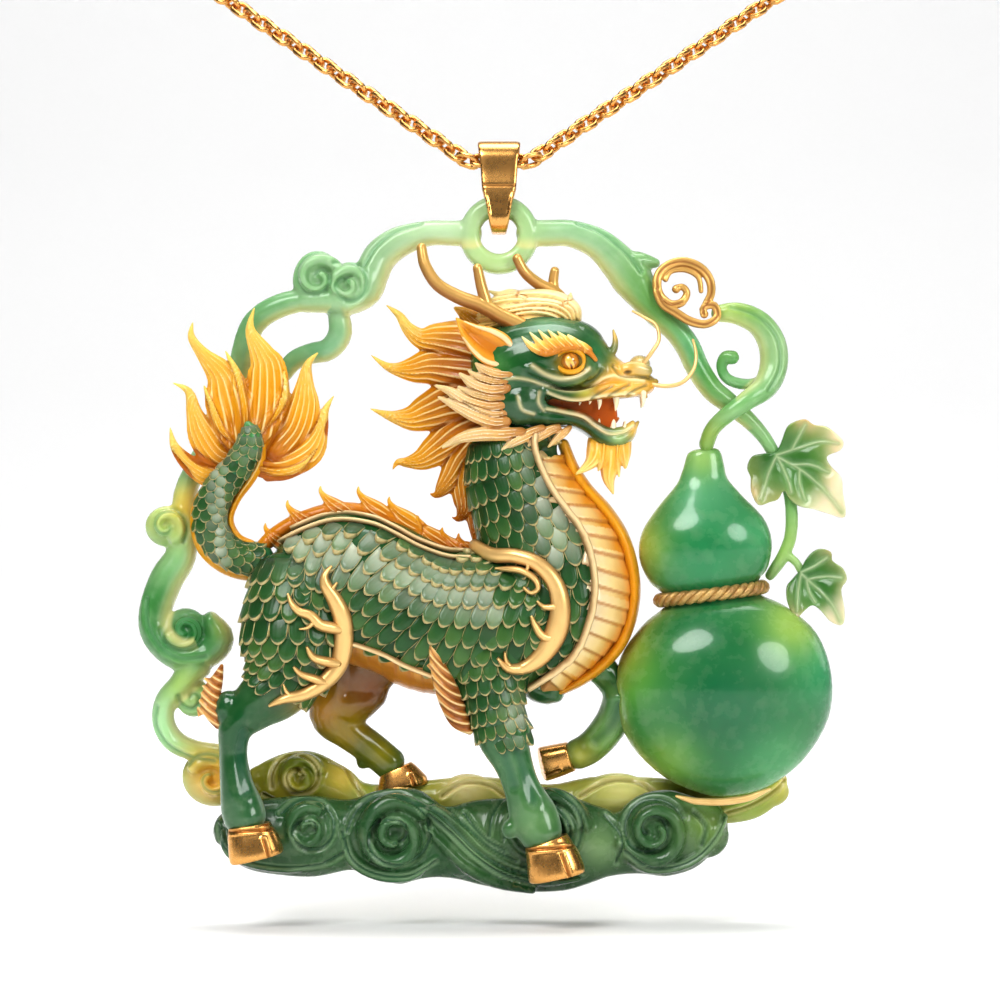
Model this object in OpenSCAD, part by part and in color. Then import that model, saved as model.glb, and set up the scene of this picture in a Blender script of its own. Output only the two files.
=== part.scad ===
/* [Carving] */
// Width of the carved pendant; everything from the bail down scales with it
pendant_w = 49.6; // [47:0.1:52]
// Thickness of the gap between neighbouring carved pieces
seam = 0.06; // [0.05:0.01:0.1]
// Sides of a thick carved stroke
thick_sides = 8; // [8:1:12]
// Sides of a thin carved stroke
thin_sides = 6; // [5:1:8]

/* [Eyelet] */
// Outer diameter of the round eyelet
eyelet_d = 5.5; // [5.3:0.1:5.6]
// Diameter of its hole
eyelet_hole_d = 2.7; // [2.6:0.05:2.8]
// Thickness of the eyelet from front to back
eyelet_t = 2; // [1.8:0.1:2.1]

/* [Bail] */
// Thickness of the folded strip
bail_t = 0.45; // [0.4:0.05:0.5]
// Half width of the strip over the chain
bail_top_w = 1.55; // [1.4:0.05:1.6]
// Inner radius of the fold that rides on the chain
bail_fold_r = 0.95; // [0.95:0.01:1]
// Height of the chain's centre over the eyelet's centre
bail_h = 5.15; // [5.1:0.05:5.3]

/* [Chain] */
// Width of the chain's links
chain_d = 1.4; // [1.2:0.1:1.5]
// Lean of the worn loop back from upright
loop_lean = 43.4; // [43:0.1:44]
// Length of the clasp
clasp_len = 9; // [7:0.5:11]
// Diameter of the clasp
clasp_d = 2.6; // [2.4:0.1:3]

/* [Gourd] */
// Depth of the gourd over its width
gourd_flat = 0.56; // [0.54:0.01:0.6]
// Lean of the gourd's axis, top to the left
gourd_lean = 7.5; // [6:0.5:9]

/* [Relief] */
// Height of the gold bands over the scaled skin
band_h = 0.4; // [0.3:0.05:0.5]

/* [Hidden] */

// Scale of the carving, whose tables were measured at a width of 49.6 mm
size = pendant_w / 49.6;

// The loop hangs from the nape at the origin. Its route is half of the worn loop, seen square on:
// x, way up the leaning plane from the point of its V
LOOP_ROUTE = [
    [2.2, 2.2], [10, 10], [20, 20], [30, 30], [40, 40], [47.4, 47.4], [54, 55], [60, 65],
    [64.5, 77], [66.8, 90], [66.5, 102], [63.5, 116], [58, 128.3], [50, 139.5], [40.5, 148],
    [29, 155], [15, 160.2], [6, 161.6], [4.5, 161.8]
];
LOOP_TOP = 161.8;
LOOP_RINGS = 26;
chain_sides = 8;

// Where the chain runs level through the bail
run_up = 2.13;
run_place = [0, (run_up - LOOP_TOP) * sin(loop_lean), (run_up - LOOP_TOP) * cos(loop_lean)];

function unit(v) = v / max(norm(v), 1e-9);
function row_at(rows, i) = rows[max(0, min(len(rows) - 1, i))];

// Point between rows i and i + 1 on the smooth curve through all the rows
function between(rows, i, t) =
    let (a = row_at(rows, i - 1), b = row_at(rows, i), c = row_at(rows, i + 1), d = row_at(rows, i + 2))
    b + 0.5 * t * (c - a + t * (2 * a - 5 * b + 4 * c - d + t * (3 * b - a - 3 * c + d)));

// Rows of a carved stroke are [x, z, y, half width seen from the front, half depth]
function spot(row) = [row[0], row[2], row[1]];
function ring(rows, i, sides, grow) =
    let (
        along = unit(spot(row_at(rows, i + 1)) - spot(row_at(rows, i - 1))),
        side = unit(cross([0, 1, 0], along)),
        depth = cross(along, side)
    )
    [for (k = [0 : sides - 1])
        spot(rows[i]) + side * (rows[i][3] + grow) * cos(360 * k / sides)
            + depth * (rows[i][4] + grow) * sin(360 * k / sides)];

// A small ring past an end closes it round
function end_row(row, next, part) =
    let (away = unit(spot(row) - spot(next)), far = part * min(row[3], row[4]))
    [row[0] + away[0] * far, row[1] + away[2] * far, row[2] + away[1] * far, row[3] * 0.6, row[4] * 0.6];
function rounded(rows) =
    let (last = len(rows) - 1)
    concat([end_row(rows[0], rows[1], 0.6)], rows, [end_row(rows[last], rows[last - 1], 0.6)]);

// Faces of a closed tube whose points come ring by ring
function tube_faces(rings, sides) = concat(
    [[for (k = [0 : sides - 1]) k]],
    [[for (k = [sides - 1 : -1 : 0]) (rings - 1) * sides + k]],
    [for (i = [0 : rings - 2], k = [0 : sides - 1])
        let (a = i * sides + k, b = i * sides + (k + 1) % sides)
        [a, a + sides, b + sides, b]]
);
// A stroke itself is one tube. Grown by the seam it is a cutter, a chain of convex links
module stroke(rows, grow = 0, sides = thick_sides, ends = true) {
    path = ends ? rounded(rows) : rows;
    if (grow == 0) {
        polyhedron(
            points = [for (i = [0 : len(path) - 1]) each ring(path, i, sides, 0)],
            faces = tube_faces(len(path), sides)
        );
    } else {
        for (i = [0 : len(path) - 2])
            hull() polyhedron(
                points = concat(ring(path, i, sides, grow), ring(path, i + 1, sides, grow)),
                faces = tube_faces(2, sides)
            );
    }
}

// A carved scroll: a stroke that winds inwards from radius r, from angle start through sweep
function curl_rows(x, z, y, r, w, d, start, sweep, steps) = [
    for (i = [0 : steps])
        let (part = i / steps, a = start + sweep * part, rr = r * (1 - 0.72 * part))
        [x + rr * cos(a), z + rr * sin(a), y - 0.3 * part, w * (1 - 0.45 * part), d]
];
module curl(x, z, y, r, w, d, start, sweep, grow = 0, steps = 8)
    stroke(curl_rows(x, z, y, r, w, d, start, sweep, steps), grow, sides = thin_sides);

// A lock of a flame or a lobe of a leaf runs from a buried root to a point
module lock(rows, grow = 0) stroke(rows, grow, sides = thin_sides, ends = false);

// A flattened round boss
module boss(x, z, y, rx, rz, d, grow = 0)
    translate([x, y, z]) scale([rx + grow, d + grow, rz + grow]) sphere(r = 1.05, $fn = 8);

// The carving hangs from the level run of the chain
module carved() translate(run_place) scale(size) translate([0, 0, -bail_h]) children();

// Chain and clasp

function lean(p) = [p[0], (p[1] - LOOP_TOP) * sin(loop_lean), (p[1] - LOOP_TOP) * cos(loop_lean)];
function half_loop(steps) =
    let (last = len(LOOP_ROUTE) - 1)
    [for (i = [0 : steps])
        let (at = min(i / steps, 0.9999) * last, k = floor(at))
        between(LOOP_ROUTE, k, at - k)];
function mirrored(points) = [for (i = [len(points) - 1 : -1 : 0]) [-points[i][0], points[i][1]]];
function tube_ring(points, i, r, sides) =
    let (
        along = unit(row_at(points, i + 1) - row_at(points, i - 1)),
        out = unit(cross(along, [0, cos(loop_lean), -sin(loop_lean)])),
        up = cross(along, out)
    )
    [for (k = [0 : sides - 1]) points[i] + r * (out * cos(360 * k / sides) + up * sin(360 * k / sides))];

module chain() color("gold") {
    half = half_loop(LOOP_RINGS);
    points = [for (p = concat(mirrored(half), half)) lean(p)];
    polyhedron(
        points = [for (i = [0 : len(points) - 1]) each tube_ring(points, i, chain_d / 2, chain_sides)],
        faces = tube_faces(len(points), chain_sides)
    );
}

module clasp() color("gold")
    rotate([0, 90, 0]) intersection() {
        cylinder(d = clasp_d, h = clasp_len - 0.1, center = true, $fn = 32);
        sphere(d = clasp_len - 0.1, $fn = 48);
    }

// Bail: outline from the front and outline from the side, [half width or half depth, height]

BAIL_FRONT = [[0.4, -0.15], [0.62, 0.5], [0.75, 1.2], [1.0, 2.1], [1.2, 3.2], [1.3, 5]];
BAIL_LEG_OUT = 1.75;
BAIL_BAR = [-0.15, 0.7];

module mirrored_outline(points) polygon(concat(points, mirrored(points)));

module bail() color("gold") carved() {
    fold_out = bail_fold_r + bail_t;
    leg_in = BAIL_LEG_OUT - bail_t;
    difference() {
        intersection() {
            rotate([90, 0, 90]) translate([0, 0, -2]) linear_extrude(4) {
                translate([0, bail_h]) circle(r = fold_out, $fn = 48);
                mirrored_outline([
                    [1.2, BAIL_BAR[0]], [1.6, 0.15], [BAIL_LEG_OUT, 0.8], [BAIL_LEG_OUT, 2.4],
                    [fold_out, bail_h]
                ]);
            }
            rotate([90, 0, 0]) translate([0, 0, -3]) linear_extrude(6)
                mirrored_outline(concat(BAIL_FRONT, [[bail_top_w, 6.2], [bail_top_w - 0.1, 7]]));
        }
        rotate([90, 0, 90]) translate([0, 0, -3]) linear_extrude(6) {
            translate([0, bail_h]) circle(r = bail_fold_r, $fn = 48);
            mirrored_outline([[0.95, BAIL_BAR[1]], [leg_in, 1], [leg_in, 2.4], [bail_fold_r, bail_h]]);
        }
    }
}

// Eyelet and the pale frame

module eyelet() color("darkseagreen") carved() rotate([90, 0, 0]) rotate_extrude($fn = 64)
    polygon([
        [eyelet_hole_d / 2, -eyelet_t / 2 + 0.4], [eyelet_hole_d / 2 + 0.3, -eyelet_t / 2],
        [eyelet_d / 2 - 0.4, -eyelet_t / 2], [eyelet_d / 2, -eyelet_t / 2 + 0.5],
        [eyelet_d / 2, eyelet_t / 2 - 0.5], [eyelet_d / 2 - 0.4, eyelet_t / 2],
        [eyelet_hole_d / 2 + 0.3, eyelet_t / 2], [eyelet_hole_d / 2, eyelet_t / 2 - 0.4]
    ]);
module eyelet_space() rotate([90, 0, 0]) cylinder(d = eyelet_d + 2 * seam, h = 6, center = true, $fn = 32);

ARM_LEFT = [
    [-2.3, 0.1, 0, 0.95, 0.9], [-4.2, 0.15, 0, 0.85, 0.95], [-5.8, 0, 0, 0.95, 1],
    [-7.1, -0.55, 0, 1.1, 1.1],
    [-8.3, -1.5, -0.1, 1.2, 1.2], [-8.9, -2.8, -0.3, 1.2, 1.3], [-9.3, -4, -0.5, 1.1, 1.3],
    [-10.5, -4.8, -0.6, 0.85, 1.2], [-11.9, -4.6, -0.4, 0.9, 1.1], [-13.6, -4.6, 0, 0.85, 1]
];
SIDE_LEFT = [
    [-13.4, -4.5, 0.02, 0.8, 0.9], [-15.2, -4.9, 0.04, 0.85, 0.85], [-16.8, -5.8, 0.2, 0.85, 0.8],
    [-17.7, -7.3, 0.5, 0.85, 0.7], [-19, -12, 1.1, 0.8, 0.6], [-21.8, -17.4, 0.7, 0.8, 0.9],
    [-22.1, -20, 0.5, 0.9, 1.1], [-22.3, -22.4, 0.4, 1.1, 1.2], [-23.3, -24.1, 0.3, 1.25, 1.3],
    [-24.1, -26.4, 0.2, 1.15, 1.4], [-23.9, -28.1, 0.1, 1.15, 1.4], [-22.4, -29.7, 0, 1.15, 1.4],
    [-20.6, -29.5, 0, 1.15, 1.4], [-19.6, -28.3, -0.1, 1.1, 1.3], [-20.2, -26.8, -0.3, 0.55, 1]
];
HOOK_LEFT = [
    [-11.4, -4.8, 0, 0.7, 0.9], [-11.1, -6.8, -0.1, 0.85, 0.9], [-11.9, -8, -0.2, 0.8, 0.8],
    [-13.2, -8.3, 0.2, 0.75, 0.7], [-14.4, -8.8, 0.6, 0.7, 0.6], [-15.2, -9.8, 0.8, 0.6, 0.5]
];
LOW_LEFT = [
    [-21.2, -30, 0, 1.3, 1.3], [-22.2, -31.4, 0.1, 0.9, 1.2], [-23.3, -32.6, 0.2, 0.8, 1.1],
    [-23.5, -34.1, 0.2, 0.8, 1.1], [-22.8, -35.4, 0.3, 0.8, 1.1], [-21.4, -36.1, 0.4, 0.75, 1.1],
    [-19.6, -36.4, 0.5, 0.75, 1]
];

module frame_left_form(grow = 0) {
    stroke(ARM_LEFT, grow);
    stroke(SIDE_LEFT, grow);
    stroke(HOOK_LEFT, grow);
    stroke(LOW_LEFT, grow);
    curl(-10.6, -3.6, -1.1, 1.35, 0.65, 0.7, -90, 330, grow, steps = 5);
    curl(-12.6, -3, -0.8, 1.4, 0.65, 0.8, -30, 330, grow, steps = 5);
    boss(-12.7, -3.2, 0, 1.8, 2.1, 1.1, grow);
    boss(-10.4, -3.7, -0.2, 1.7, 1.8, 1.2, grow);
    boss(-23.2, -20.4, 0.3, 1.6, 1.45, 1.1, grow);
    boss(-21.9, -27.6, -0.4, 1.5, 1.5, 1.3, grow);
    boss(-21.4, -32.4, 0.3, 1.3, 1.4, 0.9, grow);
    boss(-20, -38, 1.2, 2.3, 2.1, 1.1, grow);
}
module frame_left() color("darkseagreen") carved() difference() {
    frame_left_form();
    eyelet_space();
}

ARM_RIGHT = [
    [2.3, 0.1, 0, 0.95, 0.9], [4.2, 0.2, 0, 0.9, 0.95], [5.8, 0, 0, 0.95, 1], [7.1, -0.8, 0, 1.1, 1.1],
    [8.5, -2, -0.1, 1.35, 1.2], [9.4, -3.3, -0.1, 1.45, 1.2], [10.3, -4.7, 0, 1, 1.1],
    [11.2, -5.6, 0, 0.95, 1], [12.3, -6.6, 0, 0.9, 1], [13.2, -7.8, 0, 0.9, 0.95],
    [13.9, -9.3, 0, 0.85, 0.9], [14.9, -10.8, 0, 0.8, 0.9], [16, -11.7, 0, 0.75, 0.8],
    [17.4, -12.9, 0.1, 0.6, 0.6], [18.6, -14.2, 0.2, 0.5, 0.5], [19.6, -16, 0.3, 0.45, 0.45],
    [20.3, -18, 0.3, 0.42, 0.42], [20.5, -19.6, 0.2, 0.45, 0.45], [20.4, -21.2, 0.2, 0.45, 0.45],
    [19.9, -22.5, 0.4, 0.45, 0.45], [19.4, -23.3, 0.6, 0.42, 0.42], [19, -23.9, 0.9, 0.36, 0.36]
];
TWIG = [[20, -22.3, 0.26, 0.33, 0.35], [20.8, -22.9, 0.24, 0.3, 0.33], [21.3, -23.8, 0.13, 0.3, 0.33]];
KNUCKLE = [[8.6, -2, -0.07, 0.9, 1], [9.8, -1.8, -0.07, 0.65, 0.9], [11, -2, -0.07, 0.35, 0.5]];
module frame_right_form(grow = 0) {
    stroke(ARM_RIGHT, grow);
    stroke(KNUCKLE, grow, sides = thin_sides);
    stroke(TWIG, grow, sides = thin_sides);
}
module frame_right() color("darkseagreen") carved() difference() {
    frame_right_form();
    eyelet_space();
}

VINE_LOOP = [
    [15.3, -5.5, -0.1, 0.6, 0.7], [16.7, -5.5, -0.1, 0.8, 0.8], [18.2, -6.2, -0.1, 0.9, 0.9],
    [19.1, -7.6, -0.1, 1, 0.95], [19.2, -9.2, -0.2, 1, 0.95], [18.6, -10.6, -0.7, 0.9, 0.85],
    [17.3, -11.6, -1.55, 0.7, 0.6], [15.9, -12.6, -1.6, 0.6, 0.6], [14.9, -13.6, -0.8, 0.55, 0.6],
    [14.6, -14.4, -0.3, 0.55, 0.6]
];
TENDRIL = [
    [18.9, -9.9, -0.2, 0.45, 0.5], [17.9, -10.3, -0.15, 0.36, 0.45], [16.8, -10.3, -0.13, 0.34, 0.45],
    [16, -9.9, -0.1, 0.34, 0.45], [15.7, -9.2, -0.2, 0.34, 0.45], [15.9, -8.5, -0.3, 0.34, 0.45],
    [16.5, -8.5, -0.4, 0.4, 0.45]
];
module vine_form(grow = 0) {
    stroke(VINE_LOOP, grow);
    stroke(TENDRIL, grow, sides = thin_sides);
}
module vine() color("olivedrab") carved() difference() {
    vine_form();
    frame_right_form(seam);
}

// Leaves: each lobe is a flat stroke from the leaf's base, [x, z, y, half width, half depth]
LEAF_UPPER = [
    [
        [19.3, -15.3, 0, 0.8, 0.45], [21.2, -14.4, -0.3, 1.3, 0.5], [22.6, -14.4, -0.5, 0.9, 0.4],
        [23.9, -14.6, -0.6, 0.2, 0.2]
    ],
    [
        [19.4, -15.6, 0, 0.9, 0.45], [21.2, -16.6, -0.3, 1.7, 0.5], [22.8, -18.1, -0.5, 1.1, 0.4],
        [24, -19.5, -0.6, 0.25, 0.2]
    ],
    [
        [19.2, -15.6, 0, 0.8, 0.45], [19, -16.8, -0.3, 1.2, 0.5], [18.8, -17.9, -0.4, 0.9, 0.4],
        [18.4, -18.7, -0.5, 0.3, 0.2]
    ],
    [[20, -16.5, -0.2, 1, 0.45], [20.5, -17.5, -0.4, 0.9, 0.4], [20.8, -18.4, -0.5, 0.3, 0.2]]
];
LEAF_LOWER = [
    [[21.2, -23.6, 0, 0.6, 0.4], [22.2, -23.1, -0.2, 0.9, 0.45], [22.8, -22.5, -0.3, 0.5, 0.3]],
    [
        [21.2, -23.8, 0, 0.7, 0.4], [22.4, -24.7, -0.2, 1.5, 0.5], [23.3, -25.9, -0.3, 0.9, 0.4],
        [23.9, -27, -0.4, 0.2, 0.2]
    ],
    [[21.2, -24, 0, 0.7, 0.4], [21, -25.2, -0.2, 0.9, 0.45], [20.8, -26.5, -0.3, 0.25, 0.2]]
];
module leaf(lobes) color("yellowgreen") carved() difference() {
    for (lobe = lobes) lock(lobe);
    stroke(ARM_RIGHT, seam, sides = thick_sides);
    stroke(TWIG, seam, sides = thin_sides);
}
module leaf_upper() leaf(LEAF_UPPER);
module leaf_lower() leaf(LEAF_LOWER);

GOLD_COIL = [
    [12.4, -3.9, -0.9, 0.2, 0.2], [13.1, -4.1, -1, 0.22, 0.22], [12.7, -4.9, -1.1, 0.25, 0.25],
    [11.9, -4.9, -1.2, 0.27, 0.27], [11.2, -4.3, -1.3, 0.27, 0.27], [11, -3.4, -1.2, 0.27, 0.27],
    [11.3, -2.6, -1, 0.27, 0.27], [12.1, -2.05, -0.9, 0.27, 0.27], [13.1, -1.95, -0.9, 0.27, 0.27],
    [14.1, -2.4, -0.9, 0.27, 0.27], [14.7, -3.2, -0.9, 0.27, 0.27], [14.8, -4.1, -0.92, 0.25, 0.25],
    [14.5, -4.8, -0.94, 0.24, 0.24], [14.2, -5.3, -0.96, 0.22, 0.22]
];
GOLD_SWEEP = [
    [11, -4, -1.35, 0.27, 0.27], [11.4, -4.9, -1.5, 0.27, 0.27], [12.3, -5.5, -1.5, 0.27, 0.27],
    [13.3, -6.1, -1.45, 0.27, 0.27], [14.4, -6.3, -1.3, 0.25, 0.25], [15.2, -5.8, -1.2, 0.24, 0.24],
    [15, -5, -1.1, 0.24, 0.24], [14.3, -5.1, -1, 0.24, 0.24]
];
module gold_scroll() color("gold") carved() difference() {
    union() {
        stroke(GOLD_COIL, sides = thin_sides);
        stroke(GOLD_SWEEP, sides = thin_sides);
    }
    frame_right_form(seam);
    vine_form(seam);
}

// Clouds

BASE = [
    [-18.9, -41.6, 0.3, 1.45, 1.6], [-17.4, -42, 0.3, 2.55, 2.1], [-15.2, -42.1, 0.3, 2.85, 2.3],
    [-12.9, -42.1, 0.3, 2.95, 2.2], [-10.4, -42, 0.3, 2.55, 1.8], [-8.6, -42, 0.3, 3.25, 1.9],
    [-6.4, -42.1, 0.3, 3.45, 1.9], [-4, -42.5, 0.3, 2.55, 1.8], [-1.3, -42.5, 0.3, 3.05, 1.9],
    [1.7, -42.7, 0.3, 3.35, 1.9], [4.7, -42.6, 0.3, 3.35, 1.9], [7, -42.6, 0.3, 2.65, 1.8],
    [8.6, -42.6, 0.3, 2.25, 1.7], [10.8, -42, 0.3, 3.05, 1.9], [13, -41.7, 0.3, 2.85, 1.8],
    [14.9, -41.2, 0.3, 1.75, 1.4]
];
module base_form(grow = 0) {
    stroke(BASE, grow);
    curl(-13.3, -41.4, -1.4, 1.15, 0.6, 0.9, 60, 330, grow, steps = 6);
    curl(-7.4, -42, -1.4, 2.5, 0.8, 0.9, 40, 450, grow, steps = 7);
    curl(2.9, -41.7, -0.8, 3.4, 0.7, 0.9, 10, 300, grow, steps = 6);
    curl(10.9, -41.6, -1.1, 2.1, 0.7, 0.9, 200, 400, grow, steps = 6);
}
module cloud_base() color("darkgreen") carved() difference() {
    base_form();
    frame_left_form(seam);
    stroke(LEG_HIND_NEAR, seam);
    stroke(LEG_FORE_NEAR, seam);
    all_hooves(seam);
    gourd_form(seam);
}

CLOUDS_BACK = [
    [-17, -38.5, 2.7, 1.3, 1.1], [-15.4, -38.4, 2.9, 1.9, 1.3], [-13.6, -38.4, 3, 2.15, 1.4],
    [-11.6, -38.9, 2.9, 1.7, 1.3], [-9, -39.9, 2.8, 1.3, 1.2], [-1.8, -39.6, 2.9, 1.5, 1.3],
    [3.5, -40, 2.8, 1.4, 1.3], [7.6, -39.6, 2.8, 1.6, 1.3], [15.5, -39.9, 2.4, 1.6, 1.2],
    [18.3, -39.2, 2.2, 1.6, 1.1], [19.8, -38.3, 2, 0.7, 0.9]
];
module back_clouds_form(grow = 0) {
    stroke(CLOUDS_BACK, grow);
    curl(-14, -38.1, 2.2, 1.4, 0.6, 0.9, 20, 340, grow, steps = 6);
}
module back_clouds() color("olive") carved() difference() {
    back_clouds_form();
    stroke(BASE, seam);
    frame_left_form(seam);
    all_hooves(seam);
    gourd_form(seam);
}

// Gourd: half outline along its own axis, [way up from the waist, radius]

GOURD = [
    [10.4, 1.1], [9.4, 1.5], [8.2, 1.8], [7, 2.8], [5.2, 4.3], [3.4, 4.7], [1.7, 4.25],
    [0.85, 3.4], [0.3, 3], [-0.25, 3.4], [-1.3, 5.15], [-3.4, 6.95], [-6.4, 7.6], [-9.4, 7],
    [-12, 5], [-13.4, 2.8], [-13.95, 0.6]
];
GOURD_WAIST = [14.9, 0, -25.4];
gourd_sides = 18;
module on_gourd_axis()
    translate(GOURD_WAIST) rotate([0, -gourd_lean, 0]) scale([1, gourd_flat, 1]) children();
module gourd_form(grow = 0) on_gourd_axis() polyhedron(
    points = [for (row = GOURD, k = [0 : gourd_sides - 1])
        (row[1] + grow) * [cos(360 * k / gourd_sides), -sin(360 * k / gourd_sides), 0]
            + [0, 0, row[0] + (row[0] > 0 ? grow : -grow)]],
    faces = tube_faces(len(GOURD), gourd_sides)
);
module gourd() color("seagreen") carved() difference() {
    gourd_form();
    stroke(LEG_FORE_FAR, seam);
    stroke(NECK, seam, sides = 12);
    stroke(ARM_RIGHT, seam);
}

// Ring of the cord round the waist: its mean radius, its own radius and its height over the waist
CORD = [3.65, 0.45, 0.3];
cord_steps = 18;
cord_sides = 6;
module gourd_cord() color("peru") carved() translate(GOURD_WAIST) rotate([0, -gourd_lean, 0])
    polyhedron(
        points = [for (i = [0 : cord_steps - 1], k = [0 : cord_sides - 1])
            let (
                a = 360 * i / cord_steps,
                b = 360 * k / cord_sides,
                out = unit([gourd_flat * cos(a), sin(a), 0])
            )
            [CORD[0] * cos(a), (CORD[0] * gourd_flat + 0.15) * sin(a), CORD[2] + CORD[1] * sin(b)]
                + CORD[1] * cos(b) * out],
        faces = [for (i = [0 : cord_steps - 1], k = [0 : cord_sides - 1])
            let (
                a = i * cord_sides + k,
                b = i * cord_sides + (k + 1) % cord_sides,
                next = ((i + 1) % cord_steps - i) * cord_sides
            )
            [b, a, a + next, b + next]]
    );

GOURD_FOOT = [
    [12.3, -39.1, -2.2, 0.2, 0.25], [13.7, -39.45, -2.3, 0.26, 0.28], [15.4, -39.5, -2.35, 0.28, 0.28],
    [17.2, -39.25, -2.3, 0.26, 0.28], [18.8, -38.6, -2.2, 0.2, 0.25]
];
module gourd_foot() color("gold") carved() stroke(GOURD_FOOT, sides = thin_sides);

// Qilin: torso, neck and legs

TORSO = [
    [-15.6, -25.2, -0.6, 2.4, 2.6], [-13.9, -24.9, -0.6, 4.3, 3.6], [-11.8, -24.6, -0.6, 5, 4],
    [-9.4, -24.7, -0.6, 5.2, 4.2], [-7, -25.8, -0.6, 5.3, 4.2], [-4.2, -26.9, -0.6, 5.1, 4.2],
    [-1.2, -27.1, -0.6, 5.2, 4.3], [1.8, -26.9, -0.6, 5, 4.1], [4.2, -26.5, -0.6, 4, 3.5]
];
NECK = [
    [0.9, -14.6, -0.8, 3.2, 2.4], [1.4, -16.6, -0.8, 3.9, 2.7], [2.4, -18.8, -0.8, 4.4, 3],
    [3.4, -21, -0.7, 5, 3.4], [4.1, -23.4, -0.7, 5.4, 3.7], [4.4, -25.8, -0.6, 5.2, 3.9],
    [4.2, -28, -0.6, 4.5, 3.7], [3.6, -29.9, -0.6, 3.3, 3.1], [3.1, -31.2, -0.6, 2, 2.2]
];
LEG_HIND_NEAR = [
    [-13.7, -24, -1.8, 3.3, 2.6], [-14.1, -27, -2.4, 3.7, 2.7], [-14.3, -29.4, -2.6, 3.3, 2.4],
    [-15.4, -31.5, -2.8, 2.4, 1.9], [-17, -32.9, -2.9, 1.75, 1.5], [-18.2, -34.3, -2.9, 1.3, 1.2],
    [-18.4, -36, -2.9, 1, 1], [-18.2, -38, -3, 1.2, 1.1], [-17.8, -39.7, -3.1, 1.55, 1.2],
    [-17.5, -40.6, -3.2, 1.5, 1.2]
];
LEG_HIND_FAR = [
    [-9.2, -30, 1.4, 2.9, 1.8], [-10.7, -32.2, 1.9, 2.4, 1.6], [-11.7, -33.7, 2.2, 1.75, 1.3],
    [-10.5, -35, 2.4, 1.35, 1.1], [-8.9, -36.2, 2.5, 1.25, 1], [-7.6, -37.2, 2.5, 1.2, 1]
];
LEG_FORE_NEAR = [
    [-0.5, -28, -2, 3, 2.5], [-0.6, -30.6, -2.4, 2.6, 2.1], [-0.2, -33, -2.7, 1.95, 1.7],
    [0.3, -35, -2.9, 1.85, 1.4], [1, -36.8, -3, 1.4, 1.2], [1.6, -38.5, -3.1, 1.3, 1.1],
    [2.4, -40.4, -3.2, 1.75, 1.2], [3, -41.6, -3.3, 1.5, 1.2]
];
LEG_FORE_FAR = [
    [5.6, -29, 1, 2.4, 1.8], [7.6, -30.6, 0.4, 1.7, 1.6], [8.5, -32, 0.2, 1.4, 1.4],
    [8.2, -33.6, 0.7, 1.3, 1.2], [7.3, -35.1, 1.5, 1.25, 1.1], [6.3, -36.1, 2.1, 1.2, 1],
    [5.5, -36.5, 2.3, 1.1, 1]
];
module trunk(grow = 0) {
    stroke(TORSO, grow, sides = 12);
    stroke(NECK, grow, sides = 12);
}
LEGS = [LEG_HIND_NEAR, LEG_HIND_FAR, LEG_FORE_NEAR, LEG_FORE_FAR];
module legs(grow = 0) for (leg = LEGS) stroke(leg, grow);
module body_form(grow = 0) {
    trunk(grow);
    legs(grow);
}

// Outside of the line where the scaled skin meets the ribbed plates, seen from the front, [x, z]
CHEST_EDGE = [
    [2.5, -13], [2.6, -15.4], [3.8, -18], [5.5, -20.3], [6.4, -22.6], [6.6, -25], [6.1, -27.3],
    [5.2, -29.2], [3.6, -30.6], [2.2, -31.5], [2.2, -34], [5.4, -34], [6.2, -31.4], [12, -28], [12, -13]
];
BELLY_EDGE = [
    [-10.9, -28.3], [-8.2, -29.1], [-6.4, -30], [-3.2, -31], [-3.2, -34], [-7, -34], [-9.6, -30.9],
    [-10.6, -29.6]
];
module space_beyond(edge, shrink = 0) rotate([90, 0, 0]) translate([0, 0, -6]) linear_extrude(12)
    offset(delta = -shrink) polygon(edge);
module plate_space() {
    space_beyond(CHEST_EDGE);
    space_beyond(BELLY_EDGE);
}
module body() color("darkgreen") carved() {
    difference() {
        trunk();
        plate_space();
    }
    legs();
}

// Plates: ribs down the throat and chest, [x, z, half width, half depth], each with a groove after it
CHEST_RIBS = [
    [3.4, -15.2, 1.7, 1.9], [4.5, -17.2, 2, 2.4], [5.8, -19.1, 2.1, 2.8], [6.6, -21.1, 2.3, 3.2],
    [7.2, -23.2, 2.3, 3.4], [7.4, -25.3, 2.2, 3.4], [7, -27.4, 2.1, 3.2], [5.9, -29.3, 2.1, 2.9],
    [4, -30.9, 1.6, 2.4]
];
groove_part = 0.88;
function ribbed(ribs) = [for (i = [0 : len(ribs) - 1], step = [0, 0.5])
    let (a = ribs[i], b = row_at(ribs, i + 1), part = step > 0 ? groove_part : 1)
    if (step == 0 || i < len(ribs) - 1)
        [a[0] + step * (b[0] - a[0]), a[1] + step * (b[1] - a[1]), -0.7, a[2] * part, a[3] * part]];
BELLY = [
    [-9.9, -29.1, -0.6, 0.8, 2.6], [-8.2, -29.9, -0.6, 1, 2.8], [-6.4, -30.9, -0.6, 1, 2.8],
    [-4.6, -31.4, -0.6, 0.7, 2.6]
];
module chest_form(grow = 0) {
    stroke(NECK, grow, sides = thick_sides);
    stroke(ribbed(CHEST_RIBS), grow, sides = thin_sides);
}
module chest_plates() color("goldenrod") carved() difference() {
    intersection() {
        chest_form();
        space_beyond(CHEST_EDGE, seam);
    }
    legs(seam);
    stroke(JAW, seam);
}
module belly_plates() color("goldenrod") carved() difference() {
    intersection() {
        stroke(BELLY);
        space_beyond(BELLY_EDGE, seam);
    }
    legs(seam);
}

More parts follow.
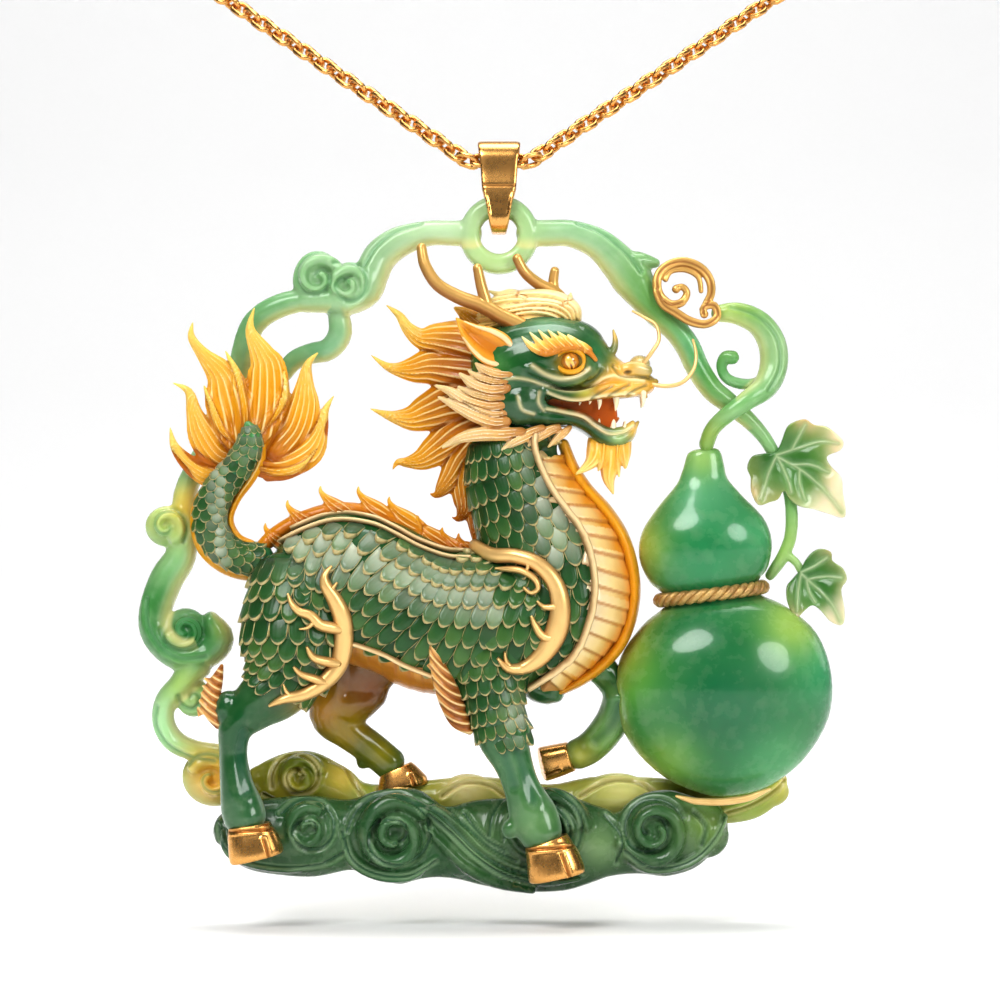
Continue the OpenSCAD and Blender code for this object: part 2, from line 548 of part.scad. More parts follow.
SKULL = [
    [0.6, -9.8, -1, 3.2, 2.9], [2.8, -9, -1.2, 3.3, 3.1], [4.8, -8.9, -1.3, 3, 3],
    [6.4, -9.3, -1.3, 2.3, 2.5],
    [7.8, -10, -1.3, 1.6, 2.1], [9.2, -10.2, -1.3, 1.25, 1.8], [10.3, -10.4, -1.3, 0.8, 1.2]
];
JAW = [
    [0.8, -12, -1, 1.9, 2.4], [2.8, -12.6, -1.2, 1.1, 2.3], [4.6, -12.9, -1.3, 0.65, 2.1],
    [6.2, -13.4, -1.3, 0.7, 1.8], [7.6, -14.2, -1.3, 0.75, 1.6], [8.9, -14, -1.3, 0.6, 1.3],
    [9.4, -13.5, -1.3, 0.3, 0.9]
];
BROW_NEAR = [
    [1.9, -7.2, -2.9, 0.4, 0.8], [3.4, -7, -3.4, 0.5, 0.8], [5, -7.5, -3.3, 0.5, 0.8],
    [6.3, -8.3, -2.8, 0.4, 0.7]
];
BROW_FAR = [
    [1.9, -7.2, 0.6, 0.4, 0.8], [3.4, -7, 1, 0.5, 0.8], [5, -7.5, 0.9, 0.5, 0.8],
    [6.3, -8.3, 0.4, 0.4, 0.7]
];
FANG = [[10, -11, -2.1, 0.5, 0.4], [10, -12.1, -2.1, 0.12, 0.15]];
module head_form(grow = 0) {
    stroke(SKULL, grow, sides = 10);
    stroke(JAW, grow);
    boss(1.6, -11.7, -2.6, 1.8, 1.7, 1.3, grow);
    boss(9.8, -9.3, -1.3, 0.9, 0.8, 1.5, grow);
    boss(4.9, -8.9, -3.6, 1.1, 0.95, 0.9, grow);
    boss(4.9, -8.9, 1, 1.1, 0.95, 0.9, grow);
    stroke(BROW_NEAR, grow);
    stroke(BROW_FAR, grow);
    stroke(FANG, grow, sides = thin_sides);
}
module head() color("forestgreen") carved() difference() {
    head_form();
    body_form(seam);
}

// Flame locks of the mane, from the cheek out to the tips
MANE = [
    [
        [0.3, -8.4, 0, 2, 2.2], [-2.4, -7.7, 0.2, 1.8, 1.9], [-4.8, -6.5, 0.3, 1.3, 1.2],
        [-7.8, -5, 0.3, 0.15, 0.25]
    ],
    [
        [0, -9.8, 0, 2.1, 2.3], [-3.4, -9.3, 0.2, 1.9, 1.9], [-6, -8.9, 0.3, 1.3, 1.1],
        [-8.8, -8.4, 0.3, 0.15, 0.25]
    ],
    [
        [0, -11.6, 0, 2.2, 2.4], [-3.4, -11.6, 0.2, 2, 1.9], [-6.1, -12, 0.3, 1.4, 1.1],
        [-8.9, -12.2, 0.3, 0.15, 0.25]
    ],
    [
        [0, -13, 0, 2.1, 2.3], [-3, -13.8, 0.2, 1.8, 1.8], [-5.2, -14.9, 0.3, 1.2, 1],
        [-7.3, -16.2, 0.3, 0.15, 0.25]
    ],
    [[-1.2, -14, 0.2, 1.9, 2], [-3.2, -15.8, 0.4, 1.2, 1.2], [-4.7, -18.3, 0.4, 0.15, 0.25]],
    [[-2.9, -16.3, 0.4, 1, 1], [-2.6, -18.6, 0.4, 0.9, 0.9], [-1.9, -21.4, 0.2, 0.4, 0.5]],
    [[-2.1, -18.8, 0.38, 0.6, 0.6], [-3.2, -19.9, 0.4, 0.12, 0.2]],
    [[1, -7.6, -0.3, 1.6, 1.7], [-0.9, -6.6, 0, 1.2, 1.3], [-3, -5.2, 0.1, 0.15, 0.25]],
    [[1.2, -6.6, -0.3, 1.2, 1.2], [-0.8, -4.3, 0, 0.12, 0.2]],
    [[2.5, -6.4, -0.3, 1.2, 1.2], [1.5, -4.1, 0, 0.12, 0.2]],
    [[3.6, -6.4, -0.3, 1.2, 1.2], [5, -4.5, 0, 0.12, 0.2]]
];
module mane_form(grow = 0) for (rows = MANE) lock(rows, grow);
module mane() color("orange") carved() difference() {
    mane_form();
    head_form(seam);
    trunk(seam);
}

EAR = [
    [1, -8.7, 0, 0.7, 0.5], [-0.4, -8, 0, 0.95, 0.5], [-1.9, -7, 0, 0.7, 0.4], [-2.9, -6, 0, 0.12, 0.15]
];
EAR_NEAR_Y = -3;
EAR_FAR_Y = 2.4;
function moved_y(rows, y) = [for (row = rows) [row[0], row[1], row[2] + y, row[3], row[4]]];
module ear(y) difference() {
    stroke(moved_y(EAR, y));
    head_form(seam);
    mane_form(seam);
}
module ear_near() color("orange") carved() ear(EAR_NEAR_Y);
module ear_far() color("orange") carved() ear(EAR_FAR_Y);

BEARD = [
    [
        [6.8, -14.4, -1.2, 0.7, 1], [6.7, -15.3, -1.6, 0.8, 0.8], [6.3, -16.1, -2.4, 0.5, 0.5],
        [5.4, -16.7, -3, 0.12, 0.2]
    ],
    [
        [7.8, -14.8, -1.3, 1.1, 1], [7.8, -16, -1.3, 0.9, 0.8], [7.7, -17.1, -1.3, 0.5, 0.5],
        [7.95, -18.1, -1.3, 0.12, 0.2]
    ],
    [[8.6, -14.7, -1.3, 0.7, 0.8], [8.6, -15.6, -1.3, 0.55, 0.6], [8.7, -16.3, -1.3, 0.2, 0.3]]
];
module beard() color("orange") carved() difference() {
    for (rows = BEARD) lock(rows);
    head_form(seam);
    chest_form(seam);
}

ANTLER_NEAR = [
    [2.2, -6.9, -2.2, 0.6, 0.6], [0.2, -5.9, -2.2, 0.55, 0.5], [-1.2, -5.1, -2.1, 0.5, 0.45],
    [-2.8, -4.5, -2, 0.45, 0.42], [-4.3, -3.6, -1.9, 0.42, 0.4], [-5.2, -2.2, -1.7, 0.38, 0.36],
    [-5.4, -0.9, -1.5, 0.32, 0.32]
];
ANTLER_NEAR_FORK = [
    [-0.9, -5, -2.1, 0.38, 0.36], [-1.25, -3.7, -2.1, 0.36, 0.35], [-1.5, -2.4, -2.1, 0.32, 0.32]
];
ANTLER_FAR = [
    [5.2, -6.6, 0.3, 0.5, 0.5], [4.7, -5, 0.1, 0.42, 0.42], [4, -4.1, -0.4, 0.4, 0.4],
    [2.8, -3.5, -1, 0.38, 0.38], [1.8, -2.7, -1.55, 0.36, 0.36], [1.2, -1.7, -1.6, 0.32, 0.32]
];
ANTLER_FAR_FORK = [[3.9, -4, -0.4, 0.34, 0.34], [3.8, -3.3, -0.4, 0.32, 0.32], [3.9, -2.5, -0.4, 0.3, 0.3]];
module antler_near() color("darkkhaki") carved() difference() {
    union() {
        stroke(ANTLER_NEAR, sides = thin_sides);
        stroke(ANTLER_NEAR_FORK, sides = thin_sides);
    }
    head_form(seam);
    mane_form(seam);
    frame_left_form(seam);
}
module antler_far() color("darkkhaki") carved() difference() {
    union() {
        stroke(ANTLER_FAR, sides = thin_sides);
        stroke(ANTLER_FAR_FORK, sides = thin_sides);
    }
    head_form(seam);
    mane_form(seam);
    frame_right_form(seam);
}

WHISKER_UPPER = [
    [10, -9.1, -2.5, 0.16, 0.16], [10.6, -8.3, -2.6, 0.15, 0.15], [11.1, -7.4, -2.4, 0.14, 0.14],
    [10.9, -6.4, -2, 0.14, 0.14], [10, -5.8, -1.7, 0.14, 0.14], [9.3, -5.4, -1.5, 0.14, 0.14]
];
WHISKER_LOWER = [
    [10.2, -10.4, -2, 0.17, 0.17], [11.5, -10.65, -2.5, 0.16, 0.16], [12.7, -10.4, -2.4, 0.15, 0.15],
    [13.5, -9.5, -2.1, 0.15, 0.15], [13.7, -8.4, -1.8, 0.15, 0.15], [13.5, -7.4, -1.5, 0.15, 0.15]
];
module whisker_upper() color("gold") carved() difference() {
    stroke(WHISKER_UPPER, sides = thin_sides);
    head_form(seam);
    frame_right_form(seam);
}
module whisker_lower() color("gold") carved() difference() {
    stroke(WHISKER_LOWER, sides = thin_sides);
    head_form(seam);
}

// Tail, its flame, the crest and the tufts

TAIL = [
    [-17.3, -14, -2.7, 0.7, 0.6], [-17.4, -15.2, -2.6, 1, 0.8], [-18.4, -16.7, -2.3, 1.1, 0.9],
    [-19.6, -18, -1.8, 1.25, 1], [-20.1, -19.7, -1.4, 1.4, 1.1], [-19.8, -21.4, -1.1, 1.35, 1.2],
    [-18.7, -22.7, -0.9, 1.25, 1.2], [-17, -23.1, -0.8, 1.2, 1.3]
];
module tail_form(grow = 0) stroke(TAIL, grow);
module tail() color("darkgreen") carved() difference() {
    tail_form();
    body_form(seam);
    frame_left_form(seam);
}

TAIL_FLAME = [
    [
        [-18, -15.8, -1.3, 1.9, 0.6], [-19.2, -12.6, -1.4, 2, 0.6], [-20.1, -9.6, -1.6, 1.2, 0.5],
        [-21.3, -6.4, -1.6, 0.15, 0.2]
    ],
    [
        [-17.2, -15.6, -1.4, 1.8, 0.6], [-16.7, -12, -1.6, 2, 0.6], [-16.5, -9.2, -1.8, 1.3, 0.5],
        [-17, -5.4, -1.9, 0.12, 0.2]
    ],
    [
        [-16, -15.2, -1.3, 1.7, 0.6], [-14.8, -12.8, -1.4, 1.6, 0.55], [-13.7, -10.7, -1.5, 0.95, 0.45],
        [-12.7, -8.5, -1.5, 0.12, 0.2]
    ],
    [
        [-16, -15.9, -1.3, 1.5, 0.6], [-14, -15.3, -1.4, 1.7, 0.6], [-12.6, -13.7, -1.5, 0.9, 0.45],
        [-11.6, -11.5, -1.5, 0.12, 0.2]
    ],
    [
        [-18.4, -16, -1.3, 1.4, 0.6], [-20, -14.2, -1.4, 1.5, 0.5], [-21.2, -12.5, -1.5, 0.8, 0.4],
        [-22.6, -10.6, -1.5, 0.12, 0.2]
    ],
    [
        [-18.6, -16.5, -1.1, 1, 0.5], [-20.4, -16.1, -1.2, 1.3, 0.5], [-21.9, -15.4, -1.3, 0.8, 0.4],
        [-22.8, -13.7, -1.4, 0.12, 0.2]
    ]
];
module tail_flame() color("orange") carved() difference() {
    for (rows = TAIL_FLAME) lock(rows);
    tail_form(seam);
    frame_left_form(seam);
}

CREST_RIDGE = [
    [-17.2, -22.6, -0.6, 0.5, 0.8], [-15.8, -21.1, -0.6, 0.6, 0.8], [-14, -19.9, -0.6, 0.6, 0.8],
    [-11.5, -19.2, -0.6, 0.5, 0.8], [-9, -19.4, -0.6, 0.5, 0.8], [-7.3, -20.1, -0.6, 0.6, 0.8],
    [-5.6, -21, -0.6, 0.65, 0.8],
    [-2, -21.6, -0.6, 0.4, 0.6]
];
CREST_TIPS = [
    [[-15.2, -20.9], [-16.3, -20.2]], [[-13.4, -19.6], [-14.6, -18.7]], [[-10.9, -19.2], [-12.2, -17.8]],
    [[-8.6, -19.4], [-9.6, -17.8]], [[-6.7, -20.3], [-7.4, -18.5]], [[-4.9, -21.3], [-5.5, -19.8]],
    [[-3.2, -21.6], [-3.75, -20.7]]
];
module back_crest() color("orange") carved() difference() {
    union() {
        stroke(CREST_RIDGE, sides = thin_sides);
        for (tip = CREST_TIPS)
            lock([[tip[0][0], tip[0][1], -0.6, 0.85, 0.6], [tip[1][0], tip[1][1], -0.6, 0.1, 0.15]]);
    }
    trunk(seam);
    stroke(LEG_HIND_NEAR, seam);
    mane_form(seam);
    tail_form(seam);
}

HOCK_TUFT = [
    [-19.2, -30.2, -2.6, 0.2, 0.3], [-19.7, -31.2, -2.7, 0.55, 0.6], [-20, -32.3, -2.8, 0.75, 0.8],
    [-19.7, -33.4, -2.8, 0.6, 0.7], [-19.3, -34.3, -2.8, 0.3, 0.4]
];
ELBOW_TUFT = [
    [-4.7, -28.8, -4.6, 0.12, 0.3], [-4.3, -29.8, -4.3, 0.5, 0.8], [-3.7, -31.2, -3.6, 0.8, 1],
    [-3.2, -32.6, -3.1, 0.9, 0.9], [-2.7, -33.8, -2.9, 0.8, 0.8], [-2, -34.6, -2.9, 0.3, 0.5]
];
module hock_tuft() color("peru") carved() difference() {
    stroke(HOCK_TUFT);
    body_form(seam);
    frame_left_form(seam);
}
module elbow_tuft() color("peru") carved() difference() {
    stroke(ELBOW_TUFT);
    body_form(seam);
    plate_space();
}

// Gold bands that lie on the near side of the scaled skin, each row [x, z, half width]

HIP_FLAME = [
    [[-11.6, -23.3, 0.18], [-12, -24.3, 0.35], [-11.1, -25.7, 0.5], [-10.5, -28, 0.5],
        [-11.1, -30.2, 0.5], [-12.4, -31.5, 0.45], [-14.3, -32.1, 0.35], [-15.7, -32.4, 0.15]],
    [[-11, -27.2, 0.35], [-12.2, -27.2, 0.35], [-13, -26.4, 0.3], [-14, -26, 0.28], [-14.5, -25, 0.15]],
    [[-11.2, -29.6, 0.3], [-12.3, -29.6, 0.28], [-12.9, -29.3, 0.25], [-13.2, -28.7, 0.15]],
    [[-12, -30.9, 0.3], [-13, -30.8, 0.28], [-14, -30.2, 0.14]]
];
SHOULDER_SCROLL = [
    [[-1.6, -21.8, 0.4], [1.2, -22.3, 0.45], [2.9, -23.2, 0.45], [3.9, -24.6, 0.45], [4.2, -26.3, 0.5],
        [3.8, -28.2, 0.55], [3, -29.4, 0.5], [1.5, -30.3, 0.42], [0.1, -29.4, 0.15]],
    [[-0.2, -23.3, 0.15], [1, -23.3, 0.25], [2.1, -23.6, 0.25], [2.5, -24.4, 0.25], [1.6, -24.8, 0.25]],
    [[2.3, -24.8, 0.25], [3.7, -25.4, 0.3]],
    [[3.5, -28.1, 0.4], [2.6, -27.6, 0.3], [1.8, -26.6, 0.15]]
];
module flat_band(rows) for (i = [0 : len(rows) - 2]) hull() {
    translate([rows[i][0], rows[i][1]]) circle(r = rows[i][2], $fn = 6);
    translate([rows[i + 1][0], rows[i + 1][1]]) circle(r = rows[i + 1][2], $fn = 6);
}
module skin_band(bands) difference() {
    intersection() {
        rotate([90, 0, 0]) translate([0, 0, 1]) linear_extrude(9) for (rows = bands) flat_band(rows);
        skin_under_bands(band_h + seam);
    }
    skin_under_bands(seam);
    plate_space();
}
module skin_under_bands(grow) {
    stroke(TORSO, grow, sides = 12);
    stroke(NECK, grow, sides = 12);
    stroke(LEG_HIND_NEAR, grow);
    stroke(LEG_FORE_NEAR, grow);
}
module hip_flame() color("gold") carved() skin_band(HIP_FLAME);
module shoulder_scroll() color("gold") carved() skin_band(SHOULDER_SCROLL);

// Hooves: rows of a short wide stroke from the ankle to the sole

HOOF_HIND_NEAR = [
    [-17.3, -41.1, -3.2, 1.55, 1.25], [-17, -41.9, -3.2, 1.8, 1.4], [-16.6, -43, -3.2, 2, 1.5]
];
HOOF_FORE_NEAR = [
    [3.3, -42.2, -3.3, 1.6, 1.25], [3.7, -43.2, -3.3, 1.85, 1.4], [4.1, -44.3, -3.3, 2.1, 1.5]
];
HOOF_HIND_FAR = [[-7.3, -37.5, 2.6, 1.25, 1], [-7, -38.2, 2.6, 1.6, 1.2], [-6.7, -38.8, 2.6, 1.9, 1.3]];
HOOF_FORE_FAR = [[5.2, -36.6, 2.3, 1.1, 1], [4.2, -36.9, 2.5, 1.2, 1.1], [3.2, -37.2, 2.6, 1.25, 1.1]];
module hoof_shape(rows, grow = 0) stroke(rows, grow, sides = 10, ends = false);
module all_hooves(grow) {
    for (rows = [HOOF_HIND_NEAR, HOOF_FORE_NEAR, HOOF_HIND_FAR, HOOF_FORE_FAR])
        hoof_shape([for (i = [0 : 2]) concat([rows[i][0], rows[i][1] + grow * (1 - i)],
            [rows[i][2], rows[i][3], rows[i][4]])], grow);
}
module hoof(rows) color("goldenrod") carved() difference() {
    hoof_shape(rows);
    body_form(seam);
}
module hoof_hind_near() hoof(HOOF_HIND_NEAR);
module hoof_hind_far() hoof(HOOF_HIND_FAR);
module hoof_fore_near() hoof(HOOF_FORE_NEAR);
module hoof_fore_far() hoof(HOOF_FORE_FAR);

chain();
clasp();
bail();
eyelet();
frame_left();
frame_right();
vine();
leaf_upper();
leaf_lower();
gold_scroll();
cloud_base();
back_clouds();
gourd();
gourd_cord();
gourd_foot();
body();
chest_plates();
belly_plates();
head();
mane();
ear_near();
ear_far();
beard();
antler_near();
antler_far();
whisker_upper();
whisker_lower();
tail();
tail_flame();
back_crest();
hock_tuft();
elbow_tuft();
hip_flame();
shoulder_scroll();
hoof_hind_near();
hoof_hind_far();
hoof_fore_near();
hoof_fore_far();
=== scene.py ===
"""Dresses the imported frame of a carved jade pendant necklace.

A jade ring of scrolls and vine holds a scaled beast of good luck, a gourd and clouds. It hangs by a gold
bail on a fine gold chain. The carving is measured in millimetres from the centre of its eyelet's hole:
x to the right as one looks at the front, z up, and y away to the back.
"""

import logging
import math
from dataclasses import dataclass
from enum import Enum
from typing import Callable, Iterable, Optional, Sequence, Union

import bmesh
import bpy
import numpy as np
from mathutils import Matrix, Vector
from mathutils.bvhtree import BVHTree


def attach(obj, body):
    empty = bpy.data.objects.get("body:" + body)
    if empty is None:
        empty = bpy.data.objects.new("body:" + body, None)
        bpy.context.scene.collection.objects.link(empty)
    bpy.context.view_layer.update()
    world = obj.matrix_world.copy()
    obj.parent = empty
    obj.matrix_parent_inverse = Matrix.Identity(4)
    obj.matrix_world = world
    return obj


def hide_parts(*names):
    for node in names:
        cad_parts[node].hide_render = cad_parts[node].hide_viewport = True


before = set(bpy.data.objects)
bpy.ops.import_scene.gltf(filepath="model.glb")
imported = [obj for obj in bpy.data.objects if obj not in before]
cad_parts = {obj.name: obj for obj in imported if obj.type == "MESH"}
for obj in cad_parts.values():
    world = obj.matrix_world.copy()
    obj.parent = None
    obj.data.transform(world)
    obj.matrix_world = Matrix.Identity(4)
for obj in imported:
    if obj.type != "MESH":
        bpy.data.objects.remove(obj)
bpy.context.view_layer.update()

LOG = logging.getLogger("pendant")
MM = 0.001
EYELET_AT = Vector((0.0, -109.7073, -121.1622))
HAIR = 0.05
CLEAR = 20.0
AT_ONCE = 20000
Row = Sequence[float]
Colour = tuple[float, float, float]
Place = tuple[float, float, float]

# Shapes


def between(rows: np.ndarray, i: int, t: float) -> np.ndarray:
    """Find the row a share of the way past row i on the smooth curve through all rows.

    Args:
        rows: The rows, one to a line.
        i: The row before the place.
        t: The share of the way to the next row.

    Returns:
        The row there.
    """
    last = len(rows) - 1
    a, b, c, d = (rows[min(max(k, 0), last)] for k in (i - 1, i, i + 1, i + 2))
    return b + 0.5 * t * (c - a + t * (2 * a - 5 * b + 4 * c - d + t * (3 * b - a - 3 * c + d)))


def smoothed(rows: Sequence[Row], steps: int, closed: bool = False) -> np.ndarray:
    """Run a smooth curve through rows.

    Args:
        rows: The rows it passes through.
        steps: How many new rows stand for each of them.
        closed: Whether the last row leads back to the first.

    Returns:
        The rows of the curve, one to a line.
    """
    given = np.array(rows, float)
    if closed:
        count = len(given)
        given = np.concatenate([given[-1:], given, given[:2]])
        spans = range(1, count + 1)
    else:
        spans = range(len(given) - 1)
    made = [between(given, i, s / steps) for i in spans for s in range(steps)]
    if not closed:
        made.append(given[-1])
    return np.array(made)


def lengths(points: np.ndarray) -> np.ndarray:
    """Say how far along a line of points each of them is."""
    return np.concatenate([[0.0], np.cumsum(np.linalg.norm(np.diff(points, axis=0), axis=1))])


def as_mesh(bm: bmesh.types.BMesh, name: str) -> bpy.types.Mesh:
    """Turn a shape into a mesh, which uses the shape up."""
    mesh = bpy.data.meshes.new(name)
    bm.to_mesh(mesh)
    bm.free()
    return mesh


def put(name: str, data: bpy.types.ID) -> bpy.types.Object:
    """Put a mesh, a light or a camera into the scene."""
    made = bpy.data.objects.new(name, data)
    bpy.context.scene.collection.objects.link(made)
    return made


def ring_frame(spot: np.ndarray, along: np.ndarray, out: np.ndarray, wide: float, deep: float) -> Matrix:
    """Stand a ring of radius one across a path.

    Args:
        spot: Where the path is.
        along: The path's direction there.
        out: The direction in which the ring is deep, roughly.
        wide: Half the ring's width.
        deep: Half its depth.

    Returns:
        The matrix that takes the ring from the ground plane to the path.
    """
    way = Vector(along).normalized()
    side = Vector(out).cross(way).normalized()
    up = way.cross(side)
    frame_here = Matrix((side * wide, up * deep, way)).transposed().to_4x4()
    frame_here.translation = Vector(spot)
    return frame_here


def sweep(
    bm: bmesh.types.BMesh, frames: Sequence[Matrix], sides: int, closed: bool = False, square: float = 2.0,
) -> None:
    """Draw a ring along a path of frames.

    Args:
        bm: The mesh it is added to.
        frames: The ring's places, in order.
        sides: The ring's corners.
        closed: Whether the last ring meets the first.
        square: How square the ring is, from 2 for round to 8 for a flat strip.
    """
    ring = bmesh.ops.create_circle(bm, cap_ends=not closed, segments=sides, radius=1.0)["verts"]
    if square != 2.0:
        for v in ring:
            v.co = Vector([math.copysign(abs(c) ** (2.0 / square), c) for c in v.co])
    bmesh.ops.transform(bm, matrix=frames[0], verts=ring)
    first = [e for e in {e for v in ring for e in v.link_edges} if all(v in ring for v in e.verts)]
    edges = first
    for before, here in zip(frames, frames[1:]):
        made = bmesh.ops.extrude_edge_only(bm, edges=edges)["geom"]
        new = [g for g in made if isinstance(g, bmesh.types.BMVert)]
        bmesh.ops.transform(bm, matrix=here @ before.inverted(), verts=new)
        there = set(new)
        edges = [g for g in made if isinstance(g, bmesh.types.BMEdge) and all(v in there for v in g.verts)]
    if closed:
        bmesh.ops.bridge_loops(bm, edges=first + edges)
    else:
        bmesh.ops.contextual_create(bm, geom=edges)


@dataclass(frozen=True)
class Stroke:
    """A carved stroke through rows of x, z, y, half width and half depth."""

    rows: Sequence[Row]
    steps: int = 4
    sides: int = 14
    blunt: bool = True

    def path(self) -> np.ndarray:
        """Give the smooth rows of the stroke, none thinner than a hair."""
        made = smoothed(self.rows, self.steps)
        made[:, 3:5] = np.maximum(made[:, 3:5], HAIR)
        return made

    def frames(self) -> list[Matrix]:
        """Place the stroke's rings.

        Returns:
            A frame for each ring, with the round ends' rings where it is blunt.
        """
        rows = self.path()
        spots = rows[:, [0, 2, 1]]
        ways = np.gradient(spots, axis=0)
        front = np.array((0.0, 1.0, 0.0))
        made = [ring_frame(s, w, front, r[3], r[4]) for s, w, r in zip(spots, ways, rows)]
        if not self.blunt:
            return made
        for end, sign in ((0, -1.0), (len(rows) - 1, 1.0)):
            way = ways[end] / np.linalg.norm(ways[end])
            radius = 0.8 * min(rows[end, 3], rows[end, 4])
            caps = [
                ring_frame(
                    spots[end] + sign * way * radius * math.sin(a),
                    way,
                    front,
                    rows[end, 3] * math.cos(a),
                    rows[end, 4] * math.cos(a),
                )
                for a in (0.6, 1.1, 1.45)
            ]
            made = made + caps if sign > 0 else caps[::-1] + made
        return made


def paths(many: Iterable[Sequence[Row]], steps: int = 5) -> list[np.ndarray]:
    """Give the smooth rows of many strokes."""
    return [Stroke(rows, steps).path() for rows in many]


def mirrored(rows: Sequence[Row], middle: float) -> list[Row]:
    """Mirror a stroke's rows front to back about the plane y = middle."""
    return [(r[0], r[1], 2 * middle - r[2], *r[3:]) for r in rows]


def curl_rows(
    x: float, z: float, y: float, r: float, w: float, d: float, start: float, turn: float, steps: int = 14,
) -> list[Row]:
    """Wind a scroll inwards.

    Args:
        x: Its centre, to the right.
        z: Its centre, up.
        y: Its centre, back.
        r: Its outer radius.
        w: Its half width at the outer end.
        d: Its half depth.
        start: The angle of its outer end, in degrees.
        turn: The angle it winds through, in degrees.
        steps: How many rows it has.

    Returns:
        Rows of x, z, y, half width and half depth.
    """
    made = []
    for i in range(steps + 1):
        part = i / steps
        a = math.radians(start + turn * part)
        rr = r * (1 - 0.8 * part)
        made.append((x + rr * math.cos(a), z + rr * math.sin(a), y - 0.3 * part, w * (1 - 0.5 * part), d))
    return made


class Skin:
    """One closed surface in millimetres, whose points are carved and stained before it is placed."""

    def __init__(self, mesh: bpy.types.Mesh) -> None:
        """Take a mesh as the surface."""
        self.mesh = mesh
        self.marks: dict[str, np.ndarray] = {}

    @property
    def spots(self) -> np.ndarray:
        """The points, one to a line."""
        flat = np.zeros(len(self.mesh.vertices) * 3)
        self.mesh.vertices.foreach_get("co", flat)
        return flat.reshape(-1, 3)

    @property
    def normals(self) -> np.ndarray:
        """The outward directions at the points."""
        flat = np.zeros(len(self.mesh.vertices) * 3)
        self.mesh.vertices.foreach_get("normal", flat)
        return flat.reshape(-1, 3)

    @property
    def facing(self) -> np.ndarray:
        """How squarely each point faces the front or the back, from 0 to 1."""
        return ramp(np.abs(self.normals[:, 1]), 0.15, 0.6)

    def move(self, offsets: np.ndarray) -> None:
        """Shift the points by offsets, one to a line."""
        self.mesh.vertices.foreach_set("co", (self.spots + offsets).ravel())
        self.mesh.update()

    def swell(self, amount: np.ndarray) -> None:
        """Move each point outwards by its amount."""
        self.move(self.normals * amount[:, None])

    def mark(self, name: str, values: np.ndarray) -> None:
        """Keep a number or a colour at each point for the finish to read."""
        if name in self.marks and values.ndim == 1:
            values = np.maximum(self.marks[name], values)
        self.marks[name] = values

    def tree(self) -> BVHTree:
        """Give a tree that finds places on the surface."""
        return BVHTree.FromPolygons(
            [v.co for v in self.mesh.vertices], [p.vertices for p in self.mesh.polygons],
        )

    def groove(
        self, lines: Iterable[Sequence[Row]], width: float, depth: float, rim: float = 0.0,
        name: str = "line",
    ) -> None:
        """Cut a round groove along each line of x, z points, on the front and the back alike.

        Args:
            lines: The lines, each through its points.
            width: Half the groove's width.
            depth: How deep it is. A negative depth raises a bead.
            rim: How high its lips stand.
            name: The mark that holds where it is.
        """
        spots = self.spots[:, [0, 2]]
        away = np.full(len(spots), 9.0)
        for line in lines:
            points = smoothed(line, steps=5)
            low, high = points.min(0) - 1.5, points.max(0) + 1.5
            near = np.where(((spots > low) & (spots < high)).all(1))[0]
            some = spots[near]
            best = away[near]
            for a, b in zip(points, points[1:]):
                span = b - a
                part = np.clip(((some - a) @ span) / max(span @ span, 1e-9), 0, 1)
                best = np.minimum(best, np.linalg.norm(some - a - part[:, None] * span, axis=1))
            away[near] = best
        cut = np.exp(-((away / width) ** 2))
        lips = np.exp(-(((away - 1.9 * width) / width) ** 2))
        self.swell((rim * lips - depth * cut) * self.facing)
        self.mark(name, cut * self.facing)

    def comb(self, locks: Sequence[np.ndarray], strands: float, depth: float, parting: float = 0.12) -> None:
        """Carve strands along locks and a parting between neighbouring locks, and mark the partings for
        painted shade.

        Args:
            locks: Smooth rows of the locks.
            strands: How many strands lie side by side in a lock.
            depth: How deep the lines between them are.
            parting: How deep the partings are.
        """
        spots = self.spots[:, [0, 2]]
        reach = np.full((2, len(spots)), 99.0)
        side, share, half = (np.zeros(len(spots)) for _ in range(3))
        for rows in locks:
            s, a, h, r = beside(spots, rows)
            wins = r < reach[0]
            reach[1] = np.where(wins, reach[0], np.minimum(reach[1], r))
            reach[0] = np.where(wins, r, reach[0])
            side, share, half = np.where(wins, s, side), np.where(wins, a, share), np.where(wins, h, half)
        ridge = 0.5 + 0.5 * np.cos(math.pi * strands * np.clip(side, -1.2, 1.2))
        fade = ramp(half, 0.05, 0.3) * ramp(share, 0.0, 0.12) * self.facing
        # The partings between locks are marked for painted shade.
        seam = np.exp(-(((reach[1] - reach[0]) / 0.16) ** 2)) * ramp(reach[1], 1.6, 0.7)
        self.swell(depth * (ridge - 0.6) * fade - parting * seam * self.facing)
        self.mark("strand", ridge * fade)
        self.mark("along", share)
        self.mark("seam", seam)

    def stain(
        self, base: Colour, spots: Sequence[tuple[float, float, float, Colour]], deepen: float = 1.3,
    ) -> None:
        """Colour the surface, with soft clouds of other colours.

        Args:
            base: The colour where no cloud reaches.
            spots: Clouds of x, z, radius and colour, laid one over another.
            deepen: How much the colours deepen as they soak in.
        """
        at = self.spots
        made = np.tile(np.array(base, float), (len(at), 1))
        for x, z, radius, colour in spots:
            share = np.exp(-(((at[:, 0] - x) ** 2 + (at[:, 2] - z) ** 2) / radius**2))[:, None]
            made = made * (1 - share) + np.array(colour) * share
        self.mark("tint", made**deepen)

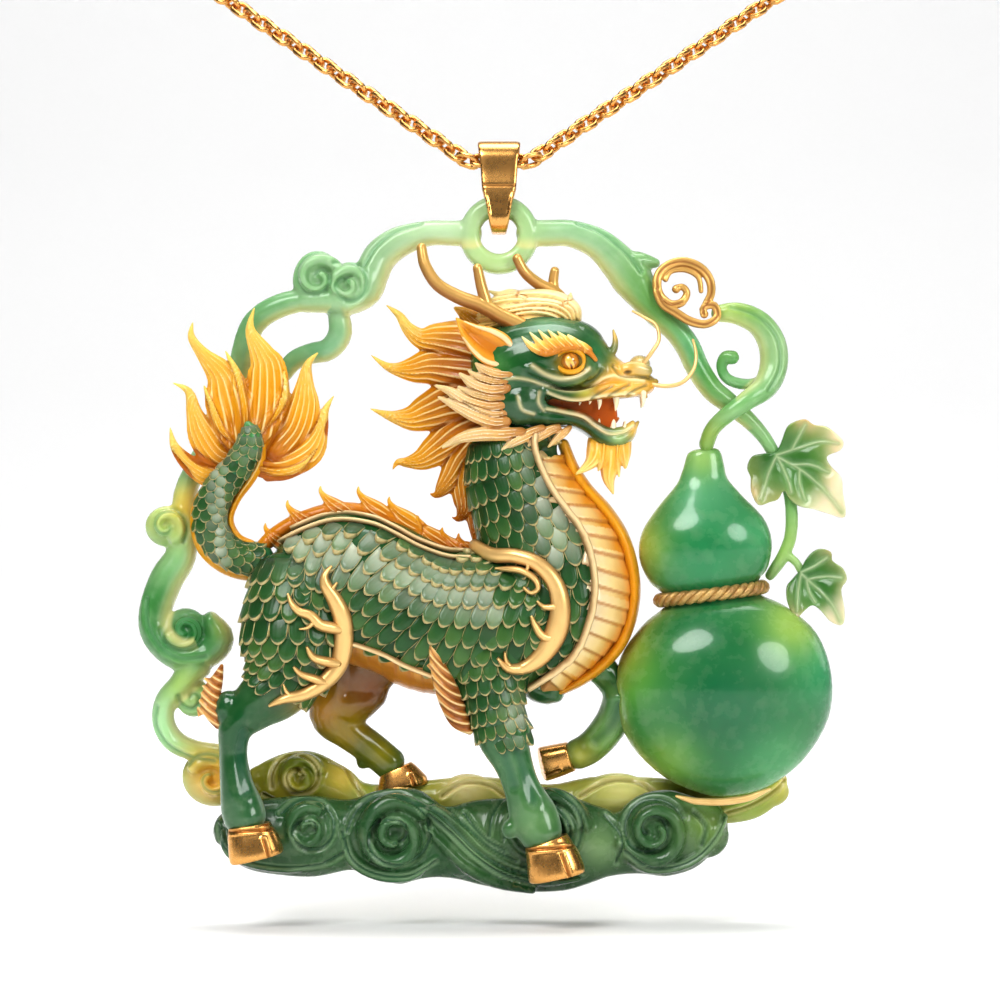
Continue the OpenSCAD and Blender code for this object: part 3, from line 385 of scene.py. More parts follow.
    def place(
        self, name: str, finish: "Finish", slot: str, replaces: Sequence[str] = (), body: str = "pendant",
    ) -> bpy.types.Object:
        """Put the surface in its place in the frame as a finished piece.

        Args:
            name: The piece's name.
            finish: What it is made of.
            slot: Not used.
            replaces: The CAD nodes that it stands for.
            body: The body that it rides.

        Returns:
            The piece.
        """
        for mark, values in self.marks.items():
            kind = "FLOAT" if values.ndim == 1 else "FLOAT_COLOR"
            layer = self.mesh.attributes.new(mark, kind, "POINT")
            if values.ndim == 1:
                layer.data.foreach_set("value", values.astype(np.float32))
            else:
                opaque = np.hstack([values, np.ones((len(values), 1))])
                layer.data.foreach_set("color", opaque.ravel().astype(np.float32))
        self.mesh.transform(Matrix.Diagonal((MM, MM, MM, 1.0)) @ Matrix.Translation(EYELET_AT))
        self.mesh.shade_smooth()
        self.mesh.name = name
        piece = put(name, self.mesh)
        piece.data.materials.clear()
        piece.data.materials.append(finish.material())
        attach(piece, body)
        if replaces:
            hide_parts(*replaces)
        LOG.info("%s: %d faces, replaces %s", name, len(self.mesh.polygons), ", ".join(replaces) or "nothing")
        return piece


def ramp(values: np.ndarray, low: float, high: float) -> np.ndarray:
    """Rise smoothly from 0 at low to 1 at high."""
    t = np.clip((values - low) / (high - low), 0, 1)
    return t * t * (3 - 2 * t)


def beside(spots: np.ndarray, rows: np.ndarray) -> tuple[np.ndarray, np.ndarray, np.ndarray, np.ndarray]:
    """Say where spots lie by a path, seen from the front.

    Args:
        spots: Points of x and z.
        rows: Smooth rows of the path.

    Returns:
        How far each is to the left in half widths, its share of the way along, the half width there, and how
        far it is from the path in half widths.
    """
    centre = rows[:, :2]
    way = np.gradient(centre, axis=0)
    step = np.linalg.norm(way, axis=1)
    way = way / np.maximum(step, 1e-9)[:, None]
    portions = np.array_split(spots, 1 + len(spots) // AT_ONCE)
    nearest = np.concatenate([((part[:, None, :] - centre[None]) ** 2).sum(2).argmin(1) for part in portions])
    gap = spots - centre[nearest]
    ahead = (gap * way[nearest]).sum(1)
    free = nearest + ahead / np.maximum(step[nearest], 1e-9)
    place = np.clip(free, 0, len(rows) - 1)
    half = np.interp(place, np.arange(len(rows)), rows[:, 3])
    side = gap[:, 1] * way[nearest, 0] - gap[:, 0] * way[nearest, 1]
    over = np.clip(np.abs(free - place), 0, 5) * step[nearest]
    return side / half, place / (len(rows) - 1), half, np.hypot(side, over) / half


class Blank:
    """Closed forms in millimetres that are fused into one surface."""

    def __init__(self) -> None:
        """Start with nothing."""
        self.bm = bmesh.new()

    def stroke(self, rows: Sequence[Row], steps: int = 4, sides: int = 14, blunt: bool = True) -> "Blank":
        """Add a stroke through rows of x, z, y, half width and half depth."""
        sweep(self.bm, Stroke(rows, steps, sides, blunt).frames(), sides)
        return self

    def strokes(
        self, many: Iterable[Sequence[Row]], steps: int = 4, sides: int = 14, blunt: bool = True,
    ) -> "Blank":
        """Add many strokes."""
        for rows in many:
            self.stroke(rows, steps, sides, blunt)
        return self

    def ball(
        self, x: float, z: float, y: float, rx: float, rz: float, ry: float, turn: float = 0.0,
    ) -> "Blank":
        """Add an egg with three radii, turned in the front view by an angle in degrees."""
        made = bmesh.ops.create_uvsphere(self.bm, u_segments=24, v_segments=14, radius=1.0)["verts"]
        place = Matrix.Translation((x, y, z)) @ Matrix.Rotation(math.radians(-turn), 4, "Y")
        bmesh.ops.transform(self.bm, matrix=place @ Matrix.Diagonal((rx, ry, rz, 1.0)), verts=made)
        return self

    def balls(self, many: Iterable[Row]) -> "Blank":
        """Add many eggs of x, z, y and three radii."""
        for place in many:
            self.ball(*place)
        return self

    def curls(self, many: Iterable[Row], steps: int = 3) -> "Blank":
        """Add many scrolls of x, z, y, radius, half width, half depth, first angle and turn."""
        for curl in many:
            self.stroke(curl_rows(*curl), steps)
        return self

    def plate(self, outline: Sequence[Row], y: float, half: float, steps: int = 4) -> "Blank":
        """Add a flat plate cut to an outline.

        Args:
            outline: Points of x and z round its edge.
            y: The middle of its thickness.
            half: Half its thickness.
            steps: How finely its outline is rounded.

        Returns:
            This blank.
        """
        points = smoothed(outline, steps, closed=True)
        verts = [self.bm.verts.new((p[0], y - half, p[1])) for p in points]
        face = self.bm.faces.new(verts)
        made = bmesh.ops.extrude_face_region(self.bm, geom=[face], use_keep_orig=True)["geom"]
        new = [g for g in made if isinstance(g, bmesh.types.BMVert)]
        bmesh.ops.translate(self.bm, verts=new, vec=(0.0, 2 * half, 0.0))
        return self

    def bare(self) -> Skin:
        """Give the forms as they are, each with its own points."""
        bmesh.ops.recalc_face_normals(self.bm, faces=self.bm.faces)
        return Skin(as_mesh(self.bm, "carving"))

    def fused(self, voxel: float, soften: int = 2) -> Skin:
        """Fuse the forms into one surface.

        Args:
            voxel: The size of the surface's facets.
            soften: How often its points are evened out.

        Returns:
            The surface.
        """
        rough = self.bare()
        holder = put("carving", rough.mesh)
        remesh = holder.modifiers.new("fuse", "REMESH")
        remesh.mode = "VOXEL"
        remesh.voxel_size = voxel
        even = holder.modifiers.new("soften", "SMOOTH")
        even.factor = 0.5
        even.iterations = soften
        depsgraph = bpy.context.evaluated_depsgraph_get()
        mesh = bpy.data.meshes.new_from_object(holder.evaluated_get(depsgraph))
        bpy.data.objects.remove(holder)
        bpy.data.meshes.remove(rough.mesh)
        return Skin(mesh)


# Finishes

Wire = Union["Socket", float, int]


class Socket:
    """A shader value that takes part in Python's arithmetic."""

    def __init__(self, paint: "Paint", out: bpy.types.NodeSocket) -> None:
        """Wrap the output of a node in a paint."""
        self.paint = paint
        self.out = out

    def _sum(self, kind: str, *others: Wire) -> "Socket":
        """Add a Math node of a kind."""
        return self.paint.node("ShaderNodeMath", {"operation": kind}, dict(enumerate(others)))

    def __add__(self, other: Wire) -> "Socket":
        """Add two values."""
        return self._sum("ADD", self, other)

    def __sub__(self, other: Wire) -> "Socket":
        """Take another value away."""
        return self._sum("SUBTRACT", self, other)

    def __rsub__(self, other: Wire) -> "Socket":
        """Take this value away from another."""
        return self._sum("SUBTRACT", other, self)

    def __mul__(self, other: Wire) -> "Socket":
        """Multiply two values."""
        return self._sum("MULTIPLY", self, other)

    __radd__ = __add__
    __rmul__ = __mul__

    def rise(self, low: float, high: float) -> "Socket":
        """Rise smoothly from 0 at low to 1 at high."""
        settings = {"interpolation_type": "SMOOTHSTEP"}
        return self.paint.node(
            "ShaderNodeMapRange", settings, {"Value": self, "From Min": low, "From Max": high},
        )

    def size(self) -> "Socket":
        """Drop the sign."""
        return self._sum("ABSOLUTE", self)

    def most(self, other: Wire) -> "Socket":
        """Take the larger of two values."""
        return self._sum("MAXIMUM", self, other)


class Paint:
    """The nodes of one material, with the calls that add to them."""

    def __init__(self, name: str) -> None:
        """Start a material."""
        self.stuff = bpy.data.materials.new(name)
        self.stuff.use_nodes = True
        self.tree = self.stuff.node_tree
        self.shader = next(n for n in self.tree.nodes if n.type == "BSDF_PRINCIPLED")
        self.at = self.node("ShaderNodeTexCoord", {}, {}, "Object")

    def node(self, kind: str, settings: dict, inputs: dict, output: Union[int, str] = 0) -> Socket:
        """Add a node.

        Args:
            kind: The node's type.
            settings: Its settings, set before its sockets, with a ramp's stops as "stops".
            inputs: Values or sockets for its inputs, by name or number.
            output: Which output is wanted, by name or number.

        Returns:
            That output.
        """
        made = self.tree.nodes.new(kind)
        for key, value in settings.items():
            if key == "stops":
                while len(made.color_ramp.elements) < len(value):
                    made.color_ramp.elements.new(0.5)
                for stop, (place, colour) in zip(made.color_ramp.elements, value):
                    stop.position = place
                    stop.color = (*colour, 1.0)
            else:
                setattr(made, key, value)
        for key, value in inputs.items():
            if isinstance(value, Socket):
                self.tree.links.new(value.out, made.inputs[key])
            else:
                made.inputs[key].default_value = value
        return Socket(self, made.outputs[output])

    def noise(self, size: float, detail: float = 3.0, twist: float = 0.0) -> Socket:
        """Cloud the surface with grains of a size in millimetres."""
        inputs = {"Vector": self.at, "Scale": 1 / (size * MM), "Detail": detail, "Distortion": twist}
        return self.node("ShaderNodeTexNoise", {}, inputs)

    def read(self, name: str) -> Socket:
        """Read a number that was marked on the surface."""
        return self.node("ShaderNodeAttribute", {"attribute_name": name}, {}, "Fac")

    def read_colour(self, name: str) -> Socket:
        """Read a colour that was marked on the surface."""
        return self.node("ShaderNodeAttribute", {"attribute_name": name}, {}, "Color")

    def mix(self, share: Wire, a: Union[Socket, Colour], b: Union[Socket, Colour]) -> Socket:
        """Mix two colours.

        Args:
            share: How much of the second there is.
            a: The first colour.
            b: The second colour.

        Returns:
            The mixed colour.
        """
        one, two = (c if isinstance(c, Socket) else (*c, 1.0) for c in (a, b))
        return self.node("ShaderNodeMix", {"data_type": "RGBA"}, {0: share, 6: one, 7: two}, 2)

    def ramp(self, value: Socket, stops: Sequence[tuple[float, Colour]]) -> Socket:
        """Turn a value into a colour."""
        return self.node("ShaderNodeValToRGB", {"stops": stops}, {"Fac": value}, "Color")

    def bump(self, height: Socket, depth: float) -> Socket:
        """Raise the surface by up to a depth in millimetres."""
        return self.node("ShaderNodeBump", {}, {"Height": height, "Distance": depth * MM, "Strength": 1.0})

    def set(self, **values: Union[Wire, Colour]) -> bpy.types.Material:
        """Join values to the shader, whose sockets are named with underscores for spaces."""
        for key, value in values.items():
            socket = self.shader.inputs[key.replace("_", " ")]
            if isinstance(value, Socket):
                self.tree.links.new(value.out, socket)
            elif isinstance(value, tuple) and len(value) == 3 and socket.type == "RGBA":
                socket.default_value = (*value, 1.0)
            else:
                socket.default_value = value
        return self.stuff


class Finish:
    """A finish, whose material is made once."""

    made: dict = {}

    def material(self) -> bpy.types.Material:
        """Give the finish's material."""
        if self not in Finish.made:
            Finish.made[self] = self.mix_up()
        return Finish.made[self]

    def mix_up(self) -> bpy.types.Material:
        """Make the material."""
        raise NotImplementedError


@dataclass(frozen=True)
class Jade(Finish):
    """Polished jade that is stained over its surface, with cloudy grain and painted shade in its cuts."""

    name: str
    cut: Colour = (0.02, 0.10, 0.05)
    lip: Colour = (0.80, 0.86, 0.62)
    lip_share: float = 0.35
    glow: float = 0.30
    depth: float = 1.0
    gloss: float = 0.16
    milk: float = 0.10
    shine: float = 0.25

    def mix_up(self) -> bpy.types.Material:
        """Make the jade."""
        p = Paint(self.name)
        cloud = p.noise(size=6.0, detail=4.0, twist=0.6)
        fleck = p.noise(size=0.9, detail=5.0)
        stain = p.read_colour("tint")
        line, rim = p.read("line"), p.read("lip")
        milky = p.mix(cloud.rise(0.42, 0.78) * self.milk, stain, (0.62, 0.80, 0.52))
        deep = p.mix((1 - cloud).rise(0.46, 0.8) * 0.45, milky, self.cut)
        grain = p.mix(fleck.rise(0.45, 0.75) * 0.05, deep, (0.80, 0.90, 0.62))
        # The lip colour is the stone's paler edge on some pieces, and a painted highlight where the lower
        # legs, the cheek ridge and the cloud grooves are marked.
        edged = p.mix(rim * self.lip_share, grain, self.lip)
        # Painted shade: the grooves and other marked lines darken towards the cut colour.
        colour = p.mix(line * 0.55, edged, self.cut)
        bump = p.bump(p.noise(size=2.6, detail=2.0) * 0.7 + fleck * 0.12, depth=0.05)
        return p.set(
            Base_Color=colour,
            Roughness=self.gloss + 0.14 * fleck + 0.12 * line,
            Normal=bump,
            Specular_IOR_Level=0.3,
            Subsurface_Weight=self.glow,
            Subsurface_Radius=(0.7, 1.0, 0.6),
            Subsurface_Scale=self.depth * MM,
            Coat_Weight=self.shine,
            Coat_Roughness=0.07,
        )


@dataclass(frozen=True)
class Flame(Finish):
    """Amber jade in combed locks: deep at the root, honey at the tip, with cream strand lines and painted
    shade in the hollows.
    """

    name: str
    root: Colour = (0.42, 0.12, 0.003)
    middle: Colour = (0.74, 0.35, 0.012)
    tip: Colour = (0.88, 0.60, 0.14)
    strand: Colour = (0.93, 0.78, 0.40)
    strand_share: float = 0.65

    def mix_up(self) -> bpy.types.Material:
        """Make the amber."""
        p = Paint(self.name)
        along, strand, seam, line = (p.read(n) for n in ("along", "strand", "seam", "line"))
        cloud, fleck = p.noise(size=3.2, detail=3.0, twist=0.5), p.noise(size=0.5, detail=4.0)
        body = p.ramp(along + 0.35 * (cloud - 0.5), [(0.0, self.root), (0.42, self.middle), (0.9, self.tip)])
        lit = p.mix(strand.rise(0.72, 0.98) * self.strand_share, body, self.strand)
        # Painted shade: the partings, the valleys between ribs and the hollow of the ear darken to the root
        # colour.
        dark = p.mix((seam * 0.75).most(line * 0.6), lit, self.root)
        return p.set(
            Base_Color=dark,
            Roughness=0.22 + 0.16 * fleck,
            Normal=p.bump(fleck, depth=0.03),
            Specular_IOR_Level=0.3,
            Subsurface_Weight=0.22,
            Subsurface_Radius=(1.0, 0.6, 0.2),
            Subsurface_Scale=0.8 * MM,
            Coat_Weight=0.15,
            Coat_Roughness=0.12,
        )


@dataclass(frozen=True)
class Gold(Finish):
    """Polished gold with a soft wear, and painted shade in dark brown where it is marked."""

    name: str
    colour: Colour = (1.0, 0.70, 0.27)
    worn: Colour = (0.80, 0.42, 0.10)
    gloss: float = 0.13
    metal: float = 1.0

    def mix_up(self) -> bpy.types.Material:
        """Make the gold."""
        p = Paint(self.name)
        wear, grain = p.noise(size=1.8, detail=4.0), p.noise(size=0.25, detail=3.0)
        drawn = p.node("ShaderNodeMapping", {}, {"Vector": p.at, "Scale": (1.0, 1.0, 9.0)})
        brushed = p.node("ShaderNodeTexNoise", {}, {"Vector": drawn, "Scale": 900.0, "Detail": 3.0})
        colour = p.mix(wear.rise(0.4, 0.9) * 0.25, self.colour, self.worn)
        # Painted shade: dark brown in the grooves, on the undersides of the antlers and the tendril, and
        # along the bands' edges.
        colour = p.mix(p.read("line") * 0.85, colour, (0.26, 0.09, 0.015))
        bump = p.bump(brushed * 0.4 + grain * 0.1, depth=0.0012)
        return p.set(
            Base_Color=colour,
            Metallic=self.metal,
            Roughness=self.gloss + 0.14 * wear * grain + 0.1 * p.read("line"),
            Normal=bump,
            Coat_Weight=0.15,
            Coat_Roughness=0.08,
        )


@dataclass(frozen=True)
class ScaleJade(Finish):
    """Green scales with a gilded free edge and a tint of their own, paled by a painted highlight where it is
    marked.
    """

    name: str
    dark: Colour = (0.006, 0.038, 0.008)
    light: Colour = (0.08, 0.17, 0.035)
    rim: Colour = (0.56, 0.46, 0.22)

    def mix_up(self) -> bpy.types.Material:
        """Make the scales."""
        p = Paint(self.name)
        down, across, own, sheen = (p.read(n) for n in ("down", "across", "own", "sheen"))
        side = across.size()
        edge = down.rise(0.89, 0.96).most(side.rise(0.88, 0.97) * down.rise(0.25, 0.55))
        base = p.ramp(own * 0.55 + down * 0.45, [
            (0.0, self.dark), (0.55, (0.022, 0.095, 0.022)), (1.0, self.light),
        ])
        # Painted highlight: where it is marked, a scale pales, most towards its root end.
        pale = p.mix(sheen * (0.12 + 0.78 * (1 - down)), base, (0.76, 0.80, 0.64))
        wear = p.noise(size=0.5, detail=4.0)
        colour = p.mix(edge * 0.9, pale, self.rim)
        ribs = p.node("ShaderNodeMath", {"operation": "SINE"}, {0: across * 14.0})
        return p.set(
            Base_Color=colour,
            Metallic=edge * 0.15,
            Roughness=0.26 + 0.14 * wear,
            Normal=p.bump(ribs * 0.08 * (1 - edge) + edge * 1.0 + wear * 0.15, depth=0.03),
            Coat_Weight=0.2,
            Coat_Roughness=0.12,
            Specular_IOR_Level=0.3,
            Subsurface_Weight=0.12,
            Subsurface_Scale=0.5 * MM,
        )


@dataclass(frozen=True)
class PlateIvory(Finish):
    """Cream and gold plates of the throat and belly, with painted shade in amber in the folds between them.
    """

    name: str
    inner: Colour = (0.88, 0.74, 0.48)
    middle: Colour = (0.86, 0.64, 0.28)
    outer: Colour = (0.72, 0.32, 0.03)

    def mix_up(self) -> bpy.types.Material:
        """Make the plates."""
        p = Paint(self.name)
        fold, round_ = p.read("fold"), p.read("round")
        cloud, fine = p.noise(size=1.6, detail=3.0), p.noise(size=0.3, detail=4.0)
        face = p.ramp(
            round_ + 0.2 * (cloud - 0.5), [(0.0, self.inner), (0.55, self.middle), (1.0, self.outer)],
        )
        # Painted shade: each plate darkens to amber in the fold where it meets the next.
        colour = p.mix(fold * 0.75, face, (0.45, 0.17, 0.02))
        return p.set(
            Base_Color=colour,
            Metallic=0.12 * (1 - fold),
            Roughness=0.25 + 0.15 * fine,
            Normal=p.bump(fine, depth=0.02),
            Subsurface_Weight=0.15,
            Subsurface_Radius=(1.0, 0.6, 0.2),
            Subsurface_Scale=0.8 * MM,
            Specular_IOR_Level=0.35,
            Coat_Weight=0.25,
            Coat_Roughness=0.1,
        )


@dataclass(frozen=True)
class EyeAmber(Finish):
    """A clear amber eye with a darker middle."""

    name: str

    def mix_up(self) -> bpy.types.Material:
        """Make the eye."""
        p = Paint(self.name)
        ring, cloud = p.read("ring"), p.noise(size=0.4, detail=3.0)
        stops = [
            (0.0, (0.12, 0.03, 0.0)), (0.26, (0.20, 0.06, 0.01)), (0.36, (0.86, 0.42, 0.05)),
            (0.68, (0.95, 0.60, 0.14)), (0.82, (0.42, 0.15, 0.02)), (1.0, (0.60, 0.26, 0.03)),
        ]
        return p.set(
            Base_Color=p.ramp(ring + 0.08 * (cloud - 0.5), stops),
            Roughness=0.06 + 0.06 * cloud,
            IOR=1.6,
            Coat_Weight=1.0,
            Coat_Roughness=0.03,
        )


@dataclass(frozen=True)
class Ivory(Finish):
    """Cream tooth."""

    name: str

    def mix_up(self) -> bpy.types.Material:
        """Make the ivory."""
        p = Paint(self.name)
        cloud = p.noise(size=0.5, detail=3.0)
        colour = p.mix(cloud, (0.98, 0.90, 0.70), (0.90, 0.68, 0.38))
        return p.set(
            Base_Color=colour, Roughness=0.2 + 0.1 * cloud, Subsurface_Weight=0.2, Subsurface_Scale=0.3 * MM,
        )


@dataclass(frozen=True)
class Cord(Finish):
    """Twisted gilt cord, mottled with red-brown."""

    name: str

    def mix_up(self) -> bpy.types.Material:
        """Make the cord."""
        p = Paint(self.name)
        fibre, wear = p.noise(size=0.12, detail=3.0), p.noise(size=0.8, detail=3.0)
        colour = p.mix(wear.rise(0.4, 0.7) * 0.7, (0.56, 0.36, 0.12), (0.26, 0.12, 0.03))
        return p.set(
            Base_Color=colour,
            Metallic=0.45,
            Roughness=0.32 + 0.2 * fibre,
            Normal=p.bump(fibre, depth=0.04),
            Coat_Weight=0.3,
            Coat_Roughness=0.2,
        )


@dataclass(frozen=True)
class Paper(Finish):
    """Matt pale paper."""

    name: str

    def mix_up(self) -> bpy.types.Material:
        """Make the paper."""
        p = Paint(self.name)
        tooth = p.noise(size=1.2, detail=4.0)
        colour = p.mix(tooth * 0.3, (0.93, 0.93, 0.93), (0.97, 0.97, 0.97))
        return p.set(Base_Color=colour, Roughness=0.9 - 0.1 * tooth, Specular_IOR_Level=0.1)


class Stain(Enum):
    """Stains of the pale jade."""

    MINT = (0.46, 0.60, 0.42)
    PALE = (0.60, 0.72, 0.54)
    LEAF = (0.12, 0.36, 0.12)
    HONEY = (0.88, 0.60, 0.14)
    PEACH = (0.93, 0.70, 0.50)


POLISHED = Gold("polished_gold", colour=(0.78, 0.42, 0.13), worn=(0.40, 0.15, 0.03), gloss=0.24)
TENDRIL_GOLD = Gold(
    "tendril_gold", colour=(0.74, 0.45, 0.13), worn=(0.40, 0.17, 0.03), gloss=0.28, metal=0.55,
)
SATIN = Gold("satin_gold", colour=(0.84, 0.56, 0.22), worn=(0.55, 0.24, 0.05), gloss=0.3, metal=0.5)
LIGHT_GOLD = Gold("light_gold", colour=(0.80, 0.54, 0.22), worn=(0.50, 0.22, 0.04), gloss=0.3, metal=0.35)
CORD_GOLD = Gold("cord_gold", colour=(0.80, 0.60, 0.32), worn=(0.62, 0.36, 0.12), gloss=0.35, metal=0.15)
HORN_GOLD = Gold("horn_gold", colour=(0.76, 0.46, 0.14), worn=(0.36, 0.14, 0.03), gloss=0.26, metal=0.45)


# Stage


@dataclass(frozen=True)
class Lamp:
    """A soft round light, its place and its aim measured from the carving's middle, in metres and watts."""

    name: str
    place: Place
    size: float
    power: float
    aim: Place = (0.0, 0.0, 0.0)


@dataclass
class Studio:
    """Camera, soft lights and a pale floor that runs up behind, in metres."""

    lens_mm: float = 135.0
    sensor_mm: float = 36.0
    clip: float = 0.01
    far: float = 0.2625
    gamma: float = 0.88
    middle: Vector = EYELET_AT * MM + Vector((0.00007, 0.0, -0.01855))
    floor_z: float = -0.1695
    floor_half: float = 2.5
    floor_front: float = -2.0
    floor_long: float = 2.3
    floor_steps: int = 40
    bend_from: float = 0.45
    bend_to: float = 0.6
    bend_radius: float = 0.4
    wall_high: float = 2.2
    air_low: Colour = (0.05, 0.04, 0.03)
    air_high: Colour = (1.0, 1.0, 1.0)
    air_pale_from: float = 0.6
    air_strength: float = 0.16
    lamps: tuple = (
        Lamp("key", (-0.17, -0.36, 0.34), size=0.26, power=2.0),
        Lamp("fill", (0.30, -0.36, 0.17), size=0.22, power=1.1),
        Lamp("top", (0.02, 0.03, 0.50), size=0.30, power=0.45),
        Lamp("rim", (0.50, 0.24, 0.20), size=0.30, power=0.35),
        Lamp("wall", (0.0, 0.12, 0.50), size=0.50, power=3.1, aim=(0.0, 0.8, -0.1)),
    )

    def camera(self) -> None:
        """Stand the camera square to the front, at the photo's framing."""
        data = bpy.data.cameras.new("camera")
        data.lens = self.lens_mm
        data.sensor_width = self.sensor_mm
        data.clip_start = self.clip
        holder = put("camera", data)
        holder.location = self.middle + Vector((0.0, -self.far, 0.0))
        holder.rotation_euler = (math.radians(90.0), 0.0, 0.0)
        bpy.context.scene.camera = holder

    def hang(self, lamp: Lamp) -> None:
        """Hang a lamp and point it where it aims."""
        data = bpy.data.lights.new(lamp.name, "AREA")
        data.shape = "DISK"
        data.size = lamp.size
        data.energy = lamp.power
        holder = put(lamp.name, data)
        holder.location = self.middle + Vector(lamp.place)
        way = Vector(lamp.aim) - Vector(lamp.place)
        holder.rotation_euler = way.to_track_quat("-Z", "Y").to_euler()

    def floor(self) -> None:
        """Lay the floor and curve it up into a backdrop."""
        bm = bmesh.new()
        strip = bmesh.ops.create_grid(bm, x_segments=2, y_segments=self.floor_steps, size=1.0)["verts"]
        for v in strip:
            t = (v.co.y + 1.0) * 0.5
            bent = min(max((t - self.bend_from) / (self.bend_to - self.bend_from), 0.0), 1.0) * math.pi / 2
            flat = min(t, self.bend_from) / self.bend_from
            rise = max(t - self.bend_to, 0.0) / (1.0 - self.bend_to)
            v.co = Vector((
                v.co.x * self.floor_half,
                self.floor_front + self.floor_long * flat + self.bend_radius * math.sin(bent),
                self.floor_z + self.bend_radius * (1 - math.cos(bent)) + self.wall_high * rise,
            ))
        mesh = as_mesh(bm, "floor")
        mesh.shade_smooth()
        mesh.materials.append(Paper("paper").material())
        sheet = put("floor", mesh)

    def air(self) -> None:
        """Give the room an even pale light, darker low down for the gold to mirror."""
        world = bpy.data.worlds.new("room")
        world.use_nodes = True
        bpy.context.scene.world = world
        back = world.node_tree.nodes["Background"]
        coords = world.node_tree.nodes.new("ShaderNodeTexCoord")
        split = world.node_tree.nodes.new("ShaderNodeSeparateXYZ")
        tone = world.node_tree.nodes.new("ShaderNodeValToRGB")
        world.node_tree.links.new(coords.outputs["Generated"], split.inputs[0])
        world.node_tree.links.new(split.outputs[2], tone.inputs[0])
        world.node_tree.links.new(tone.outputs[0], back.inputs["Color"])
        low, high = tone.color_ramp.elements
        low.color = (*self.air_low, 1.0)
        high.color = (*self.air_high, 1.0)
        high.position = self.air_pale_from
        back.inputs["Strength"].default_value = self.air_strength

    def build(self) -> None:
        """Set up the whole stage."""
        bpy.context.scene.view_settings.view_transform = "Standard"
        bpy.context.scene.view_settings.gamma = self.gamma
        self.camera()
        self.air()
        self.floor()
        for lamp in self.lamps:
            self.hang(lamp)


# Chain and bail


@dataclass
class Chain:
    """A worn loop of gold links that leans back from the bail, closed by a barrel clasp at the nape."""

    route: tuple = (
        (0, 2.2), (2.2, 2.2), (10, 10), (20, 20), (30, 30), (40, 40), (47.4, 47.4), (54, 55), (60, 65),
        (64.5, 77), (66.8, 90), (66.5, 102), (63.5, 116), (58, 128.3), (50, 139.5), (40.5, 148),
        (29, 155), (15, 160.2), (6, 161.6), (4.2, 161.8),
    )
    top: float = 161.8
    lean: float = math.radians(43.4)
    pitch: float = 1.115
    long: float = 1.95
    wide: float = 1.42
    wire: float = 0.4
    bends: int = 14
    wire_sides: int = 6
    nape_gap: float = 0.35
    clasp_long: float = 9.0
    clasp_thick: float = 2.6
    clasp_sides: int = 40

    def link(self) -> bpy.types.Mesh:
        """Make one oval link that lies flat, long in x."""
        bm = bmesh.new()
        straight, bow = (self.long - self.wide) / 2, (self.wide - self.wire) / 2
        frames = []
        for k in range(self.bends):
            a = 2 * math.pi * (k + 0.5) / self.bends
            spot = np.array((
                math.copysign(straight, math.cos(a)) + bow * math.cos(a), bow * math.sin(a), 0.0,
            ))
            way = np.array((-math.sin(a), math.cos(a), 0.0))
            frames.append(ring_frame(spot, way, np.array((0.0, 0.0, 1.0)), self.wire / 2, self.wire / 2))
        sweep(bm, frames, self.wire_sides, closed=True)
        bmesh.ops.recalc_face_normals(bm, faces=bm.faces)
        return as_mesh(bm, "link")

    def half_path(self) -> np.ndarray:
        """Give points of the right half of the loop, in the leaning plane, at even steps."""
        fine = np.concatenate([np.array(self.route[:1], float), smoothed(self.route[1:], steps=40)])
        length = lengths(fine)
        count = int((length[-1] - self.nape_gap) / self.pitch)
        even = np.arange(count + 1) * self.pitch
        return np.stack([np.interp(even, length, fine[:, 0]), np.interp(even, length, fine[:, 1])], axis=1)

    def leant(self, x: float, up: float) -> Vector:
        """Tip a point of the loop's plane back to where it hangs."""
        return Vector((x, (up - self.top) * math.sin(self.lean), (up - self.top) * math.cos(self.lean)))

    def links(self) -> bpy.types.Object:
        """String the links along the loop.

        Returns:
            The links, as one piece.
        """
        half = self.half_path()
        loop = np.concatenate([half[:0:-1] * (-1.0, 1.0), half])
        ways = np.gradient(loop, axis=0)
        pattern, bm = self.link(), bmesh.new()
        size = len(pattern.vertices)
        across = Vector((0.0, math.cos(self.lean), -math.sin(self.lean)))
        for k, (spot, way) in enumerate(zip(loop, ways)):
            along = Vector((way[0], way[1] * math.sin(self.lean), way[1] * math.cos(self.lean))).normalized()
            side = across.cross(along)
            twist = Matrix.Rotation(math.pi / 2 * ((k + len(half)) % 2), 3, "X")
            place = (Matrix((along, side, across)).transposed() @ twist).to_4x4()
            place.translation = self.leant(*spot)
            bm.from_mesh(pattern)
            bm.verts.ensure_lookup_table()
            bmesh.ops.transform(bm, matrix=place, verts=bm.verts[-size:])
        bpy.data.meshes.remove(pattern)
        LOG.info("chain: %d links", len(loop))
        return as_piece(bm, "chain_links", POLISHED, "gold", ["chain"], "chain", frame_mm=True)

    def clasp(self) -> bpy.types.Object:
        """Turn the barrel clasp with its beads and end rings.

        Returns:
            The clasp.
        """
        half, r = self.clasp_long / 2, self.clasp_thick / 2
        outline = [
            (-half, 0.0), (-half, 0.32 * r), (-half + 0.35, 0.55 * r), (-half + 0.6, 0.42 * r),
            (-half + 0.9, 0.78 * r), (-2.4, 0.92 * r), (-1.2, r), (-0.35, r), (-0.25, 0.88 * r),
            (-0.1, 0.88 * r), (0.0, r), (1.3, r), (2.5, 0.92 * r), (half - 0.9, 0.78 * r),
            (half - 0.6, 0.42 * r), (half - 0.35, 0.55 * r), (half, 0.32 * r), (half, 0.0),
        ]
        bm = bmesh.new()
        turned(bm, [(radius, along) for along, radius in outline], self.clasp_sides)
        bmesh.ops.rotate(bm, verts=bm.verts, cent=(0, 0, 0), matrix=Matrix.Rotation(math.pi / 2, 3, "Y"))
        return as_piece(bm, "barrel_clasp", LIGHT_GOLD, "gold", ["clasp"], "chain", frame_mm=True)

    def build(self) -> None:
        """Make the chain and its clasp."""
        self.links()
        self.clasp()


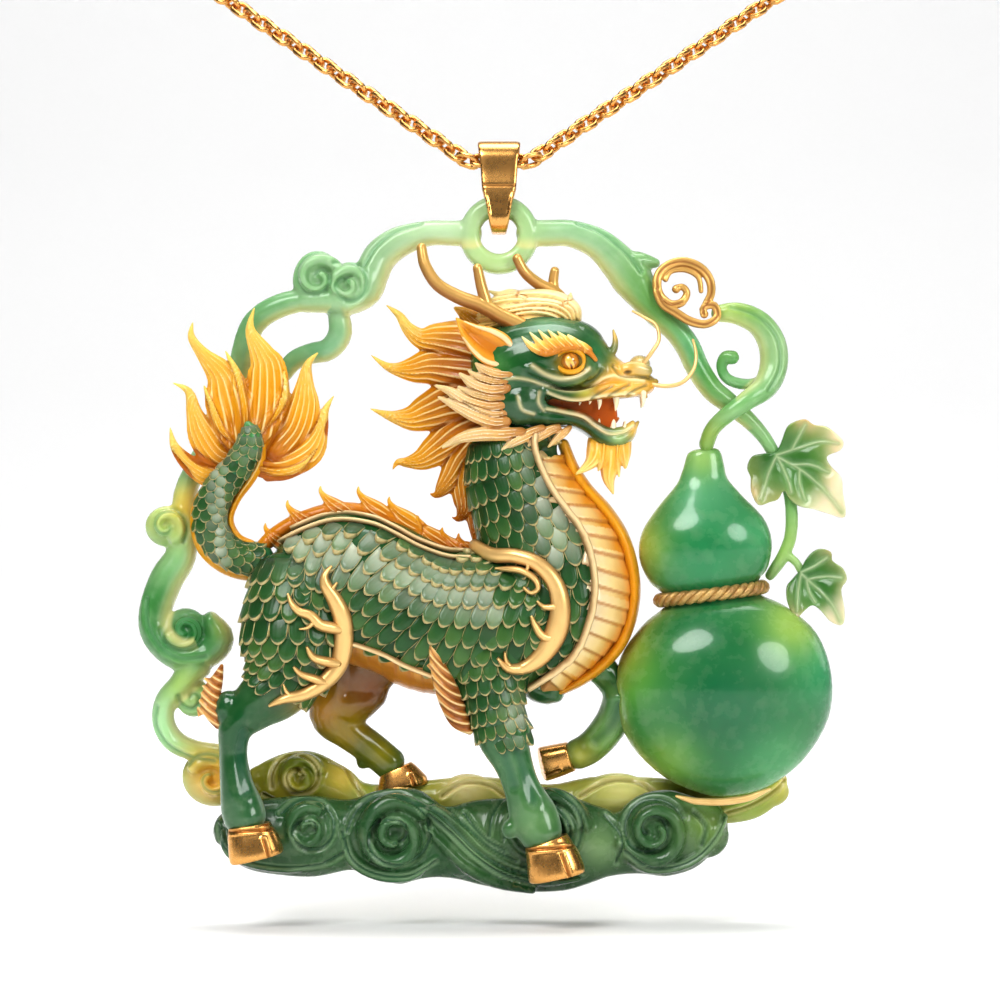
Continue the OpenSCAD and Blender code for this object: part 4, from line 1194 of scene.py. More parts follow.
def turned(
    bm: bmesh.types.BMesh, outline: Sequence[tuple[float, float]], steps: int, closed: bool = False
) -> None:
    """Turn an outline of radius and height about the upright axis.

    Args:
        bm: The mesh it is added to.
        outline: The outline's points, in order.
        steps: How many facets go round.
        closed: Whether the outline's last point leads back to its first.
    """
    verts = [bm.verts.new((r, 0.0, z)) for r, z in outline]
    after = verts[1:] + verts[:1] if closed else verts[1:]
    profile = verts + [bm.edges.new(pair) for pair in zip(verts, after)]
    whole = {"cent": (0, 0, 0), "axis": (0, 0, 1), "dvec": (0, 0, 0), "angle": 2 * math.pi}
    bmesh.ops.spin(bm, geom=profile, steps=steps, use_merge=True, **whole)
    bmesh.ops.remove_doubles(bm, verts=bm.verts, dist=1e-4)


def as_piece(
    bm: bmesh.types.BMesh,
    name: str,
    finish: Finish,
    slot: str,
    replaces: Sequence[str] = (),
    body: str = "pendant",
    frame_mm: bool = False,
    marks: Optional[dict[str, np.ndarray]] = None,
) -> bpy.types.Object:
    """Finish a mesh in millimetres as a piece.

    Args:
        bm: The mesh, which is used up.
        name: The piece's name.
        finish: What it is made of.
        slot: Passed on to the piece, which does not use it.
        replaces: The CAD nodes that it stands for.
        body: The body that it rides.
        frame_mm: Whether it is measured from the frame's origin and not from the eyelet.
        marks: Numbers at its points for the finish to read.

    Returns:
        The piece.
    """
    if frame_mm:
        bmesh.ops.translate(bm, verts=bm.verts, vec=-EYELET_AT)
    bmesh.ops.recalc_face_normals(bm, faces=bm.faces)
    skin = Skin(as_mesh(bm, name))
    for mark, values in (marks or {}).items():
        skin.mark(mark, values)
    return skin.place(name, finish, slot, replaces, body)


@dataclass
class Bail:
    """A folded gold strip that rides on the chain and goes down through the eyelet."""

    thick: float = 0.45
    fold_out: float = 1.4
    fold_up: float = 5.15
    leg_out: float = 1.75
    sides: int = 28
    square: float = 7.0
    widths: tuple = (
        (-0.15, 0.34), (0.3, 0.52), (0.9, 0.68), (1.6, 0.84), (2.4, 0.98), (3.15, 1.16), (3.3, 1.20),
        (5.0, 1.32), (6.0, 1.46), (6.55, 1.52),
    )

    def strip(self) -> bmesh.types.BMesh:
        """Bend the strip round its loop.

        Returns:
            The strip's mesh.
        """
        r, leg = self.fold_out - self.thick / 2, self.leg_out - self.thick / 2
        low = [
            (0.0, 0.27), (-0.75, 0.3), (-1.2, 0.5), (-leg, 0.95), (-leg, 1.7), (-leg, 2.4),
            (-leg + 0.1, 3.3), (-r - 0.08, 4.3),
        ]
        fold = [(-r * math.cos(a), self.fold_up + r * math.sin(a)) for a in np.linspace(0.0, math.pi, 11)]
        route = low + fold + [(-y, z) for y, z in low[:0:-1]]
        path = smoothed(route, steps=4, closed=True)
        ways = np.roll(path, -1, axis=0) - np.roll(path, 1, axis=0)
        levels, halves = zip(*self.widths)
        frames = []
        for (y, z), (wy, wz) in zip(path, ways):
            half = float(np.interp(z, levels, halves))
            way, out = np.array((0.0, wy, wz)), np.array((0.0, wz, -wy))
            frames.append(ring_frame(np.array((0.0, y, z)), way, out, half, self.thick / 2))
        bm = bmesh.new()
        sweep(bm, frames, self.sides, closed=True, square=self.square)
        return bm

    def build(self) -> None:
        """Make the bail, with the crease and the raised borders of its lower panel."""
        blank = Blank()
        blank.bm = self.strip()
        for face in (-1.0, 1.0):
            for x in (-1.0, 1.0):
                edge = [
                    (x * 1.02, 3.1, face * 1.55, 0.09, 0.1), (x * 0.86, 2.3, face * 1.76, 0.09, 0.1),
                    (x * 0.66, 1.2, face * 1.74, 0.09, 0.1), (x * 0.42, 0.45, face * 1.35, 0.08, 0.1),
                ]
                blank.stroke(edge, steps=5, sides=8)
            across = [(x, 3.12, face * 1.56, 0.08, 0.1) for x in (-1.02, 1.02)]
            blank.stroke(across, steps=6, sides=8)
        skin = blank.fused(voxel=0.075, soften=2)
        skin.groove([[(-1.25, 3.34), (1.25, 3.34)]], width=0.07, depth=0.05)
        skin.place("bail_strip", POLISHED, "gold", ["bail"], "bail")


# Jade ring


ARM_LEFT = (
    (-1.9, 0.1, 0, 0.95, 0.9), (-3.3, 0.12, 0, 0.9, 0.9), (-5, 0.1, 0, 0.9, 1), (-7, -0.5, 0, 1.1, 1.1),
    (-8.3, -1.5, -0.1, 1.2, 1.2), (-8.9, -2.8, -0.3, 1.2, 1.3), (-9.3, -4, -0.5, 1.1, 1.3),
    (-10.5, -4.8, -0.6, 0.85, 1.2), (-11.9, -4.6, -0.4, 0.9, 1.1), (-13.6, -4.6, 0, 0.85, 1),
)
SIDE_LEFT = (
    (-13.4, -4.5, 0.02, 0.8, 0.9), (-15.2, -4.9, 0.04, 0.85, 0.85), (-16.8, -5.8, 0.2, 0.85, 0.8),
    (-17.7, -7.3, 0.5, 0.85, 0.7), (-19, -12, 1.1, 0.8, 0.6), (-21.8, -17.4, 0.7, 0.8, 0.9),
    (-22.1, -20, 0.5, 0.9, 1.1), (-22.3, -22.4, 0.4, 1.1, 1.2), (-23.3, -24.1, 0.3, 1.2, 1.3),
    (-24.1, -26.4, 0.2, 1.15, 1.4), (-23.9, -28.1, 0.1, 1.1, 1.4), (-22.4, -29.4, 0, 1.1, 1.4),
    (-20.6, -29.3, 0, 1.1, 1.4), (-19.6, -28.2, -0.1, 1.1, 1.3), (-20.2, -26.8, -0.3, 0.55, 1),
)
HOOK_LEFT = (
    (-11.4, -4.8, 0, 0.7, 0.9), (-11.1, -6.8, -0.1, 0.85, 0.9), (-11.9, -8, -0.2, 0.8, 0.8),
    (-13.2, -8.3, 0.2, 0.75, 0.7), (-14.4, -8.8, 0.6, 0.7, 0.6), (-15.2, -9.8, 0.8, 0.6, 0.5),
)
LOW_LEFT = (
    (-21.2, -30, 0, 1.2, 1.3), (-22.2, -31.4, 0.1, 0.9, 1.2), (-23.3, -32.6, 0.2, 0.8, 1.1),
    (-23.5, -34.1, 0.2, 0.8, 1.1), (-22.8, -35.4, 0.3, 0.8, 1.1), (-21.4, -36.1, 0.4, 0.75, 1.1),
    (-19.6, -36.4, 0.5, 0.75, 1),
)
ARM_RIGHT = (
    (1.9, 0.1, 0, 0.95, 0.9), (3.3, 0.12, 0, 0.95, 0.9), (5, 0.1, 0, 0.95, 1), (6.9, -0.6, 0, 1.1, 1.1),
    (8.3, -1.9, -0.1, 1.3, 1.2), (9.4, -3.2, -0.1, 1.45, 1.2), (10.3, -4.7, 0, 1, 1.1),
    (11.2, -5.6, 0, 0.92, 1), (12.3, -6.6, 0, 0.88, 1), (13.2, -7.8, 0, 0.88, 0.95),
    (13.9, -9.3, 0, 0.85, 0.9), (14.9, -10.8, 0, 0.8, 0.9), (16, -11.7, 0, 0.75, 0.8),
    (17.4, -12.9, 0.1, 0.6, 0.6), (18.6, -14.2, 0.2, 0.5, 0.5), (19.6, -16, 0.3, 0.45, 0.45),
    (20.3, -18, 0.3, 0.42, 0.42), (20.5, -19.6, 0.2, 0.45, 0.45), (20.4, -21.2, 0.2, 0.45, 0.45),
    (19.9, -22.5, 0.4, 0.45, 0.45), (19.4, -23.3, 0.6, 0.42, 0.42), (19, -23.9, 0.9, 0.36, 0.36),
)
TWIG = ((20, -22.3, 0.26, 0.33, 0.35), (20.8, -22.9, 0.24, 0.3, 0.33), (21.3, -23.8, 0.13, 0.3, 0.33))
KNUCKLE = ((8.6, -2, -0.07, 0.9, 1), (9.8, -1.8, -0.07, 0.65, 0.9), (11, -2, -0.07, 0.35, 0.5))
VINE_LOOP = (
    (15.3, -5.5, -0.1, 0.6, 0.7), (16.7, -5.5, -0.1, 0.8, 0.8), (18.2, -6.2, -0.1, 0.9, 0.9),
    (19.1, -7.6, -0.1, 1, 0.95), (19.2, -9.2, -0.2, 1, 0.95), (18.6, -10.6, -0.7, 0.9, 0.85),
    (17.3, -11.6, -1.45, 0.7, 0.6), (15.9, -12.6, -1.45, 0.6, 0.6), (14.9, -13.6, -0.8, 0.55, 0.6),
    (14.5, -14.7, -0.2, 0.55, 0.6),
)
TENDRIL = (
    (18.9, -9.9, -0.2, 0.45, 0.5), (17.9, -10.4, -0.15, 0.4, 0.45), (16.8, -10.4, -0.13, 0.4, 0.45),
    (15.9, -10, -0.1, 0.38, 0.45), (15.55, -9.2, -0.2, 0.38, 0.45), (15.8, -8.5, -0.3, 0.38, 0.45),
    (16.4, -8.5, -0.4, 0.42, 0.45),
)


def spiral(
    x: float, z: float, r: float, start: float, turn: float, end: float = 0.15,
) -> list[tuple[float, float]]:
    """Draw a spiral in the front view.

    Args:
        x: Its centre, to the right.
        z: Its centre, up.
        r: Its outer radius.
        start: The angle of its outer end, in degrees.
        turn: The angle it winds through.
        end: The inner radius over the outer one.

    Returns:
        Points of x and z.
    """
    count = max(6, int(abs(turn) / 25))
    made = []
    for i in range(count + 1):
        part = i / count
        a = math.radians(start + turn * part)
        rr = r * (1 - (1 - end) * part)
        made.append((x + rr * math.cos(a), z + rr * math.sin(a)))
    return made


@dataclass
class JadeRing:
    """The pale ring round the beast: eyelet, scrolled arms, vine and its gold tendril."""

    eyelet_r: float = 2.75
    hole_r: float = 1.35
    eyelet_thick: float = 2.0
    eyelet_sides: int = 72
    voxel: float = 0.13

    def eyelet(self, blank: Blank) -> None:
        """Turn the round eyelet with its eased edges."""
        h, a, b = self.eyelet_thick / 2, self.hole_r, self.eyelet_r
        outline = [
            (a, -h + 0.35), (a + 0.12, -h + 0.12), (a + 0.35, -h), (b - 0.45, -h), (b - 0.12, -h + 0.2),
            (b, -h + 0.55),
        ]
        bm = bmesh.new()
        turned(bm, outline + [(r, -z) for r, z in outline[::-1]], self.eyelet_sides, closed=True)
        bmesh.ops.rotate(bm, verts=bm.verts, cent=(0, 0, 0), matrix=Matrix.Rotation(math.pi / 2, 3, "X"))
        mesh = as_mesh(bm, "eyelet")
        blank.bm.from_mesh(mesh)
        bpy.data.meshes.remove(mesh)

    def lips(
        self, skin: Skin, arms: Sequence[Sequence[Row]], middle: tuple[float, float] = (1.0, -22.0),
    ) -> None:
        """Mark the inner edges of the arms, which are yellower and paler.

        Args:
            skin: The ring's surface.
            arms: The arms' rows.
            middle: The middle of the ring.
        """
        spots = skin.spots[:, [0, 2]]
        best = np.full(len(spots), 9.0)
        mark = np.zeros(len(spots))
        for rows in arms:
            path = Stroke(rows).path()
            side, share, _, reach = beside(spots, path)
            way = np.gradient(path[:, :2], axis=0)
            inward = np.array(middle) - path[:, :2]
            left = way[:, 0] * inward[:, 1] - way[:, 1] * inward[:, 0]
            sign = np.sign(np.interp(share * (len(path) - 1), np.arange(len(path)), left))
            wins = reach < best
            best = np.where(wins, reach, best)
            mark = np.where(wins, ramp(side * sign, 0.15, 1.0), mark)
        skin.mark("lip", mark * ramp(best, 1.35, 1.02))

    def frame_piece(self) -> None:
        """Carve the eyelet with both arms as one piece of jade."""
        blank = Blank()
        self.eyelet(blank)
        blank.strokes([ARM_LEFT, SIDE_LEFT, HOOK_LEFT, LOW_LEFT, ARM_RIGHT, KNUCKLE], sides=16)
        blank.stroke(TWIG, sides=10)
        blank.curls([
            (-10.6, -3.6, -1.2, 1.5, 0.45, 0.7, -90, 520), (-12.6, -3.1, -0.7, 1.65, 0.5, 0.8, -30, 460),
            (-21.9, -27.6, -0.8, 1.15, 0.5, 0.9, 200, 430), (-23.2, -20.4, -0.3, 1.05, 0.5, 0.9, -60, 430),
            (-20.1, -38.1, 0.5, 1.5, 0.55, 0.9, 150, -400),
        ], steps=4)
        blank.balls([
            (-12.7, -3.2, 0, 1.75, 2.1, 1.1), (-10.4, -3.7, -0.2, 1.65, 1.8, 1.2),
            (-23.2, -20.4, 0.3, 1.6, 1.45, 1.1), (-21.9, -27.6, -0.2, 1.5, 1.5, 1.2),
            (-21.4, -32.4, 0.3, 1.25, 1.35, 0.9), (-20, -38, 1.2, 2.3, 2.1, 1.1),
        ])
        skin = blank.fused(self.voxel, soften=3)
        skin.groove([
            spiral(-10.6, -3.6, 1.85, 120, -420), spiral(-12.6, -3.0, 1.95, 60, 430),
            spiral(-21.9, -27.6, 1.7, 180, 420), spiral(-23.2, -20.4, 1.55, -40, 400),
            spiral(-20.1, -38.0, 1.9, 150, -420), spiral(-21.4, -32.4, 1.0, 170, 330),
            [(-5.5, 0.75), (-7.2, 0.2), (-8.6, -0.9), (-9.4, -2.2)],
            [(5.5, 0.8), (7.2, 0.1), (8.8, -1.2), (9.9, -2.6)],
            [(-24.6, -25.4), (-24.5, -27.2), (-23.6, -28.8), (-22.2, -29.6), (-20.5, -29.5)],
            [(-23.9, -33), (-24, -34.2), (-23.2, -35.6), (-21.6, -36.5), (-19.9, -36.8)],
        ], width=0.16, depth=0.14, rim=0.05)
        self.lips(skin, [ARM_LEFT, SIDE_LEFT, HOOK_LEFT, LOW_LEFT, ARM_RIGHT[:14]])
        skin.stain(
            Stain.MINT.value,
            [
                (0, -1, 4.0, (0.62, 0.76, 0.42)), (-4, 1, 2.5, Stain.PALE.value),
                (6, 0.5, 4.0, (0.52, 0.68, 0.48)), (10, -4, 2.5, (0.34, 0.54, 0.26)),
                (-12, -4, 3.5, (0.44, 0.62, 0.40)), (-16.5, -6, 3.5, (0.26, 0.48, 0.26)),
                (-12.5, -8.2, 2.2, (0.36, 0.56, 0.38)), (-23.5, -20.5, 2.6, (0.62, 0.70, 0.34)),
                (-21.6, -19, 1.6, (0.80, 0.66, 0.20)), (-22.4, -23.5, 1.8, (0.45, 0.66, 0.40)),
                (-23.4, -26.6, 3.0, Stain.LEAF.value), (-21.6, -28, 2.4, (0.06, 0.30, 0.10)),
                (-18.9, -27.4, 1.0, (0.50, 0.56, 0.20)), (-21.8, -31.8, 1.8, (0.55, 0.68, 0.28)),
                (-23.2, -34.5, 2.2, (0.50, 0.74, 0.46)), (-20.5, -36.2, 1.6, (0.66, 0.66, 0.22)),
                (-20, -38.2, 2.2, Stain.HONEY.value), (13.5, -8.5, 3.0, (0.26, 0.56, 0.32)),
                (16.5, -12, 2.4, (0.50, 0.68, 0.34)), (20, -17, 3.0, (0.30, 0.55, 0.22)),
                (20, -22, 2.5, (0.46, 0.62, 0.26)), (15.0, -11.0, 2.2, (0.22, 0.46, 0.16)),
                (10.5, -6.0, 2.0, (0.26, 0.48, 0.16)),
            ],
            deepen=1.6,
        )
        skin.place(
            "jade_ring",
            Jade(
                "ring_jade", cut=(0.10, 0.30, 0.12), lip=(0.74, 0.68, 0.30), lip_share=0.65, glow=0.35,
                depth=1.2, milk=0.3,
            ),
            "jade_pale", ["eyelet", "frame_left", "frame_right"],
        )

    def vine(self) -> None:
        """Carve the vine's loop and tendril."""
        blank = Blank().stroke(VINE_LOOP, sides=16).stroke(TENDRIL, sides=12)
        blank.ball(16.3, -8.6, -0.4, 0.5, 0.5, 0.5)
        skin = blank.fused(self.voxel, soften=3)
        skin.groove([
            [(16.2, -5.1), (18, -5.7), (19.4, -7.2), (19.6, -9.3), (18.8, -10.9)]
        ], width=0.15, depth=0.1, rim=0.04)
        self.lips(skin, [VINE_LOOP[:7]], (16.5, -9.0))
        skin.stain(
            (0.20, 0.42, 0.15),
            [(16, -5.5, 2.2, (0.50, 0.62, 0.24)), (19.5, -8, 2.4, (0.44, 0.60, 0.36)),
             (17, -11.5, 1.8, (0.30, 0.54, 0.24)), (14.7, -14.2, 1.4, (0.45, 0.58, 0.20)),
             (16.5, -10, 1.6, (0.20, 0.48, 0.20))],
            deepen=1.5,
        )
        skin.place(
            "vine_loop",
            Jade(
                "vine_jade", cut=(0.10, 0.28, 0.10), lip=(0.74, 0.72, 0.32), lip_share=0.55, glow=0.3,
                depth=1.0, milk=0.3,
            ),
            "jade_olive", ["vine"],
        )

    def gold_tendril(self) -> None:
        """Bend the gold scroll that is laid on the right arm."""
        coil = (
            (12.3, -3.75, -1.0, 0.17, 0.18), (12.8, -3.7, -1.02, 0.2, 0.2),
            (13.1, -4.15, -1.05, 0.22, 0.22), (12.7, -4.8, -1.1, 0.25, 0.25),
            (11.9, -4.9, -1.2, 0.27, 0.27), (11.2, -4.3, -1.3, 0.28, 0.27), (11, -3.4, -1.2, 0.28, 0.27),
            (11.3, -2.6, -1, 0.28, 0.27), (12.1, -2.05, -0.9, 0.28, 0.27), (13.1, -1.95, -0.9, 0.28, 0.27),
            (14.1, -2.4, -0.9, 0.28, 0.27), (14.7, -3.2, -0.9, 0.27, 0.27), (14.8, -4.1, -0.92, 0.25, 0.25),
            (14.5, -4.8, -0.94, 0.24, 0.24), (14.2, -5.3, -0.96, 0.22, 0.22),
        )
        sweep_rows = (
            (11, -4, -1.35, 0.27, 0.27), (11.4, -4.9, -1.5, 0.27, 0.27), (12.3, -5.5, -1.5, 0.27, 0.27),
            (13.3, -6.1, -1.45, 0.27, 0.27), (14.4, -6.3, -1.3, 0.25, 0.25), (15.2, -5.8, -1.2, 0.24, 0.24),
            (15, -5, -1.1, 0.24, 0.24), (14.3, -5.1, -1.1, 0.22, 0.22), (14.2, -5.6, -1.15, 0.18, 0.18),
        )
        under = (
            (11.6, -3.2, -0.95, 0.2, 0.2), (12, -2.6, -0.8, 0.2, 0.2), (13, -2.5, -0.8, 0.2, 0.2),
            (13.9, -3, -0.8, 0.2, 0.2), (14.1, -4, -0.85, 0.18, 0.18),
        )
        coil, sweep_rows = (
            [(x, z, y, w * 1.2, d * 1.1) for x, z, y, w, d in rows] for rows in (coil, sweep_rows)
        )
        blank = Blank().strokes([coil, sweep_rows], steps=5, sides=12).stroke(under, steps=5, sides=10)
        blank.balls([(12.35, -3.85, -1.05, 0.3, 0.3, 0.28), (14.3, -5.6, -1.2, 0.3, 0.3, 0.26)])
        skin = blank.fused(voxel=0.06, soften=2)
        skin.groove([
            [row[:2] for row in coil[3:]], [row[:2] for row in sweep_rows],
        ], width=0.12, depth=0.12, rim=0.03)
        # Painted shade: the underside and the left of the scroll are marked dark.
        skin.mark("line", 0.8 * ramp(-skin.normals[:, 2] - 0.4 * skin.normals[:, 0], 0.1, 0.8))
        skin.place("gold_tendril", TENDRIL_GOLD, "gold", ["gold_scroll"])

    def build(self) -> None:
        """Make the ring, the vine and its gold."""
        self.frame_piece()
        self.vine()
        self.gold_tendril()


@dataclass
class Leaves:
    """Two vine leaves of green jade that pales to peach at the edges."""

    upper: tuple = (
        (19.3, -15.2), (19.7, -14.6), (20.1, -13.5), (20.6, -13.1), (21.4, -12.9), (22, -13.3),
        (22.8, -13.4), (23.5, -13.9), (24.05, -14.5), (23.8, -15.1), (22.9, -15.5), (23.2, -16.2),
        (23.9, -17), (24, -18), (24.2, -19.3), (24, -19.8), (23, -19.5), (22, -19.2), (21, -19),
        (20.3, -18.5), (19.9, -17.9), (19.5, -18.5), (18.9, -18.7), (18.1, -18.9), (17.6, -17.9),
        (17.6, -17), (17.35, -16.3), (17.7, -15.5), (18.5, -15.3),
    )
    upper_veins: tuple = (
        ((19.4, -15.4), (21, -14.9), (22.4, -14.5), (23.7, -14.6)),
        ((19.4, -15.5), (21.3, -16.6), (22.8, -18), (23.9, -19.4)),
        ((19.4, -15.5), (18.9, -16.5), (18.6, -17.5), (18.3, -18.5)),
        ((20.4, -15.1), (20.9, -14.2), (21.4, -13.3)), ((20.5, -16.1), (21.8, -16.1), (23, -16.6)),
        ((21, -16.4), (21, -17.4), (21.4, -18.6)), ((19.5, -15.6), (20.1, -16.9), (20.4, -18)),
    )
    lower: tuple = (
        (21.1, -23.4), (21.4, -22.8), (21.9, -22.2), (22.5, -21.95), (23.2, -22.2), (23.3, -22.8),
        (24, -23.3), (24.3, -24.1), (23.9, -24.8), (24.1, -26), (24.1, -27), (23.8, -27.3), (23.1, -27),
        (22.5, -26.3), (21.9, -25.9), (21.3, -26.3), (20.8, -26.8), (20.4, -26.3), (20.1, -25.5),
        (20.1, -24.6), (20.5, -24.1),
    )
    lower_veins: tuple = (
        ((21.1, -23.6), (22, -23.2), (22.9, -22.6)),
        ((21.1, -23.7), (22.3, -24.8), (23.2, -25.8), (23.8, -27)),
        ((21.1, -23.7), (20.9, -25), (20.8, -26.3)), ((21.6, -24.1), (22.8, -23.9), (23.9, -24)),
        ((21.5, -24.1), (21.7, -25), (22.1, -25.7)),
    )
    half: float = 0.32

    def leaf(
        self, name: str, outline: Sequence[Row], veins: Sequence[Sequence[Row]], node: str,
        base: tuple[float, float], reach: float,
    ) -> None:
        """Cut a leaf, bend its blade and carve its veins.

        Args:
            name: The piece's name.
            outline: The blade's outline.
            veins: The lines of its veins.
            node: The CAD node that it stands for.
            base: Where its stalk meets it.
            reach: How far its tips are from there.
        """
        skin = Blank().plate(outline, y=0.0, half=self.half, steps=3).fused(voxel=0.07, soften=3)
        skin.groove(veins, width=0.24, depth=0.10, rim=0.0)
        skin.groove(veins, width=0.09, depth=-0.13, name="lip")
        at = skin.spots
        away = np.hypot(at[:, 0] - base[0], at[:, 2] - base[1])
        drop = -0.1 - 0.45 * ramp(away, 0.3, reach) + 0.16 * np.sin(at[:, 0] * 2.1) * np.sin(at[:, 2] * 1.7)
        skin.move(np.stack([np.zeros(len(at)), drop, np.zeros(len(at))], axis=1))
        skin.mark("lip", ramp(away, 0.62 * reach, reach))
        tips = [(p[0], p[1], 1.3, Stain.PEACH.value) for p in outline[::4]]
        skin.stain(
            (0.38, 0.54, 0.24),
            tips + [
                (base[0], base[1], 2.4, (0.09, 0.30, 0.08)),
                (base[0] + 1.3, base[1] - 1.1, 1.8, (0.15, 0.36, 0.12)),
            ],
            deepen=1.9,
        )
        skin.place(
            name,
            Jade(
                name + "_jade", cut=(0.20, 0.38, 0.14), lip=(0.97, 0.86, 0.68), lip_share=0.5, glow=0.4,
                depth=0.9,
            ),
            "jade_olive", [node],
        )

    def build(self) -> None:
        """Make both leaves."""
        self.leaf("leaf_large", self.upper, self.upper_veins, "leaf_upper", (19.3, -15.3), 5.0)
        self.leaf("leaf_small", self.lower, self.lower_veins, "leaf_lower", (21.1, -23.6), 3.9)


# Gourd and clouds


@dataclass
class Gourd:
    """A polished calabash with its stalk, tied round the waist by a twisted cord."""

    outline: tuple = (
        (10.55, 0.0), (10.5, 0.7), (10.2, 1.15), (9.2, 1.42), (8.2, 1.75), (7, 2.75), (5.2, 4.25),
        (3.4, 4.68), (1.7, 4.2), (0.85, 3.45), (0.3, 3.1), (-0.25, 3.45), (-1.3, 5.1), (-3.4, 6.95),
        (-6.4, 7.6), (-9.4, 7), (-12, 4.95), (-13.5, 2.5), (-13.9, 0.8), (-13.75, 0.0),
    )
    waist: Vector = Vector((14.9, 0.0, -25.4))
    flat: float = 0.56
    lean: float = math.radians(7.5)
    cord_r: float = 3.62
    cord_thick: float = 0.26
    cord_turns: int = 10
    cord_steps: int = 300
    sides: int = 72

    def stone(self) -> None:
        """Turn the gourd, flatten and lean it, and bend its neck to the vine."""
        fine = smoothed(self.outline, steps=4)
        fine[0, 1] = fine[-1, 1] = 0.0
        bm = bmesh.new()
        turned(bm, [(max(r, 0.0), z) for z, r in fine[::-1]], self.sides)
        place = Matrix.Translation(self.waist) @ Matrix.Rotation(-self.lean, 4, "Y")
        bmesh.ops.transform(bm, matrix=place @ Matrix.Diagonal((1.0, self.flat, 1.0, 1.0)), verts=bm.verts)
        for v in bm.verts:
            high = min(max((v.co.z + 19.5) / 4.5, 0.0), 1.0)
            v.co.x += 0.75 * high * high * (3 - 2 * high)
        bmesh.ops.recalc_face_normals(bm, faces=bm.faces)
        skin = Skin(as_mesh(bm, "gourd"))
        at = skin.spots
        rim = 1 - ramp(np.abs(skin.normals[:, 1]), 0.1, 0.75)
        skin.mark("lip", rim * ramp(-at[:, 0], -24.0, -6.0))
        # Painted shade under the cord, darker round the waist.
        skin.mark("line", 0.6 * np.exp(-(((at[:, 2] + 25.3 - 0.13 * (at[:, 0] - 14.9)) / 0.5) ** 2)))
        skin.stain((0.04, 0.25, 0.085), [
            (8.6, -31, 2.6, (0.20, 0.46, 0.10)), (8.2, -28.5, 2.0, (0.50, 0.56, 0.12)),
            (22.8, -30, 3.0, (0.10, 0.42, 0.22)), (19, -37.5, 3.2, (0.16, 0.48, 0.22)),
            (14.5, -18, 2.8, (0.20, 0.50, 0.28)), (10, -22, 2.0, (0.52, 0.60, 0.16)),
            (18, -21, 1.8, (0.16, 0.46, 0.24)), (14.3, -23, 3.2, (0.05, 0.34, 0.15)),
            (16, -32.5, 4.0, (0.02, 0.22, 0.10)), (11.5, -37, 2.2, (0.26, 0.46, 0.10)),
            (20.5, -27, 2.2, (0.44, 0.60, 0.18)), (14.2, -15.6, 1.4, (0.42, 0.62, 0.24)),
        ])
        skin.place(
            "gourd_stone",
            Jade(
                "gourd_jade", cut=(0.01, 0.10, 0.04), lip=(0.70, 0.74, 0.22), lip_share=0.55, glow=0.22,
                depth=1.4, gloss=0.2, milk=0.05, shine=0.5,
            ),
            "jade_dark", ["gourd"],
        )

    def cord(self) -> None:
        """Lay three strands round one another for the cord."""
        tilt = Matrix.Translation(self.waist) @ Matrix.Rotation(-self.lean, 4, "Y")
        bm = bmesh.new()
        for strand in range(3):
            spots = []
            for k in range(self.cord_steps):
                a = 2 * math.pi * k / self.cord_steps
                b = self.cord_turns * a + 2 * math.pi * strand / 3
                out = Vector((self.flat * math.cos(a), math.sin(a), 0.0)).normalized()
                middle = Vector((
                    self.cord_r * math.cos(a), (self.cord_r * self.flat + 0.15) * math.sin(a), 0.3,
                ))
                round_it = out * math.cos(b) + Vector((0, 0, math.sin(b)))
                spots.append(np.array(tilt @ (middle + 0.25 * round_it)))
            path = np.array(spots)
            ways = np.roll(path, -1, axis=0) - np.roll(path, 1, axis=0)
            up = np.array((0.13, 0.0, 1.0))
            frames = [ring_frame(p, w, up, self.cord_thick, self.cord_thick) for p, w in zip(path, ways)]
            sweep(bm, frames, sides=8, closed=True)
        as_piece(bm, "gourd_rope", Cord("gilt_cord"), "silk_cord", ["gourd_cord"])

    def foot(self) -> None:
        """Run the gold line under the gourd."""
        rows = (
            (12.3, -39.1, -2.2, 0.1, 0.2), (13.0, -39.3, -2.27, 0.2, 0.26),
            (13.7, -39.45, -2.3, 0.25, 0.28), (15.4, -39.5, -2.35, 0.27, 0.28),
            (17.2, -39.25, -2.3, 0.25, 0.28), (18.1, -38.9, -2.25, 0.2, 0.26),
            (18.8, -38.6, -2.2, 0.1, 0.2),
        )
        skin = Blank().stroke(rows, steps=5, sides=12).fused(voxel=0.06, soften=2)
        skin.place("gourd_foot_line", LIGHT_GOLD, "gold", ["gourd_foot"])

    def build(self) -> None:
        """Make the gourd, its cord and its foot."""
        self.stone()
        self.cord()
        self.foot()


